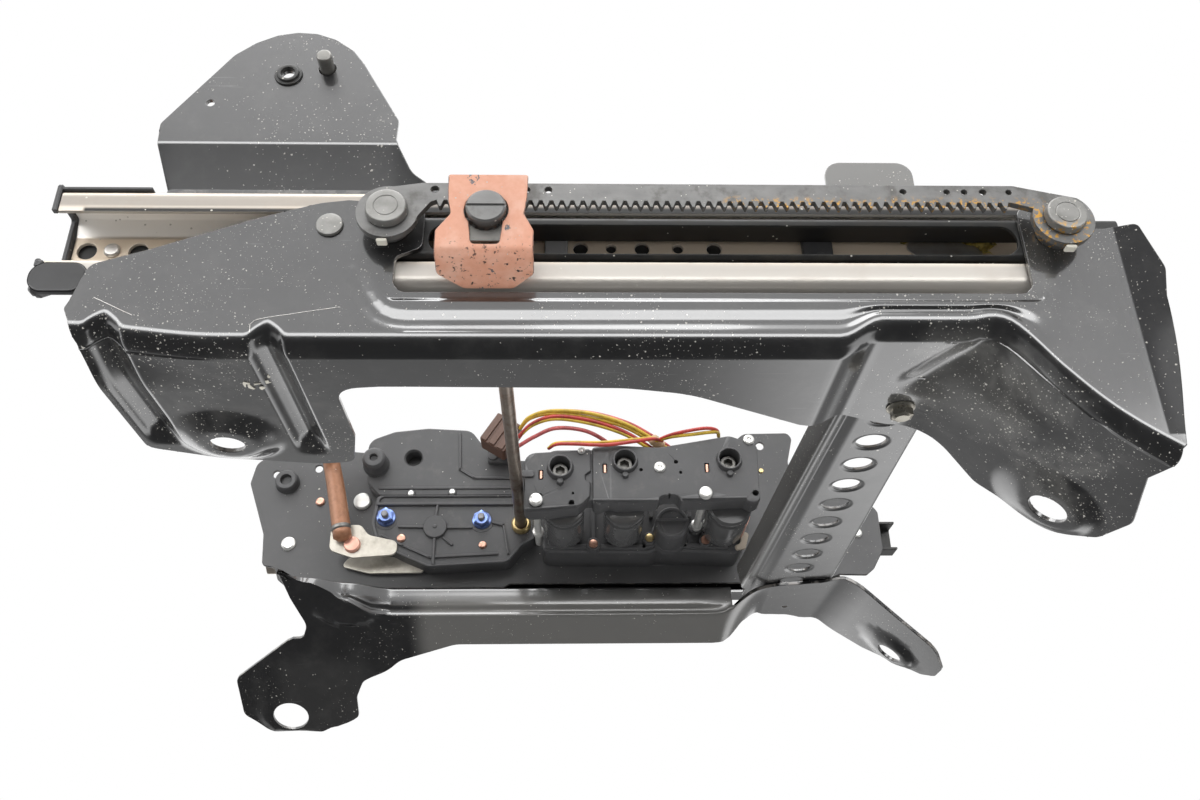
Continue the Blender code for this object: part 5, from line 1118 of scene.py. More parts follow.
paintMarks = {
    "scratches": (((-136.8, 8.5), (-135.6, 14.4), (-118, 18.2), (-99.6, 21.4)),
        ((-206, 26), (-196, 21), (-188, 17))),
    "flakes": ((-140, 30.6), (-144.5, 29.4), (-136.6, 32), (-139, 33.8), (-143.6, 33.2), (-135.4, 28.6),
        (-146.4, 31)),
    "shims": ((-84.6, -12.3, 47.6, -79.9, -8.5, 49.3), (219.6, -12.3, 45.6, 224.6, -8.5, 47.3)),
}


def makeMarks():
    # Two scratches through the paint, flakes stuck under the left foot and two pale shims at the lugs.
    look = paintMarks
    for index, route in enumerate(look["scratches"]):
        line = tubePiece("paintScratch%d" % index, [(x, -0.02, z) for x, z in route], 0.13, "zinc", 2, 8)
        putOn(line, "floor_frame", "black_paint")
    rng = random.Random(11)
    for index, (x, y) in enumerate(look["flakes"]):
        angles = sorted(rng.uniform(0, 2 * math.pi) for _ in range(6))
        loop = [(x + rng.uniform(1.2, 2.3) * math.cos(angle), y + rng.uniform(1, 2.4) * math.sin(angle))
            for angle in angles]
        level = flangeLevel(x, y) - 0.45
        flake = sheetPiece("flake%d" % index, [loop], (), (), lambda a, b: Vector((a, b, level)), 0.4,
            "flake", rim=0.1)
        putOn(flake, "floor_frame", "black_paint")
    for index, (x1, y1, z1, x2, y2, z2) in enumerate(look["shims"]):
        shim = blockPiece("lugShim%d" % index, (x1, y1, z1), (x2, y2, z2), "flake", 0.8, 0.3)
        putOn(shim, "floor_frame", "bright_steel")


def makeNearFrame():
    look = nearFrame
    left, right, sill, corner = look["window"]
    wall = [
        (left, sill, corner), (left, 48, 4), (-66, 53, 5), (-66, 77, 6), (-101.4, 79.5), (-114, 77.8, 30),
        (-144.5, 68.1, 60), (-186.8, 51.7, 60), (-212, 43.3, 8), (-218, 18, 6),
    ]
    flange = [
        (-212, 6), (-212, 98, 8), (-180, 110.5, 30), (-130, 118.5, 30), (-112, 116, 6),
        (-106.5, 87), (-106.7, 36, 12), (-85, 33.5), (25, 35, 60), (55, 41, 60), (112, 73, 8),
        (132, 78, 20), (160, 90.4, 20), (188, 93, 20), (207, 107, 8), (240, 106.5, 12),
        (255, 90, 12), (259, 62, 20), (250, 25),
    ]
    end = [
        (254, 6), (261, 17, 20), (264.8, 39, 10), (259, 64.6, 3), (238, 65.5, 3),
        (233, 77, 5), (right, 77, 5), (right, sill, corner),
    ]
    outline = [(p[0], wallRow(p[1])) + tuple(p[2:]) for p in wall]
    outline += [(p[0], flangeRow(p[1])) + tuple(p[2:]) for p in flange]
    outline += [(p[0], wallRow(p[1])) + tuple(p[2:]) for p in end]
    stretch = math.cos(math.radians(look["footSlope"]))
    leftX, leftY = look["leftFoot"]
    rightX, rightY, _ = look["rightFoot"]
    loops = [
        roundLoop(outline, 6),
        ellipseLoop(leftX, flangeRow(leftY), look["leftHole"], count=48),
        ellipseLoop(rightX, flangeRow(rightY), look["rightHole"] * stretch, look["rightHole"], count=48),
        ellipseLoop(163, flangeRow(71), 3.6, count=24),
    ]
    for (x, z), radius in ((rack["leftLug"], 5.6), (rack["rightLug"], 5.6), (rack["frameRivet"], 3.8)):
        loops.append(ellipseLoop(x, wallRow(z), radius, count=24))
    step = look["net"]
    linesX = []
    for low, high, fine in look["runs"]:
        linesX += spaced(low, high, fine or step)
    rows = [wallRow(z) for z in spaced(9, 33, 0.9)]
    rows += [wallRow(z) for z in spaced(36, 76, step)]
    rows += [bendArc * (index / 14 - 0.5) for index in range(15)]
    rows += [flangeRow(y) for y in spaced(10, 116, step * 0.8)]
    makeMarks()
    made = sheetPiece("nearFramePressing", loops, linesX, rows, nearFramePoint, look["sheet"], "paint")
    putOn(made, "floor_frame", "black_paint", "near_side_frame")


# Rack and its fixings

rack = {
    "pitch": 4.712, "pitchLine": 68.35, "thin": 0.34, "pinionX": -36.6, "teeth": 11, "gap": 0.15,
    "front": -12, "back": -8.5, "left": -59, "right": 197, "top": 80,
    "leftLug": (-81, 64), "rightLug": (222, 62), "lugRadius": 14, "frameRivet": (-108.5, 64.7),
    "holes": ((-60.5, 1.9), (-19.4, 1.5), (-9.7, 1.7), (151, 1.5), (171, 1.4), (179, 1.4), (187.6, 1.6),
        (199.4, 1.4)),
    "holeLevel": 76.2,
}
toothSize = rack["pitch"] / math.pi
pinionRadius = toothSize * rack["teeth"] / 2
pinionZ = rack["pitchLine"] - pinionRadius - rack["gap"]


def lugArc(centre, start, end, steps=30):
    made = []
    for step in range(steps + 1):
        angle = math.radians(start + (end - start) * step / steps)
        made.append((centre[0] + rack["lugRadius"] * math.cos(angle),
                centre[1] + rack["lugRadius"] * math.sin(angle)))
    return made


def rackTeeth():
    root = rack["pitchLine"] + 1.25 * toothSize
    tip = rack["pitchLine"] - toothSize
    quarter = rack["pitch"] / 4
    slope = math.tan(math.radians(20))
    rootHalf = quarter + 1.25 * toothSize * slope - rack["thin"] / 2
    tipHalf = quarter - toothSize * slope - rack["thin"] / 2
    first = math.ceil((rack["left"] - rack["pinionX"]) / rack["pitch"] - 0.5)
    last = math.floor((rack["right"] - rack["pinionX"]) / rack["pitch"] - 0.5)
    made = []
    for index in range(first, last + 1):
        middle = rack["pinionX"] + (index + 0.5) * rack["pitch"]
        made += [(middle - rootHalf, root), (middle - tipHalf, tip, 0.35), (middle + tipHalf, tip, 0.35),
            (middle + rootHalf, root)]
    return made, root


def makeRack():
    teeth, root = rackTeeth()
    outline = [(teeth[0][0] - 2.5, root - 1, 1)] + teeth
    outline += [(teeth[-1][0] + 1.5, root, 1)]
    outline += lugArc(rack["rightLug"], 158, 414)
    outline += [(208, 78.5, 5), (202, rack["top"], 5), (-60, rack["top"], 4), (-66, 80, 3)]
    outline += lugArc(rack["leftLug"], 82, 350)
    loops = [roundLoop(outline, 3)]
    for centre in (rack["leftLug"], rack["rightLug"]):
        loops.append(ellipseLoop(*centre, 5.6))
    for x, radius in rack["holes"]:
        loops.append(ellipseLoop(x, rack["holeLevel"], radius, count=20))
    bar = platePiece("rackBar", loops, rack["front"], rack["back"], "rack", rim=0.3)
    putOn(bar, "floor_frame", "dark_steel", "pinion_rack")
    for side, centre in (("left", rack["leftLug"]), ("right", rack["rightLug"])):
        boss = lathePiece("rackSpacer" + side, [
            (-8.2, 5.6, 0), (-8.2, 9, 0.4), (-4.6, 9, 0.4), (-4.3, 8.2, 0.2), (-4, 9, 0.4), (-0.3, 9, 0.4),
                (-0.3, 5.6),
        ], centre, "rack", ring=True)
        putOn(boss, "floor_frame", "dark_steel", "rack_spacer_" + side)
        head = lathePiece("rackRivet" + side, [
            (-16.3, 0), (-16.3, 5), (-16.05, 5.3, 0.1), (-16.3, 5.6), (-16.3, 8.9, 0.9), (-12.9, 9.5, 0.5),
                (-12.3, 9.1, 0.2),
            (-12.3, 5), (5.1, 5), (5.1, 7, 0.4), (7.1, 6.5, 0.8), (7.1, 0),
        ], centre, "lugSteel", count=56)
        putOn(head, "floor_frame", "dark_steel", "rack_rivet_" + side)
    rivet = lathePiece("frameRivet", [
        (-1.6, 0), (-1.6, 5.9, 0.7), (-0.3, 6.3, 0.2), (-0.3, 3.2), (5.1, 3.2), (5.1, 4.7), (6.7, 4.2),
            (6.7, 0),
    ], rack["frameRivet"], "lugSteel")
    putOn(rivet, "floor_frame", "bright_steel", "frame_rivet")


def alongX(path, mirror=None):
    def place(x, row):
        point = path.at(row)
        return Vector((x, point.x if mirror is None else mirror - point.x, point.y))
    return place


def blockPiece(name, low, high, finish, corner=0, rim=0.4):
    loop = [(low[0], low[2], corner), (high[0], low[2], corner), (high[0], high[2], corner),
        (low[0], high[2], corner)]
    return platePiece(name, [roundLoop(loop, 4)], low[1], high[1], finish, rim=rim)


# Sliding rails and guide rails

rails = {
    "sheet": 2.2, "left": -233.6, "right": 232, "low": 34, "high": 87, "front": 3.5, "back": 26.5,
    "lowLip": 48, "topLip": 75, "fold": 75, "lean": 1.9, "farMirror": 414.3,
    "holes": ((-227, 67.5, 4.5), (-203, 67.5, 4.5), (5, 70, 3.5), (19.6, 70, 2.4), (34.4, 70, 3.5),
        (51.6, 70, 2.4), (68.9, 70, 3.5)),
    # holeShade: x spans of dark sheets behind the web holes, painted shade seen through them
    "rivet": (-215, 67.5, 3.2), "bore": 4.8, "holeShade": ((-234, -194), (-4, 76)), "swage": 14,
    "guideSheet": 2, "guideLeft": -132, "guideRight": 255, "guideReach": 20, "guideFront": 2.8,
    "guideLow": 50, "guideHigh": 73, "slot": (-64, 206, 7.8), "standHoles": ((-100, 62), (200, 62)),
}


def makeRail(name, replaced, lean, holes, mirror, finish):
    look = rails
    path = BentPath([
        (look["front"], look["lowLip"]), (look["front"], look["low"], 6.5),
            (look["back"], look["low"], 3.5),
        (look["back"], look["fold"], 3), (look["back"] - lean, look["high"], 3),
            (look["front"], look["high"], 3),
        (look["front"], look["topLip"]),
    ], 9)
    outline = [(look["left"], 0), (look["right"], 0), (look["right"], path.length),
        (look["left"], path.length)]
    loops = [outline] + [ellipseLoop(x, path.near(look["back"], z), radius, count=32) for x, z,
        radius in holes]
    turn = 1 if mirror is None else -1
    plain = alongX(path, mirror)

    def place(x, row):
        # The lower rear corner is swaged up at the left end.
        point = plain(x, row)
        inward = point.y if mirror is None else mirror - point.y
        share = min(max((inward - look["front"]) / (look["back"] - look["front"]), 0), 1)
        point.z += look["swage"] * ramp(-x, 190, 212) * share * (1 - ramp(point.z, 34, 64))
        return point

    lines = spaced(look["left"], -188, 4) + spaced(-160, look["right"], 26)
    rows = path.bends() + spaced(path.near(look["front"], look["low"]), path.near(look["back"], 62), 5)
    made = sheetPiece(name, loops, lines, rows, place, turn * look["sheet"], finish)
    putOn(made, "carriage", "rail_steel", replaced)


def makeGuide(name, replaced, slotted, rivets, mirror):
    look = rails
    path = BentPath([
        (look["guideReach"], look["guideLow"]), (look["guideFront"], look["guideLow"], 3),
        (look["guideFront"], look["guideHigh"], 3), (look["guideReach"], look["guideHigh"]),
    ], 8)
    loops = [[(look["guideLeft"], 0), (look["guideRight"], 0), (look["guideRight"], path.length),
            (look["guideLeft"], path.length)]]
    if slotted:
        left, right, half = look["slot"]
        low, high = (path.near(look["guideFront"], pinionZ + side * half) for side in (-1, 1))
        loops.append(roundLoop([(left, low, half), (right, low, half), (right, high, half),
                    (left, high, half)], 8))
    for (x, z), radius in rivets:
        loops.append(ellipseLoop(x, path.near(look["guideFront"], z), radius, count=24))
    turn = -1 if mirror is None else 1
    made = sheetPiece(name, loops, spaced(look["guideLeft"], look["guideRight"], 26), path.bends(),
        alongX(path, mirror), turn * look["guideSheet"], "guide")
    putOn(made, "floor_frame", "dark_steel", replaced)


def makeRails():
    look = rails
    bore = (rack["pinionX"], pinionZ, look["bore"])
    makeRail("nearRail", "near_upper_rail", look["lean"], look["holes"] + (bore, look["rivet"]), None,
        "rail")
    makeRail("farRail", "far_upper_rail", look["lean"], (), look["farMirror"], "rail")
    makeGuide("nearGuide", "near_guide_rail", True,
        ((rack["rightLug"], 5.6), (rack["leftLug"], 5.6), (rack["frameRivet"], 3.8)), None)
    makeGuide("farGuide", "far_guide_rail", False, [(hole, 3.6) for hole in look["standHoles"]],
        look["farMirror"])
    x, z, _ = look["rivet"]
    rivet = lathePiece("webRivet", [(22.5, 0), (22.5, 2.9, 0.5), (24, 4.4, 0.4), (24, 2.6), (26.8, 2.6),
            (26.8, 4.4), (28.1, 3.6, 0.6), (28.1, 0)], (x, z), "zinc")
    putOn(rivet, "carriage", "bright_steel", "rail_web_rivet")
    # Dark sheets behind two runs of web holes: painted shade, so that the holes read dark.
    for index, (low, high) in enumerate(look["holeShade"]):
        loops = [roundLoop([(low, 60, 2), (high, 60, 2), (high, 77, 2), (low, 77, 2)], 3)]
        if low < x < high:
            loops.append(ellipseLoop(x, z, 5.2))
        holeShade = platePiece("webHoleShade%d" % index, loops, look["back"] + 0.4, look["back"] + 1.2, "guide",
            rim=0.2)
        putOn(holeShade, "carriage", "black_plastic")


endCap = {"wall": 2.4, "end": -233.9, "proud": 0.6, "stripEnd": -193, "lowEnd": -214, "outside": 3.3,
    "corner": 9, "capsule": (-238.2, 30.6, -212.5, 46, 7.2)}


def makeEndCap():
    look = endCap
    front = rails["front"] - look["proud"]
    back = rails["back"]
    low = rails["low"] - look["outside"]
    high = rails["high"] + look["outside"]
    wall = [
        (front, low + 1, 6), (front + 7, low + 1, 4), (back, 46.5, 2), (back, high, 2), (front, high, 1.5),
        (front, rails["topLip"], 0.6), (front + 3, rails["topLip"], 0.6),
        (front + 3, 83, 1), (21.5, 83, 1), (21.5, 49, 1), (front + 3, 40, 1),
        (front + 3, rails["lowLip"], 1), (front, rails["lowLip"], 1),
    ]
    end = look["end"]
    plate = platePiece("endWall", [roundLoop(wall, 5)], end - look["wall"], end, "plastic", rim=0.5,
        axis="X")
    foot = [(front, low + 0.4, 4), (front + 5, low + 0.4, 2), (front + 7.5, 38, 2), (front + 7.5, 46, 3),
        (front, 46, 3)]
    bulb = platePiece("endFoot", [roundLoop(foot, 8)], end - look["wall"] - 1.6, end, "plastic", rim=1.6,
        axis="X")
    skin = [(front + 1.5, low + 1.2, 2), (front + 4.5, low + 0.8, 1), (front + 4.5, rails["low"] - 0.5),
        (rails["front"] + 2.5, rails["low"] - 0.5), (front + 0.5, rails["low"] + 4),
        (front + 0.1, rails["low"] + 5)]
    under = platePiece("endSkin", [roundLoop(skin, 5)], end - 0.5, look["lowEnd"], "plastic", rim=0.25,
        axis="X")
    strip = blockPiece("endStrip", (end - look["wall"], front + 0.6, rails["high"] + 0.3),
        (look["stripEnd"], back - 8, high - 1.2), "plastic", 0.6, 0.4)
    left, low2, right, high2, corner = look["capsule"]
    capsule = [(left, low2, corner), (right, low2, corner), (right, high2, corner), (left, high2, corner)]
    cover = platePiece("endCapsule", [roundLoop(capsule, 10)], front - 0.9, rails["front"] - 0.3,
        "glossPlastic", rim=0.8)
    putOn(cover, "carriage", "black_plastic")
    horn = blockPiece("endHorn", (end - look["wall"] - 1.5, front + 0.4, 44.5),
        (end - look["wall"] + 1.2, front + 3.2, 49), "plastic", 1.1, 0.5)
    putOn(joined("railEndCap", [plate, bulb, under, strip, horn]), "carriage", "black_plastic",
        "near_rail_end_cap")


# Hinge bracket, its collar and pin, and the tab

hinge = {
    "sheet": 2.5, "foot": (6, 23), "base": 87.3, "face": 10, "bend": 120, "peak": 192, "net": 9,
    "hole": (-140.2, 162.3, 3.4), "pin": (-121.6, 167.3, 3.8), "small": (-176.2, 144.2, 2), "collar": 7,
    "reach": 9,
    "tab": (124, 167, 114, 13),
    "crown": (
        (-169, 176), (-159, 184.6), (-149, 189.8), (-139, 191.9), (-129, 191.2), (-119, 187.2),
        (-109.5, 179.6), (-103.4, 170.6),
    ),
}


def makeHinge():
    look = hinge
    near, far = look["foot"]
    path = BentPath([(near, look["base"]), (far, look["base"], 3.5), (look["face"], look["bend"], 4.5),
            (look["face"], look["peak"])], 10)
    top = path.length

    def row(z):
        return top - (look["peak"] - z)

    footEnd = far - near
    outline = [(-188, 0, 3), (-190, footEnd, 6), (-197.7, row(119), 4), (-198.3, row(131), 4)]
    outline += [(x, row(z), 10) for x, z in look["crown"]]
    outline += [
        (-83.6, row(134), 4), (-84, row(122), 5), (-76, row(106), 12), (-55, footEnd + 3, 8), (-50, 0, 3),
    ]
    loops = [roundLoop(outline, 8)]
    for x, z, radius in (look["hole"], look["small"]):
        loops.append(ellipseLoop(x, row(z), radius, count=32))
    loops.append(ellipseLoop(look["pin"][0], row(look["pin"][1]), look["pin"][2] + 0.5, count=32))
    rows = path.bends() + spaced(row(126), top, look["net"])
    made = sheetPiece("hingePressing", loops, spaced(-198, -50, look["net"]), rows, alongX(path),
        look["sheet"], "hingePaint")
    putOn(made, "carriage", "black_paint", "hinge_bracket")
    front = look["face"] - look["sheet"] - 0.3
    x, z, bore = look["hole"]
    collar = lathePiece("hingeCollar", [
        (front, bore), (front, look["collar"]), (front - 0.7, look["collar"] - 0.3, 0.3),
            (front - 0.7, 5.6, 0.2), (front - 2, 5.2, 0.4), (front - 2, bore, 0.5),
    ], (x, z), "guide", ring=True)
    putOn(collar, "carriage", "dark_steel", "bracket_collar")
    x, z, radius = look["pin"]
    pin = lathePiece("hingePin", [
        (front - look["reach"], 0), (front - look["reach"], radius - 0.9, 0.2),
            (front - look["reach"] + 0.3, radius - 0.2, 0.3), (front - look["reach"] + 1, radius, 0.2),
        (look["face"] + 0.3, radius), (look["face"] + 0.3, radius + 2),
            (look["face"] + 2, radius + 1.4, 0.6), (look["face"] + 2, 0),
    ], (x, z), "pinSteel")
    putOn(pin, "carriage", "bright_steel", "bracket_pin")
    left, right, high, face = look["tab"]
    path = BentPath([(face + 12, look["base"]), (face, look["base"], 3), (face, high)], 8)
    outline = [(left, 0, 2), (right, 0, 2), (right, path.length, 8), (left, path.length, 8)]
    tab = sheetPiece("topTab", [roundLoop(outline, 8)], spaced(left, right, 8),
        path.bends() + spaced(18, path.length, 8), alongX(path), -look["sheet"], "dustyTab")
    putOn(tab, "carriage", "black_paint", "rail_top_tab")


# Pinion bracket, its keyed plate, pinion and shaft

bracket = {
    "sheet": 2, "face": -18.6, "top": 79.5, "bend": 37.5, "back": 3.2, "keyhole": 9.6, "slot": 6.2,
    "plateFront": -16.3, "plateSheet": 1.2,
    "headRadius": 8.8, "headFront": -22, "groove": (1.5, 0.8), "pinionFront": -13.2, "pinionBack": -7.4,
    "shaft": 4.2, "shaftStart": -18, "shaftEnd": 371, "bushFront": 360, "bushRadius": 7.2,
}


def makePinionBracket():
    look = bracket
    path = BentPath([(look["face"], look["top"]), (look["face"], look["bend"], 4.5),
            (look["back"], look["bend"] - 4.5)], 10)
    length = path.length

    def row(z):
        return look["top"] - z

    outline = [
        (-54, 0, 1.2), (-53.4, row(66), 6), (-52, row(58), 2), (-58.3, row(49), 4), (-58.3, length - 9, 4),
        (-47, length, 4),
        (-25, length, 4), (-15.7, length - 9, 4), (-15.7, row(49), 4), (-20, row(58), 2), (-19, row(66), 6),
        (-18.5, 0, 1.2),
    ]
    key = []
    for turn in range(-40, 221, 10):
        angle = math.radians(turn)
        key.append((rack["pinionX"] + look["keyhole"] * math.cos(angle),
                row(pinionZ + look["keyhole"] * math.sin(angle))))
    key += [(rack["pinionX"] - look["slot"], row(42), 2), (rack["pinionX"] + look["slot"], row(42), 2)]
    rows = path.bends() + spaced(3, 36, 4)
    made = sheetPiece("bracketPressing", [roundLoop(outline, 6), roundLoop(key, 4)], spaced(-58, -16, 4),
        rows, alongX(path), look["sheet"], "oxide")
    putOn(made, "carriage", "red_oxide", "pinion_bracket")
    plate = roundLoop([(-50, 45, 3), (-23, 45, 3), (-22, 78, 3), (-51, 78, 3)], 5)
    hole = ellipseLoop(rack["pinionX"], pinionZ, look["headRadius"] + 0.5, count=40)
    keyed = platePiece("keyedPlate", [plate, hole], look["plateFront"],
        look["plateFront"] + look["plateSheet"], "pinSteel", rim=0.3)
    putOn(keyed, "carriage", "bright_steel", "keyed_plate")


def pinionLoop():
    tip = pinionRadius + toothSize
    root = pinionRadius - 1.25 * toothSize
    half = math.pi / (2 * rack["teeth"]) - rack["thin"] / (2 * pinionRadius)
    slope = math.tan(math.radians(20))
    rootHalf = half + 1.25 * toothSize * slope / root * 0.55
    tipHalf = half - toothSize * slope / tip * 1.35
    loop = []
    for index in range(rack["teeth"]):
        middle = math.pi / 2 + 2 * math.pi * index / rack["teeth"]
        for turn, radius, corner in (
            (-rootHalf, root, 0.4), (-half, pinionRadius, 0.8), (-tipHalf, tip, 0.3), (tipHalf, tip, 0.3),
            (half, pinionRadius, 0.8), (rootHalf, root, 0.4),
        ):
            loop.append((rack["pinionX"] + radius * math.cos(middle + turn),
                    pinionZ + radius * math.sin(middle + turn), corner))
    return roundLoop(loop, 2)


def makePinion():
    look = bracket
    centre = (rack["pinionX"], pinionZ)
    gear = platePiece("pinionTeeth", [pinionLoop(), ellipseLoop(*centre, look["shaft"] + 0.3, count=40)],
        look["pinionFront"], look["pinionBack"], "rack", rim=0.3)
    head = lathePiece("pinionHead", [
        (look["headFront"], 0), (look["headFront"], 2.3),
            (look["headFront"], look["headRadius"] - 0.9, 0.4),
            (look["headFront"] + 0.9, look["headRadius"], 0.4),
        (-18.6, look["headRadius"], 0.3), (-17.4, 7.4, 0.3), (look["pinionFront"] + 0.4, 6.4),
            (look["pinionFront"] + 0.4, 0),
    ], centre, "rack", count=56)
    wide, deep = look["groove"]
    groove = blockPiece("groove", (centre[0] - 12, look["headFront"] - 2, centre[1] - wide / 2),
        (centre[0] + 12, look["headFront"] + deep, centre[1] + wide / 2), "rack", 0, 0.1)
    fused(head, [groove], "DIFFERENCE")
    putOn(joined("drivePinion", [head, gear]), "sync_shaft", "dark_steel", "drive_pinion")
    shaft = lathePiece("crossShaft", [
        (look["shaftStart"] + 0.8, 0), (look["shaftStart"] + 0.8, look["shaft"] - 0.5, 0.2),
            (look["shaftStart"] + 1.4, look["shaft"]),
        (150, look["shaft"]), (300, look["shaft"]), (look["shaftEnd"], look["shaft"], 0.3),
            (look["shaftEnd"], 0),
    ], centre, "shaft", count=40)
    putOn(shaft, "sync_shaft", "bright_steel", "sync_shaft")
    bush = lathePiece("shaftBush", [
        (look["bushFront"], 4.8), (look["bushFront"], 6, 0.5),
            (look["bushFront"] + 1.5, look["bushRadius"], 0.5), (365.7, look["bushRadius"]), (365.7, 4.8),
    ], centre, "gold", ring=True)
    putOn(bush, "carriage", "bright_steel", "shaft_bush")


# Small pieces inside the rail

inserts = {"front": 20.3, "back": 24, "tongueSheet": 0.9}


def makeInserts():
    look = inserts
    block = blockPiece("slideBlock", (-12, look["front"], 56), (-1, look["back"], 76), "greyBlock", 1.8,
        0.6)
    putOn(block, "carriage", "black_plastic", "slide_block")
    stop = blockPiece("stopBody", (110.6, look["front"], 58), (125.1, look["back"], 76), "plastic", 2, 0.6)
    pin = lathePiece("stopPin",
        [(look["front"] - 3, 0), (look["front"] - 3, 2, 0.5), (look["front"] + 1, 2),
            (look["front"] + 1, 0)], (118, 62), "plastic")
    putOn(joined("stopBlock", [stop, pin]), "carriage", "black_plastic", "stop_block")
    tongue = [(160, 71, 3), (168, 63.5, 5), (180, 61, 6), (192, 62.5, 5), (201, 69, 4), (194, 76.5, 5),
        (170, 78, 4)]
    plate = platePiece("slideTongue", [roundLoop(tongue, 6)], look["back"] - look["tongueSheet"],
        look["back"], "lip", rim=0.25)
    putOn(plate, "carriage", "bright_steel", "slide_tongue")


def makeFoil():
    # Torn yellow foil over the end of the tongue, crumpled.
    rng = random.Random(7)
    left = [(158, 72.5), (163, 74.8), (169, 75.6), (176, 75), (184, 76), (191, 75.2), (198, 76.4),
        (204, 74)]
    right = [(205, 71), (200, 68), (203, 65.5), (197, 66.8), (195.5, 70), (188, 71.8), (180, 73.2),
        (171, 72.6), (164, 73.4), (159, 71.2)]
    loop = [(x + rng.uniform(-0.5, 0.5), z + rng.uniform(-0.35, 0.35)) for x, z in left + right]

    def place(x, z):
        wave = math.sin(x * 1.3 + z * 0.7) + 0.6 * math.sin(x * 2.9 - z * 1.9) + 0.4 * math.sin(z * 4.1 + x
            * 0.5)
        return Vector((x, 21.4 + 0.45 * wave, z))

    made = sheetPiece("tornFoil", [loop], spaced(157, 206, 1.3), spaced(64, 78, 1.3), place, -0.12, "foil",
        rim=0.03)
    putOn(made, "carriage", "bright_steel")


# Cross channel and its bolt

channel = {
    "sheet": 2, "start": 46, "end": 388, "middle": 157.8, "halfNear": 21.5, "halfFar": 32, "side": 14,
    "lean": 20,
    "nearLevel": 11.8, "farLevel": 10.8, "holeX": 160.5, "holeRadius": 8, "holeFirst": 88.8,
    "holePitch": 29.2, "holes": 10,
    "ridge": 1.2, "flare": 0.5, "bolt": (163, 71), "net": 5,
}


def channelHalf(y):
    share = (y - channel["start"]) / (channel["end"] - channel["start"])
    return channel["halfNear"] + (channel["halfFar"] - channel["halfNear"]) * share


def channelPoint(across, y):
    look = channel
    half = channelHalf(y)
    level = look["nearLevel"] + (look["farLevel"] - look["nearLevel"]) * ramp(y, 115, 340)
    side = -1 if across < 0 else 1
    over = max(abs(across) - look["halfFar"], 0)
    inner = min(abs(across), look["halfFar"]) / look["halfFar"] * half
    lean = math.radians(look["lean"])
    ridge = look["ridge"] * (1 - ramp(abs(across + look["halfFar"] - 8), 0, 3.5))
    return Vector((look["middle"] + side * (inner + over * math.sin(lean)), y,
            level + ridge + over * math.cos(lean)))


def channelPlace(across, y):
    total = Vector((0, 0, 0))
    for step in (-1, -0.5, 0, 0.5, 1):
        total += channelPoint(across + 1.6 * step, y)
    point = total / 5
    look = channel
    scale = look["halfFar"] / channelHalf(y)
    for index in range(look["holes"]):  # each hole has a small drawn-in rim
        reach = math.hypot(across / scale - (look["holeX"] - look["middle"]),
            y - look["holeFirst"] - index * look["holePitch"])
        if reach < look["holeRadius"] + 3:
            point.z += look["flare"] * (1 - ramp(reach, look["holeRadius"], look["holeRadius"] + 3))
    return point


def makeChannel():
    look = channel
    edge = look["halfFar"] + look["side"]
    start, end, wide = look["start"], look["end"], look["halfFar"]
    outline = [
        (-wide + 4, start, 2), (wide - 4, start, 2), (edge, start + 14, 5), (edge, end - 30, 5),
        (wide - 3, end - 18, 3),
        (wide - 3, end, 5), (-wide + 3, end, 5), (-wide + 3, end - 18, 3), (-edge, end - 30, 5),
        (-edge, start + 14, 5),
    ]
    loops = [roundLoop(outline, 5)]
    rings = []
    for index in range(look["holes"]):
        y = look["holeFirst"] + index * look["holePitch"]
        scale = wide / channelHalf(y)
        middle = (look["holeX"] - look["middle"]) * scale
        loops.append(ellipseLoop(middle, y, look["holeRadius"] * scale, look["holeRadius"], count=40))
        for extra in (1, 2, 3):
            rings.append(ellipseLoop(middle, y, (look["holeRadius"] + extra) * scale,
                    look["holeRadius"] + extra, count=40))
    x, y = look["bolt"]
    scale = wide / channelHalf(y)
    loops.append(ellipseLoop((x - look["middle"]) * scale, y, 3.6 * scale, 3.6, count=20))
    lines = []
    for middle in (-wide, -wide + 8, wide):
        lines += [middle + step for step in (-2.4, -1.6, -0.8, 0, 0.8, 1.6, 2.4)]
    lines += [-wide - 8, -14, 0, 14, wide + 8]
    made = sheetPiece("channelPressing", loops, lines, spaced(start, end, look["net"] * 2), channelPlace,
        look["sheet"], "channelPaint", rings=rings)
    putOn(made, "floor_frame", "black_paint", "cross_channel")
    bolt = lathePiece("flangeBolt", [
        (2.5, 0), (2.5, 3.6, 0.2), (3.1, 4.6, 0.3), (3.4, 4.95, 0, "hex"), (7, 4.95, 0, "hex"),
            (7.3, 6, 0.2), (7.9, 7, 0.3), (8.7, 7.2, 0.2),
        (8.7, 3), (14.2, 3), (14.2, 5, 0, "hex"), (19.2, 5, 0, "hex"), (19.2, 3), (22, 3, 0.4), (22, 0),
    ], look["bolt"], "nickel", axis="Z", count=48)
    putOn(bolt, "floor_frame", "bright_steel", "channel_flange_bolt")


# Far floor frame

farFrame = {
    "sheet": 2.5, "lowest": -72.6, "shelf": 12.5, "shelfFront": 368.5, "shelfBack": 411.5, "shelfEnd": 118,
    "web": 22, "webFoot": 366,
    "slope": 34, "pad": 8, "padBlend": (105, 148), "leftFoot": (-210.6, 440, -59.6), "leftHole": 13,
    "rightFoot": (238.5, 400, -25), "rightHole": 9, "flat": (16, 12), "reach": (31, 25), "depth": 5,
    "rightSlope": 40,
    "dish": (-160, 360, 29, 13, 5), "net": 4.5, "bead": (17.5, 2.6, 1.3), "swell": (10, 10, 1),
}


def farFront(x):
    return levelBetween(x, (
        (-206, 331), (-187, 340), (-160, 351), (-128, 366), (112, 366), (140, 357), (159, 351.5),
            (180, 347), (196, 336),
    ))


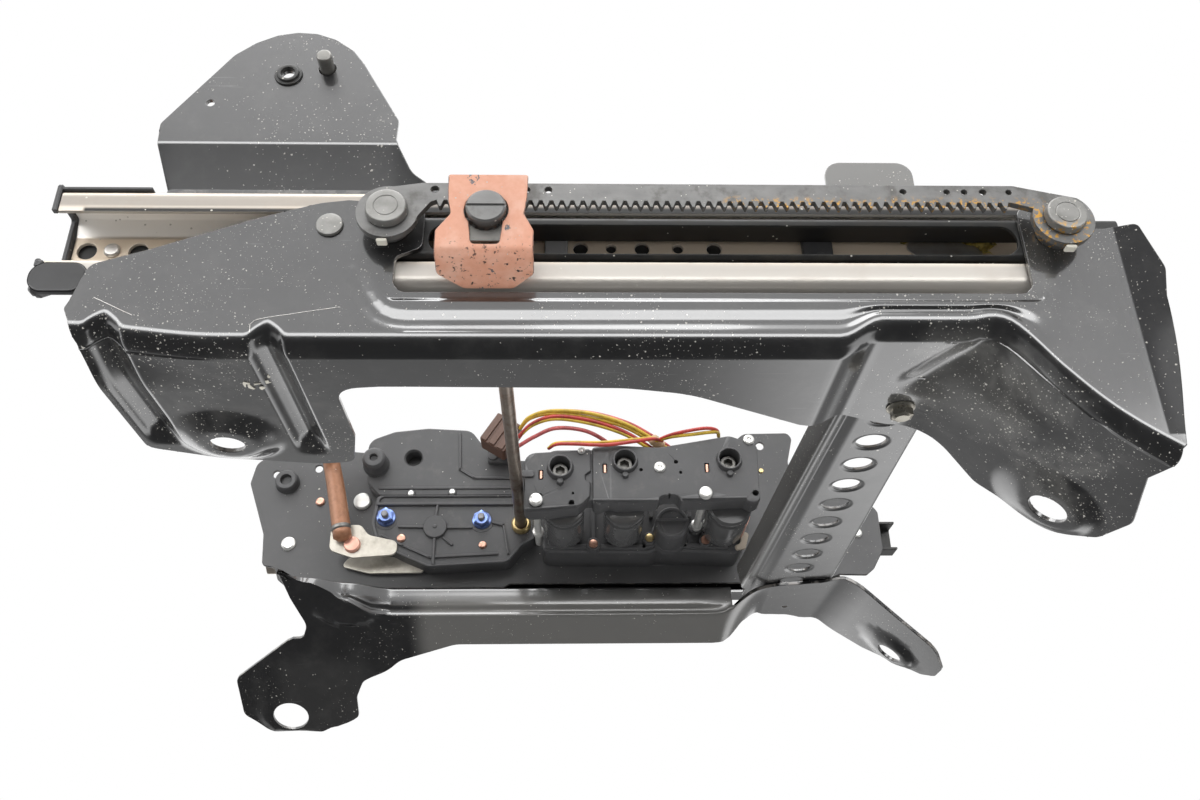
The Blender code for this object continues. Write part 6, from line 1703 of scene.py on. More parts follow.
def farLevel(x, y):
    look = farFrame
    footX, footY, footZ = look["leftFoot"]
    flange = footZ - math.tan(math.radians(look["slope"])) * (y - footY)
    otherX, otherY, otherZ = look["rightFoot"]
    right = otherZ - math.tan(math.radians(look["rightSlope"])) * (x - otherX)
    pad = lowerOf(look["pad"], right, 10)
    level = flange + (pad - flange) * ramp(x, *look["padBlend"])
    if x < 0:
        level = lowerOf(level, look["shelf"] + 1.5, 2)
    middleX, middleY, halfX, halfY, depth = look["dish"]
    level += ringDish(math.hypot((x - middleX) / halfX, (y - middleY) / halfY), 0.5, 1, depth)
    left = math.hypot(x - footX, (y - footY) / math.cos(math.radians(look["slope"])))
    level += ringDish(left, look["flat"][0], look["reach"][0], look["depth"])
    other = math.hypot((x - otherX) / math.cos(math.radians(look["rightSlope"])), y - otherY)
    return level + ringDish(other, look["flat"][1], look["reach"][1], look["depth"])


def farRaw(x, row):
    look = farFrame
    front = farFront(x)
    if row > look["web"]:
        y = front + (row - look["web"])
        return Vector((x, y, farLevel(x, y)))
    topY = front + (look["shelfFront"] - look["webFoot"])
    if row > 0:
        share = row / look["web"]
        low = farLevel(x, front)
        fade = ramp(x, -176, -140) * (1 - ramp(x, look["shelfEnd"] - 30, look["shelfEnd"] + 6))
        middle, half, deep = look["bead"]
        into = deep * (1 - ramp(abs(row - middle), 0, half))
        middle, half, deep = look["swell"]
        into -= deep * (1 - ramp(abs(row - middle), 0, half))
        return Vector((x, topY + (front - topY) * share + into * fade,
                look["shelf"] + (low - look["shelf"]) * share))
    share = -row / (look["shelfBack"] - look["shelfFront"])
    return Vector((x, topY + (look["shelfBack"] - topY) * share, look["shelf"]))


def farPlace(x, row):
    look = farFrame
    spread = 2 * (1 - ramp(x, look["shelfEnd"] - 8, look["shelfEnd"] + 14))
    spread *= 1 - ramp(row, look["web"] + 4, look["web"] + 8)
    steps = range(-4, 5) if spread > 0.05 else (0,)
    total = Vector((0, 0, 0))
    for step in steps:
        total += farRaw(x, row + spread * step / 4)
    total /= len(steps)
    total.z = max(total.z, look["lowest"])
    return total


def farRow(x, y):
    return farFrame["web"] + y - farFront(x)


def makeFarFrame():
    look = farFrame
    back = -(look["shelfBack"] - look["shelfFront"])
    web = look["web"]
    outline = [(-200, back, 4), (look["shelfEnd"], back, 4), (look["shelfEnd"], web - 2, 4), (126, web)]
    outline += [(140, web), (160, web), (180, web), (196, web, 6)]
    lower = [
        (228, 344, 16), (257, 350, 14), (267, 372, 14), (267.5, 392, 12), (262, 405, 8), (228, 434.6, 14),
        (206, 444, 10), (168, 426, 12), (150, 426, 10), (128, 392, 10), (108, 388, 8), (-84, 388, 30),
        (-127, 401, 20), (-154.6, 417.7, 12), (-160.4, 430, 8), (-160.6, 446, 6), (-178, 455, 8),
        (-191, 459.5, 8),
        (-229, 457, 8), (-247, 444, 7), (-247.9, 414, 7), (-194, 382, 12), (-190, 372, 8), (-199, 352, 6),
    ]
    outline += [(p[0], farRow(p[0], p[1])) + tuple(p[2:]) for p in lower]
    outline += [(-205.5, web, 4), (-200, 0)]
    cosLeft = math.cos(math.radians(look["slope"]))
    cosRight = math.cos(math.radians(look["rightSlope"]))
    footX, footY, _ = look["leftFoot"]
    otherX, otherY, _ = look["rightFoot"]

    def turned(loop):
        return [(a, farRow(a, b)) for a, b in loop]

    loops = [
        roundLoop(outline, 6), turned(ellipseLoop(footX, footY, look["leftHole"],
                look["leftHole"] * cosLeft, count=48)),
        turned(ellipseLoop(otherX, otherY, look["rightHole"] * cosRight, look["rightHole"], count=48)),
        turned(ellipseLoop(164.6, 405.6, 2, count=16)),
    ]
    lines = spaced(-246, 266, look["net"])
    rows = spaced(back, -6, 9) + spaced(-4, web + 6, 1) + spaced(web + 9, web + 118, look["net"])
    made = sheetPiece("farFramePressing", loops, lines, rows, farPlace, look["sheet"], "farPaint")
    putOn(made, "floor_frame", "black_paint", "far_floor_frame")


# Stand of the far rail

stand = {"sheet": 2.5, "foot": 22, "base": 15.3, "face": 411.8, "high": 73, "left": -190, "right": 212}


def makeStand():
    look = stand
    back = look["face"] + look["sheet"]
    path = BentPath([(back - look["foot"], look["base"]), (back, look["base"], 3.5), (back, look["high"])],
        8)
    top = path.length
    loops = [roundLoop([(look["left"], 0, 3), (look["right"], 0, 3), (look["right"], top, 8),
                (look["left"], top, 8)], 6)]
    for x, z in rails["standHoles"]:
        loops.append(ellipseLoop(x, path.near(back, z), 3.6, count=24))
    made = sheetPiece("standPressing", loops, spaced(look["left"], look["right"], 20), path.bends(),
        alongX(path), look["sheet"], "cleanPaint")
    putOn(made, "floor_frame", "black_paint", "far_rail_stand")
    guideBack = rails["farMirror"] - rails["guideFront"] - rails["guideSheet"]
    outside = back + 0.3
    for side, (x, z) in zip(("left", "right"), rails["standHoles"]):
        rivet = lathePiece("standRivet" + side, [
            (guideBack - 2.1, 0), (guideBack - 2.1, 4, 0.8), (guideBack - 0.3, 4.8, 0.3),
                (guideBack - 0.3, 3), (outside, 3),
            (outside, 5.5, 0.2), (outside + 1.2, 4.6, 0.7), (outside + 1.2, 0),
        ], (x, z), "zinc")
        putOn(rivet, "floor_frame", "bright_steel", "stand_rivet_" + side)
    spacer = blockPiece("standSpacer", (158, 393, 10.8), (186, 409, look["base"] - 0.3), "rack", 1.2, 0.4)
    putOn(spacer, "floor_frame", "dark_steel", "stand_spacer")


# Carrier plate and the pieces on it

carrier = {"face": 385, "sheet": 2.5, "seat": 384.7}


def makeCarrier():
    look = carrier
    outline = [
        (-210, 17.5, 2), (-219, 25, 3), (-222, 34, 4), (-232, 36, 4), (-234, 61, 8), (-249.5, 103, 6),
        (-246, 122, 9), (-205, 133, 14), (-150, 128, 20), (-60, 122, 20), (60, 122, 20), (118, 126, 10),
        (140, 145.5, 9), (176, 146.2, 6), (179, 141, 5), (173, 117, 8), (190, 104, 8), (230, 92, 10),
        (240.7, 77.7, 6), (240.6, 46, 6), (232, 31.5, 5), (225.6, 26.3, 3), (204.6, 26.8, 4),
        (188, 20.5, 4), (-45, 20.5, 2), (-50, 17.5, 2),
    ]
    loops = [
        roundLoop(outline, 6), ellipseLoop(-229.7, 110.4, 3), ellipseLoop(-197.5, 115.2, 3),
        ellipseLoop(152.6, 134.5, 3.2),
    ]
    plate = platePiece("carrierPlate", loops, look["face"], look["face"] + look["sheet"], "carrierPaint",
        rim=0.6)
    putOn(plate, "carriage", "black_paint", "far_carrier_plate")
    seat = look["seat"]
    bush = lathePiece("carrierBush", [
        (seat, 0), (seat, 9.4), (seat - 1.2, 9, 0.5), (seat - 5.6, 8.6, 0.8), (seat - 7, 7.4, 0.6),
            (seat - 7, 4.4, 0.5), (seat - 3, 4), (seat - 3, 0),
    ], (-220.3, 103.1), "plastic", count=48)
    putOn(bush, "carriage", "black_plastic", "carrier_bush")
    rivet = lathePiece("carrierRivet",
        [(seat, 0), (seat, 5.6), (seat - 1, 5.3, 0.5), (seat - 1.8, 3.6, 0.8), (seat - 1.9, 0)],
        (-213.8, 52.8), "paleZinc")
    putOn(rivet, "carriage", "bright_steel", "carrier_rivet")
    washer = lathePiece("carrierWasher",
        [(seat, 0), (seat, 6.8), (seat - 1.6, 6.8, 0.3), (seat - 2, 6.2, 0.3), (seat - 2.6, 5.6, 0.4),
            (seat - 2.7, 0)], (-160.7, 87), "paleZinc", count=56)
    putOn(washer, "carriage", "bright_steel", "carrier_washer")
    for name, x, z, radius, finish in (
        ("carrierStudUpper", -193.4, 87, 3.6, "copper"), ("carrierStudFar", 222, 60, 4, "paleZinc"),
    ):
        stud = lathePiece(name, [(seat, 0), (seat, radius), (seat - 0.9, radius - 0.3, 0.3),
                (seat - 1.4, radius * 0.6, 0.3), (seat - 1.4, 0)], (x, z), finish)
        putOn(stud, "carriage", "copper" if finish == "copper" else "bright_steel")


# Gear covers on the carrier

covers = {"upperFace": 371, "lowerFace": 366, "seat": 384.7, "nuts": ((-138.2, 66.3), (-66.3, 64.1))}


def ribOf(face, x1, z1, x2, z2, wide, deep):
    # A standing rib between two places on a face.
    run = Vector((x2 - x1, z2 - z1)).normalized() * (wide / 2)
    side = Vector((-run.y, run.x))
    corners = [
        (x1 - run.x - side.x, z1 - run.y - side.y, wide * 0.3),
        (x2 + run.x - side.x, z2 + run.y - side.y, wide * 0.3),
        (x2 + run.x + side.x, z2 + run.y + side.y, wide * 0.3),
        (x1 - run.x + side.x, z1 - run.y + side.y, wide * 0.3),
    ]
    return platePiece("rib", [roundLoop(corners, 3)], face - deep, face + 0.6, "plastic",
        rim=min(0.45, wide * 0.2))


def bossOf(name, face, x, z, radius, high, bore=0):
    profile = [(face + 0.6, 0), (face + 0.6, radius + 0.3), (face - high + 0.4, radius, 0.4),
        (face - high, radius - 0.5, 0.3)]
    if bore > 0:
        profile += [(face - high, bore, 0.2), (face - high + 2.2, bore * 0.9), (face - high + 2.2, 0)]
    else:
        profile += [(face - high, 0)]
    return lathePiece(name, profile, (x, z), "plastic", count=32)


def makeGearCovers():
    look = covers
    seat, face = look["seat"], look["upperFace"]
    upper = [
        (-156, 97, 4), (-158, 133, 10), (-138, 141, 12), (-112, 144, 20), (-78, 142, 10),
        (-66, 126, 8), (-40, 120, 8), (-38, 86, 4), (-146, 86, 4),
    ]
    bodies = [platePiece("upperCover", [roundLoop(upper, 6), ellipseLoop(-121.7, 118, 6.2, count=32)], face,
            seat, "plastic", rim=1.2)]
    for run in (  # x, z, x, z, width, height
        (-85, 108, -86.5, 138, 2.2, 1.4), (-85, 108, -74, 101, 2.2, 1.4), (-74, 101, -46, 100.5, 2.2, 1.4),
        (-146, 92.5, -42, 92.5, 2, 1),
    ):
        bodies.append(ribOf(face, *run))
    bodies.append(blockPiece("coverPost", (-57, 351.3, 118), (-45, face + 2, 128), "plastic", 3, 0.9))
    bodies.append(blockPiece("coverWeb", (-64, face - 4, 112), (-40.5, face + 1, 124), "plastic", 3, 0.9))
    for x, z, radius, high in ((-121.7, 88, 3.4, 1), (-90.3, 89, 3.4, 1), (-60, 118, 4, 5)):
        bodies.append(bossOf("coverBoss", face, x, z, radius, high))
    putOn(joined("gearCoverUpper", bodies), "carriage", "black_plastic", "gear_cover")
    bush = lathePiece("coverBush", [
        (face - 0.3, 0), (face - 0.3, 10.4, 0.4), (face - 3, 9.4, 1), (face - 13, 9, 1.6),
            (face - 15, 7, 1), (face - 15, 3, 0.5), (face - 12, 2.6), (face - 12, 0),
    ], (-150, 112), "plastic", count=40)
    putOn(bush, "carriage", "black_plastic", "cover_bush")
    for index, (x, z) in enumerate(((-121.7, 88), (-90.3, 89))):
        screw = lathePiece("coverScrew%d" % index,
            [(face - 0.8, 0), (face - 0.8, 2.3), (face - 1.6, 2.1, 0.3), (face - 1.9, 1, 0.3),
                (face - 1.6, 0)], (x, z), "paleZinc", count=24)
        putOn(screw, "carriage", "bright_steel")
    face = look["lowerFace"]
    lower = [
        (-146, 84, 4), (-149, 62, 8), (-143.6, 46, 8), (-124, 36, 12), (-104.5, 27.5, 10),
        (-46, 31, 8), (-36, 44, 6), (-26, 50, 6), (-24, 74, 8), (-38, 84, 4),
    ]
    bore = ellipseLoop(rack["pinionX"], pinionZ, 4.8, count=32)
    bodies = [platePiece("lowerCover", [roundLoop(lower, 6), bore], face, look["seat"], "plastic", rim=1.2)]
    rim = roundLoop(lower, 6)
    middle = Vector((-88, 58))
    inside = [tuple(middle + (Vector(point) - middle) * 0.955) for point in rim]
    bodies.append(platePiece("coverLip", [rim, inside], face - 1.6, face + 0.5, "plastic", rim=0.35))
    for run in (  # x, z, x, z, width, height
        (-145, 77, -40, 77, 2.4, 2.6), (-128, 59, -110, 58.6, 1.8, 2), (-92, 58.2, -74, 58.2, 1.8, 2),
        (-101, 49, -101, 30, 2.2, 2.2),
        (-101, 67, -100, 77, 2.2, 2.2), (-94, 50, -88, 45, 2, 1.8), (-58, 62, -50, 60, 1.8, 2),
        (-50, 60, -46, 38, 1.8, 2),
        (-140, 52, -124, 44, 1.8, 1.8), (-124, 44, -104, 35, 1.8, 1.8), (-104, 35, -54, 37.5, 1.8, 1.8),
    ):
        bodies.append(ribOf(face, *run))
    bodies.append(bossOf("roundBoss", face, -101, 58.4, 8.8, 3))
    bodies.append(bossOf("roundBossMark", face - 3, -101, 58.4, 1.6, 0.5))
    for x, z in look["nuts"]:
        bodies.append(bossOf("nutSeat", face, x, z - 1, 9, 0.25))
    bodies.append(bossOf("shaftSeat", face, rack["pinionX"], pinionZ - 3, 4, 0.2))
    putOn(joined("gearCoverLower", bodies), "carriage", "black_plastic", "gear_housing")
    for side, (x, z) in zip(("left", "right"), look["nuts"]):
        seatFace = face - 0.3
        nut = lathePiece("coverNut" + side, [
            (seatFace, 0), (seatFace, 7.2), (seatFace - 1.2, 7, 0.3), (seatFace - 1.7, 5.6, 0, "hex"),
                (seatFace - 5.2, 5.6, 0, "hex"), (seatFace - 6, 4.6, 0.3), (seatFace - 6, 2.9, 0.1),
                (seatFace - 6, 0),
        ], (x, z), "blue", count=48)
        stud = lathePiece("coverStud" + side, [
            (seatFace - 5, 0), (seatFace - 5, 2.6)]
            + [(seatFace - 5.6 - 0.35 * turn, 2.6 - 0.25 * (turn % 2)) for turn in range(11)]
            + [(seatFace - 9.7, 2, 0.3), (seatFace - 9.7, 0),
        ], (x, z), "darkStud", count=28)
        putOn(nut, "carriage", "blue_zinc", "cover_nut_" + side)
        putOn(stud, "carriage", "dark_steel")
    for name, x, z, radius in (("coverRivetLeft", -125.8, 50, 3.1), ("coverRivetRight", -65, 44.5, 2.9)):
        stud = lathePiece(name, [(face + 0.2, 0), (face + 0.2, radius + 0.2), (face - 1, radius, 0.4),
                (face - 1.5, radius * 0.6, 0.4), (face - 1.5, 0)], (x, z), "copper", count=24)
        putOn(stud, "carriage", "copper")


# Drive unit

drive = {
    "face": 283, "plate": 17, "back": 352, "level": 50, "radius": 15.5,
    "sockets": ((-6.8, 70.5), (38, 75.1), (110.4, 76)),
    "outer": 8.8, "inner": 6.9, "deep": 13, "proud": 4,
    "motors": (("left", -4), ("middle", 38), ("right", 112)),
    "bolts": (("left", -23.1, 46.4), ("right", 92.6, 51)), "boltRadius": 2.6, "coupling": 5.6,
    "seat": 384.7,
    "names": ("drive_coupling_left", "drive_coupling_middle", "drive_coupling_right"),
    "brushes": ((-20, 65.6), (24, 70), (94.7, 70.4)), "flat": 13.6,
}


def makeHousing():
    look = drive
    face, back = look["face"], look["face"] + look["plate"]
    leftPart = [
        (-31.5, 38.5, 4), (-14, 39, 4), (5, 41.5, 5), (9, 45, 4), (13.6, 49, 2), (14.4, 60, 2),
        (10.8, 62, 1.5), (10.8, 66, 1.5), (14.4, 68, 1.5), (14.4, 85.6, 2),
        (0, 84, 6), (-31.5, 82, 8),
    ]
    rightPart = [
        (15.4, 44, 4), (20, 43, 4), (27, 45.5, 4), (33, 44, 3), (60, 45, 2), (62, 49.5, 4), (74, 50, 4),
        (76, 45, 2),
        (120, 46.5, 3), (124, 43.5, 3), (130.5, 46, 4), (130, 58, 6), (131, 88, 5), (112, 95, 8),
        (62, 86, 20), (28, 88, 8), (15.4, 86, 2),
    ]
    boltHoles = [ellipseLoop(x, z, look["boltRadius"] + 0.4, count=24) for _, x, z in look["bolts"]]
    bodies = [
        platePiece("motorFaceLeft", [roundLoop(leftPart, 5), boltHoles[0]], face + 0.8, back, "plastic",
            rim=0.8),
        platePiece("motorFaceRight", [roundLoop(rightPart, 5), boltHoles[1]], face, back, "plastic",
            rim=0.8),
        blockPiece("motorFaceCore", (6, face + 3, 47), (24, back - 1, 83), "plastic", 2, 0.5),
    ]
    proud = face - look["proud"]
    for x, z in look["sockets"]:
        bodies.append(lathePiece("socketRim", [
            (face + 2, 0), (face + 2, look["outer"] + 1), (face + 0.2, look["outer"] + 0.4, 0.5),
                    (proud + 0.4, look["outer"] - 0.3, 0.4), (proud, look["outer"] - 0.8, 0.3), (proud, 0),
        ], (x, z), "plastic", count=48))
        bodies.append(bossOf("socketDrip", face, x, z - 10.4, 2.2, 2.6))
    bores = [lathePiece("bore", [
        (proud - 2, 0), (proud - 2, look["inner"] + 0.6), (proud, look["inner"] + 0.4),
                (proud + 1, look["inner"]), (face + look["deep"], look["inner"] - 0.3),
                (face + look["deep"], 0),
    ], socket, "plastic", count=48) for socket in look["sockets"]]
    slots = []
    for x, z in look["brushes"]:
        slots.append(blockPiece("slot", (x - 1.7, face - 3, z - 3.6), (x + 1.7, face + 6, z + 3.6),
                "plastic", 0.5, 0.1))
    for x, z, radius in ((-20.6, 50.4, 1.9), (1, 45, 2.2), (49, 69, 1.3), (73.5, 75, 1.6), (76.4, 67, 1.2),
        (127, 51.5, 2.3), (2, 52, 1), (68, 50.5, 1)):
        slots.append(lathePiece("pit", [(face - 2, 0), (face - 2, radius), (face + 6, radius * 0.9),
                    (face + 6, 0)], (x, z), "plastic", count=20))
    for run in (  # x, z, x, z, width, height
        (-30, 40.2, 4, 42.6, 1.6, 1), (16, 46.6, 60, 46.6, 1.6, 1), (77, 47.6, 120, 48.2, 1.6, 1),
        (-31, 66, -27, 66, 5, 1.2),
    ):
        bodies.append(ribOf(face + 0.4, *run))
    housing = fused(bodies[1], [bodies[0]] + bodies[2:])
    fused(housing, bores + slots, "DIFFERENCE")
    housing.name = "motorFace"
    putOn(housing, "carriage", "black_plastic", "drive_housing")
    floor = face + look["deep"] - 0.3
    for name, socket in zip(look["names"], look["sockets"]):
        coupling = lathePiece(name.replace("drive_coupling_", "coupling"), [
            (floor, 0), (floor, look["coupling"]), (floor - 7.6, look["coupling"], 0.4),
                (floor - 8, look["coupling"] - 0.5, 0.2), (floor - 8, 3.1, 0, "hex"),
            (floor - 2.5, 3, 0, "hex"), (floor - 2.5, 0),
        ], socket, "pinSteel", count=48)
        putOn(coupling, name, "dark_steel", name)
    for index, (x, z) in enumerate(look["brushes"]):
        tongue = blockPiece("brushTongue%d" % index, (x - 0.7, face + 0.6, z - 2.9),
            (x + 0.9, face + 4.6, z + 2.9), "copper", 0.3, 0.15)
        putOn(tongue, "carriage", "copper")
    for name, x, z, radius in (("faceScrewMiddle", 62, 70.7, 4), ("faceScrewUpper", 125.3, 91.6, 3.8),
        ("faceScrewTop", 8, 83.5, 2.6)):
        screw = lathePiece(name, [
            (face + 0.4, 0), (face + 0.4, radius), (face - 0.8, radius, 0.3), (face - 1.5, radius - 1, 0.4),
                (face - 1.7, 1.5), (face - 0.9, 0.9), (face - 0.8, 0),
        ], (x, z), "paleZinc", count=36)
        putOn(screw, "carriage", "bright_steel")
    side = lathePiece("faceScrewSide",
        [(face + 1, 0), (face + 1, 1.7), (face - 0.6, 1.6, 0.3), (face - 0.8, 0)], (132.2, 68), "gold",
        count=20)
    putOn(side, "carriage", "bright_steel")


def makeMotors():
    look = drive
    back = look["face"] + look["plate"]
    for side, x in look["motors"]:
        body = lathePiece("motorBody" + side, [
            (back + 0.3, 0), (back + 0.3, look["radius"] - 1.5), (back + 2, look["radius"] - 0.2, 0.8),
                (back + 5, look["radius"] - 0.2, 0.3), (back + 5.6, look["radius"] - 1.4, 0.3),
            (back + 8, look["radius"] - 1.4, 0.3), (back + 8.8, look["radius"], 0.5),
                (look["back"] - 8, look["radius"], 0.8),
            (look["back"] - 6, look["radius"] - 1.8, 0.6), (look["back"] - 0.3, look["radius"] - 2, 0.4),
                (look["back"] - 0.3, 0),
        ], (x, look["level"]), "glossPlastic", count=56)
        if side != "right":
            cut = []
            for left in (x - look["flat"] - 10, x + look["flat"]):  # flats along both sides of a can
                low = (left, back - 5, look["level"] - 30)
                high = (left + 10, look["back"] + 5, look["level"] + 30)
                cut.append(blockPiece("flat", low, high, "glossPlastic", 0, 0.1))
            fused(body, cut, "DIFFERENCE")
        putOn(body, "carriage", "black_plastic", "motor_" + side)
    angles = [math.radians(-42 + 9 * step) for step in range(7)]
    outer, inner = (
        [(112 + reach * math.cos(angle), look["level"] + reach * math.sin(angle)) for angle in angles]
        for reach in (15.9, 15.6)
    )
    strip = platePiece("motorCopperBand", [outer + inner[::-1]], back + 14, back + 40, "brightCopper",
        rim=0.08)
    putOn(strip, "carriage", "copper")
    tab = [(121, 33, 1.5), (128, 34, 1.5), (131.5, 46, 2.5), (126.5, 47, 2), (124, 38, 2), (120.5, 36.5, 1)]
    pale = platePiece("beigeTab", [roundLoop(tab, 4)], look["back"] - 6, look["back"] - 3.4, "beige",
        rim=0.3)
    putOn(pale, "carriage", "brown_plastic")


def makeGearBlock():
    look = drive
    back, seat = look["back"], look["seat"]
    block = [
        (-20, 34, 6), (58, 33, 6), (64, 36, 4), (84, 34, 6), (124, 33, 8), (132, 46, 6), (132, 96, 8),
        (118, 118, 8), (-20, 116, 10),
    ]
    hole = ellipseLoop(look["bolts"][1][1], look["bolts"][1][2], look["boltRadius"] + 0.4, count=24)
    bodies = [platePiece("gearBlockBody", [roundLoop(block, 6), hole], back, seat, "plastic", rim=1.4)]
    bodies.append(lathePiece("gearDisc", [
        (back + 1, 0), (back + 1, 14), (back - 4, 13.4, 0.6), (back - 4.5, 12.4, 0.4),
                (back - 28.5, 12, 0.8), (back - 30, 11, 0.5), (back - 30, 9.5, 0.3), (back - 29.2, 9, 0.3),
                (back - 29.2, 0),
    ], (73, 45.5), "plastic", count=56))
    bodies.append(blockPiece("gearDiscBar", (61, back - 30.6, 46.4), (85, back - 20, 48), "plastic", 0.7,
            0.3))
    for run in (  # x, z, x, z, width, height
        (-17, 37.5, 54, 36.5, 3, 4), (54, 36.5, 64, 39.5, 3, 4), (64, 39.5, 84, 37.5, 3, 4),
        (84, 37.5, 116, 36.8, 3, 4),
        (116, 36.8, 127, 48, 3, 4), (17, 40, 17, 80, 3.2, 5), (60, 60, 60, 90, 3, 6),
        (88, 60, 88, 92, 3, 6),
    ):
        bodies.append(ribOf(back, *run))
    for x, z, radius, high in ((17, 37.6, 5, 7), (58, 42, 4.6, 7), (99, 40.6, 4.6, 6), (-12, 40, 4, 5),
        (92.6, 51, 5, 4)):
        bodies.append(bossOf("blockBoss", back, x, z, radius, high, 2.8 if x == 92.6 else 0))
    putOn(joined("gearBlock", bodies), "carriage", "black_plastic", "gear_block")
    for name, x, z, radius, finish, high in (
        ("blockRivetLeft", 17, 37.6, 3.4, "copper", 7), ("blockRivetMiddle", 58, 42, 3.3, "gold", 7),
        ("blockRivetRight", 99, 40.6, 3.5, "copper", 6),
    ):
        stud = lathePiece(name, [(back - high + 0.2, 0), (back - high + 0.2, radius),
                (back - high - 1, radius - 0.3, 0.4), (back - high - 1.5, 0)], (x, z), finish, count=24)
        putOn(stud, "carriage", "copper" if finish == "copper" else "bright_steel")


def makeBolts():
    look = drive
    for side, x, z in look["bolts"]:
        end = look["back"] + 6 if side == "right" else covers["lowerFace"] - 0.3
        head = look["face"] - 0.3
        bolt = lathePiece("longBolt" + side, [
            (head - 2.8, 0), (head - 2.9, 2.8, 0.5), (head - 2.3, 4.4, 0.5), (head, 4.7, 0.3),
                (head, look["boltRadius"]), (head + 17.5, look["boltRadius"]),
            (head + 58, look["boltRadius"]), (head + 58.4, look["boltRadius"] + 1.5, 0.4),
                (head + 62.5, look["boltRadius"] + 1.5, 0.4), (head + 63, look["boltRadius"]),
                (end, look["boltRadius"]), (end, 0),
        ], (x, z), "paleZinc", count=40)
        putOn(bolt, "carriage", "bright_steel", "housing_bolt_" + side)


# Cross rod, lever, connector and wires

rod = {
    "radius": 6, "leverFace": 363.5, "sheet": 2.2,
    "route": (
        (-184, 10.3, 128), (-184, 50.3, 128), (-184.5, 170, 127), (-185, 300, 126), (-184, 335.2, 121),
        (-181, 354.2, 107), (-174.5, 357.2, 80), (-167.5, 357.2, 48),
    ),
}


def throughPoints(points, step):
    knots = [Vector(point) for point in points]
    knots = [knots[0] * 2 - knots[1]] + knots + [knots[-1] * 2 - knots[-2]]
    made = []
    for one, two, three, four in zip(knots, knots[1:], knots[2:], knots[3:]):
        parts = max(2, int((three - two).length / step))
        for index in range(parts):
            t = index / parts
            made.append(0.5 * (two * 2 + (three - one) * t + (one * 2 - two * 5 + three * 4 - four) * t * t
                    + (two * 3 - one - three * 3 + four) * t * t * t))
    made.append(knots[-2])
    return made


def tubePiece(name, route, radius, finish, step=3, count=20, radii=None):
    # A round bar or wire along a route, with rounded ends.
    centres = throughPoints(route, step)
    side = Vector((1, 0, 0))
    points = []
    last = len(centres) - 1
    rings = []
    for index, centre in enumerate(centres):
        along = (centres[min(index + 1, last)] - centres[max(index - 1, 0)]).normalized()
        side = (side - along * side.dot(along)).normalized()
        up = along.cross(side)
        scale = radii(index / last) if radii else 1
        if index == 0:
            rings += [(centre - along * radius * 0.35, side, up, radius * 0.7),
                (centre - along * radius * 0.12, side, up, radius * 0.94)]
        rings.append((centre, side, up, radius * scale))
        if index == last:
            rings += [(centre + along * radius * 0.12, side, up, radius * 0.94),
                (centre + along * radius * 0.35, side, up, radius * 0.7)]
    for centre, across, up, reach in rings:
        for turn in range(count):
            angle = 2 * math.pi * turn / count
            points.append(centre + across * (reach * math.cos(angle)) + up * (reach * math.sin(angle)))
    faces = [tuple(range(count)), tuple((len(rings) - 1) * count + turn for turn in reversed(range(count)))]
    for row in range(len(rings) - 1):
        for turn in range(count):
            after = (turn + 1) % count
            faces.append((row * count + turn, row * count + after, (row + 1) * count + after,
                    (row + 1) * count + turn))
    made = newObject(name, points, faces, finish)
    settle(made, 60)
    return made


def makeRod():
    look = rod
    bar = tubePiece("crossRod", look["route"], look["radius"], "rod", 4, 32,
        radii=lambda share: 1 + 0.14 * ramp(share, 0.8, 0.97))
    putOn(bar, "carriage", "brown_rod", "cross_rod")
    ring = lathePiece("rodFerrule", [(0, 0), (0, 6.6), (1.4, 7.4, 0.5), (3.6, 7.4, 0.5), (4.4, 6.6),
            (4.4, 0)], (0, 0), "pinSteel", axis="Z", count=32)
    tilt = Vector((-7, 0, 32)).to_track_quat("Z", "Y").to_matrix().to_4x4()
    move = Matrix.Translation((Vector((-168.6, 357.2, 52.6)) + trackShift)
        * mm) @ tilt @ Matrix.Translation(-trackShift * mm)
    ring.data.transform(move)
    putOn(ring, "carriage", "dark_steel")
    lever = [(-178, 60, 6), (-178, 40, 6), (-160, 34, 5), (-128, 36.5, 5), (-128, 47, 5), (-150, 52, 8),
        (-156, 60, 6)]
    plate = platePiece("leverPlate", [roundLoop(lever, 6)], look["leverFace"],
        look["leverFace"] + look["sheet"], "beigeSteel", rim=0.4)
    under = [(-172, 33, 5), (-150, 27.5, 6), (-108, 28, 4), (-112, 36, 8), (-140, 42, 10), (-166, 40, 5)]
    second = platePiece("leverBackPlate", [roundLoop(under, 6)], 380, 382.2, "beigeSteel", rim=0.4)
    putOn(plate, "carriage", "bright_steel", "lever_plate")
    putOn(second, "carriage", "bright_steel")
    seat = look["leverFace"] - 0.3
    rivet = lathePiece("leverRivet", [(seat, 0), (seat, 6.2), (seat - 1.8, 6, 0.6), (seat - 2.8, 5.2, 0.8),
            (seat - 3, 0)], (-161, 44), "brightCopper", count=48)
    putOn(rivet, "carriage", "copper", "lever_rivet")


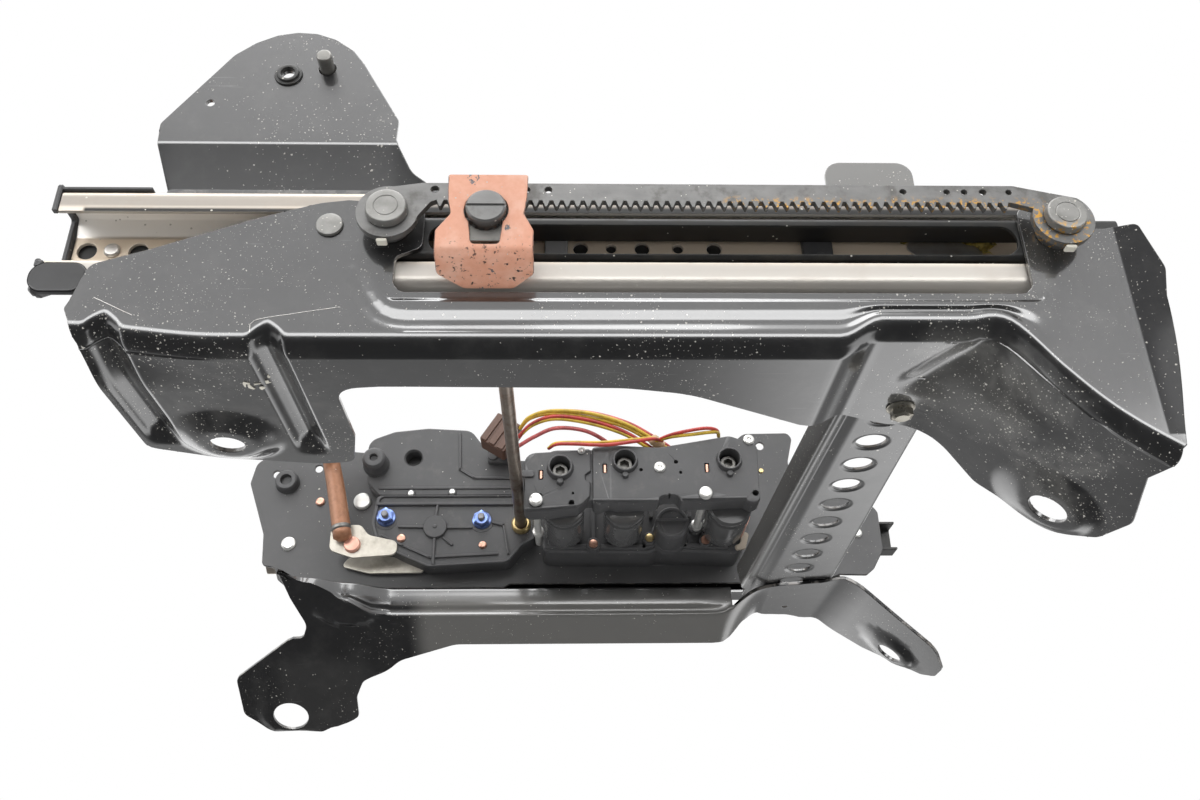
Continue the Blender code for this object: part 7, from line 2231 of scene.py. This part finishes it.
wires = {
    "radius": 1.5, "thin": 1.25, "centre": (-52, 123), "turn": 32, "half": (11, 13), "front": 334,
    "back": 351,
    "yellow": ((-37.5, 333, 125), (-30, 322, 129), (-14, 312, 129), (12, 305, 124), (38, 303, 115),
        (58, 307, 105), (72, 316, 99.5), (84, 328, 97), (97, 338, 96), (100, 346, 96), (100, 351.7, 96)),
    "red": ((-38.5, 333, 118), (-28, 321, 123), (-12, 312, 124.5), (12, 307, 119.5), (36, 305.5, 110.5),
        (54, 309, 101), (70, 320, 94.5), (84, 333, 91), (88, 345, 90), (88, 351.7, 90)),
    "faceLeft": ((66, 300, 99), (58, 288, 95.5), (45, 281, 91), (22, 279.4, 88), (2, 280, 88.4),
        (-10, 283, 89), (-15, 292, 89.5)),
    "faceRight": ((62, 301, 99.5), (72, 288, 96.5), (86, 281, 95), (97, 281, 96.5), (104, 285, 98.5),
        (106, 294, 99.5)),
    "pink": ((-39, 337, 112), (-26, 326, 115), (-10, 316, 117), (12, 312, 112.5), (30, 318, 104),
        (40, 332, 98), (43, 345, 96), (43, 351.7, 96)),
}


def shifted(route, x, y, z, fade=3):
    last = len(route) - 1
    made = []
    for index, point in enumerate(route):
        share = min(1, index / fade, (last - index) / fade)
        made.append((point[0] + x * share, point[1] + y * share, point[2] + z * share))
    return made


def makeConnector():
    look = wires
    turn = math.radians(look["turn"])
    centre = Vector(look["centre"])

    def rotated(points):
        return [(centre.x + a * math.cos(turn) + b * math.sin(turn),
                centre.y - a * math.sin(turn) + b * math.cos(turn)) + tuple(rest) for a, b, *rest in points]

    halfA, halfB = look["half"]
    shell = rotated([(-halfA, -halfB, 2), (halfA, -halfB, 2), (halfA, halfB, 2), (-halfA, halfB, 2)])
    bodies = [platePiece("plugBody", [roundLoop(shell, 5)], look["front"] + 1.2, look["back"],
            "brownPlastic", rim=0.6)]
    for low in (-10.6, -3.4, 3.8):
        rib = rotated([(low, -halfB + 0.8, 0.8), (low + 5.2, -halfB + 0.8, 0.8),
                (low + 5.2, halfB - 0.8, 0.8), (low, halfB - 0.8, 0.8)])
        bodies.append(platePiece("plugRib", [roundLoop(rib, 3)], look["front"], look["front"] + 3,
                "brownPlastic", rim=0.35))
    putOn(joined("wirePlug", bodies), "carriage", "brown_plastic", "wire_connector")
    yellow, red = ("yellowWire", "yellow_wire"), ("redWire", "red_wire")
    pink = ("pinkWire", "red_wire")
    for name, route, (finish, slot), *replaced in (
        ("wireYellow", look["yellow"], yellow, "wire_yellow"),
        ("wireRed", look["red"], red, "wire_red"),
        ("wirePink", look["pink"], pink, "wire_pink"),
        ("wireYellowSecond", shifted(look["yellow"], 1, 1.6, -2.6), yellow),
        ("wirePinkSecond", shifted(look["yellow"], 3.5, 2.4, 1.4), pink),
        ("wireYellowLow", shifted(look["red"], 2, 0.6, -2.8), yellow),
        ("wireYellowFace", look["faceLeft"], yellow),
        ("wireRedFace", shifted(look["faceLeft"], 2, -1.6, -2.6), red),
        ("wireYellowRight", look["faceRight"], yellow),
        ("wireRedRight", shifted(look["faceRight"], -1, -1.4, 2.6, 2), red),
    ):
        made = tubePiece(name, route, look["radius"] if replaced else look["thin"], finish, 2.5, 14)
        putOn(made, "carriage", slot, *replaced)
    knot = [(60, 306, 103.2), (63, 308.5, 101.6), (66, 311.5, 100.4)]
    tape = tubePiece("wireTape", knot, 4, "tape", 0.8, 24,
        radii=lambda share: 1 + 0.06 * math.sin(share * 40))
    putOn(tape, "carriage", "brown_plastic")
makeNearFrame()
makeRack()
makeRails()
makeEndCap()
makeHinge()
makePinionBracket()
makePinion()
makeInserts()
makeFoil()
print("near side built")
makeChannel()
makeFarFrame()
makeStand()
makeCarrier()
print("floor frame and carrier built")
makeGearCovers()
makeHousing()
makeMotors()
makeGearBlock()
makeBolts()
makeRod()
makeConnector()
print("drive unit built")


# Finishes of the CAD pieces that keep their own mesh

slotFinish = {
    "black_paint": "cleanPaint", "rail_steel": "rail", "bright_steel": "zinc", "dark_steel": "rack",
    "red_oxide": "oxide",
    "black_plastic": "plastic", "brown_rod": "rod", "copper": "copper", "blue_zinc": "blue",
    "brown_plastic": "brownPlastic",
    "yellow_wire": "yellowWire", "red_wire": "redWire",
}
for entry in frame["record"]["subparts"]:
    item = frame["nodes"][entry["node"]]
    item.data.materials.clear()
    item.data.materials.append(finishes[slotFinish[entry["material_slot"]]])
print("CAD pieces finished")
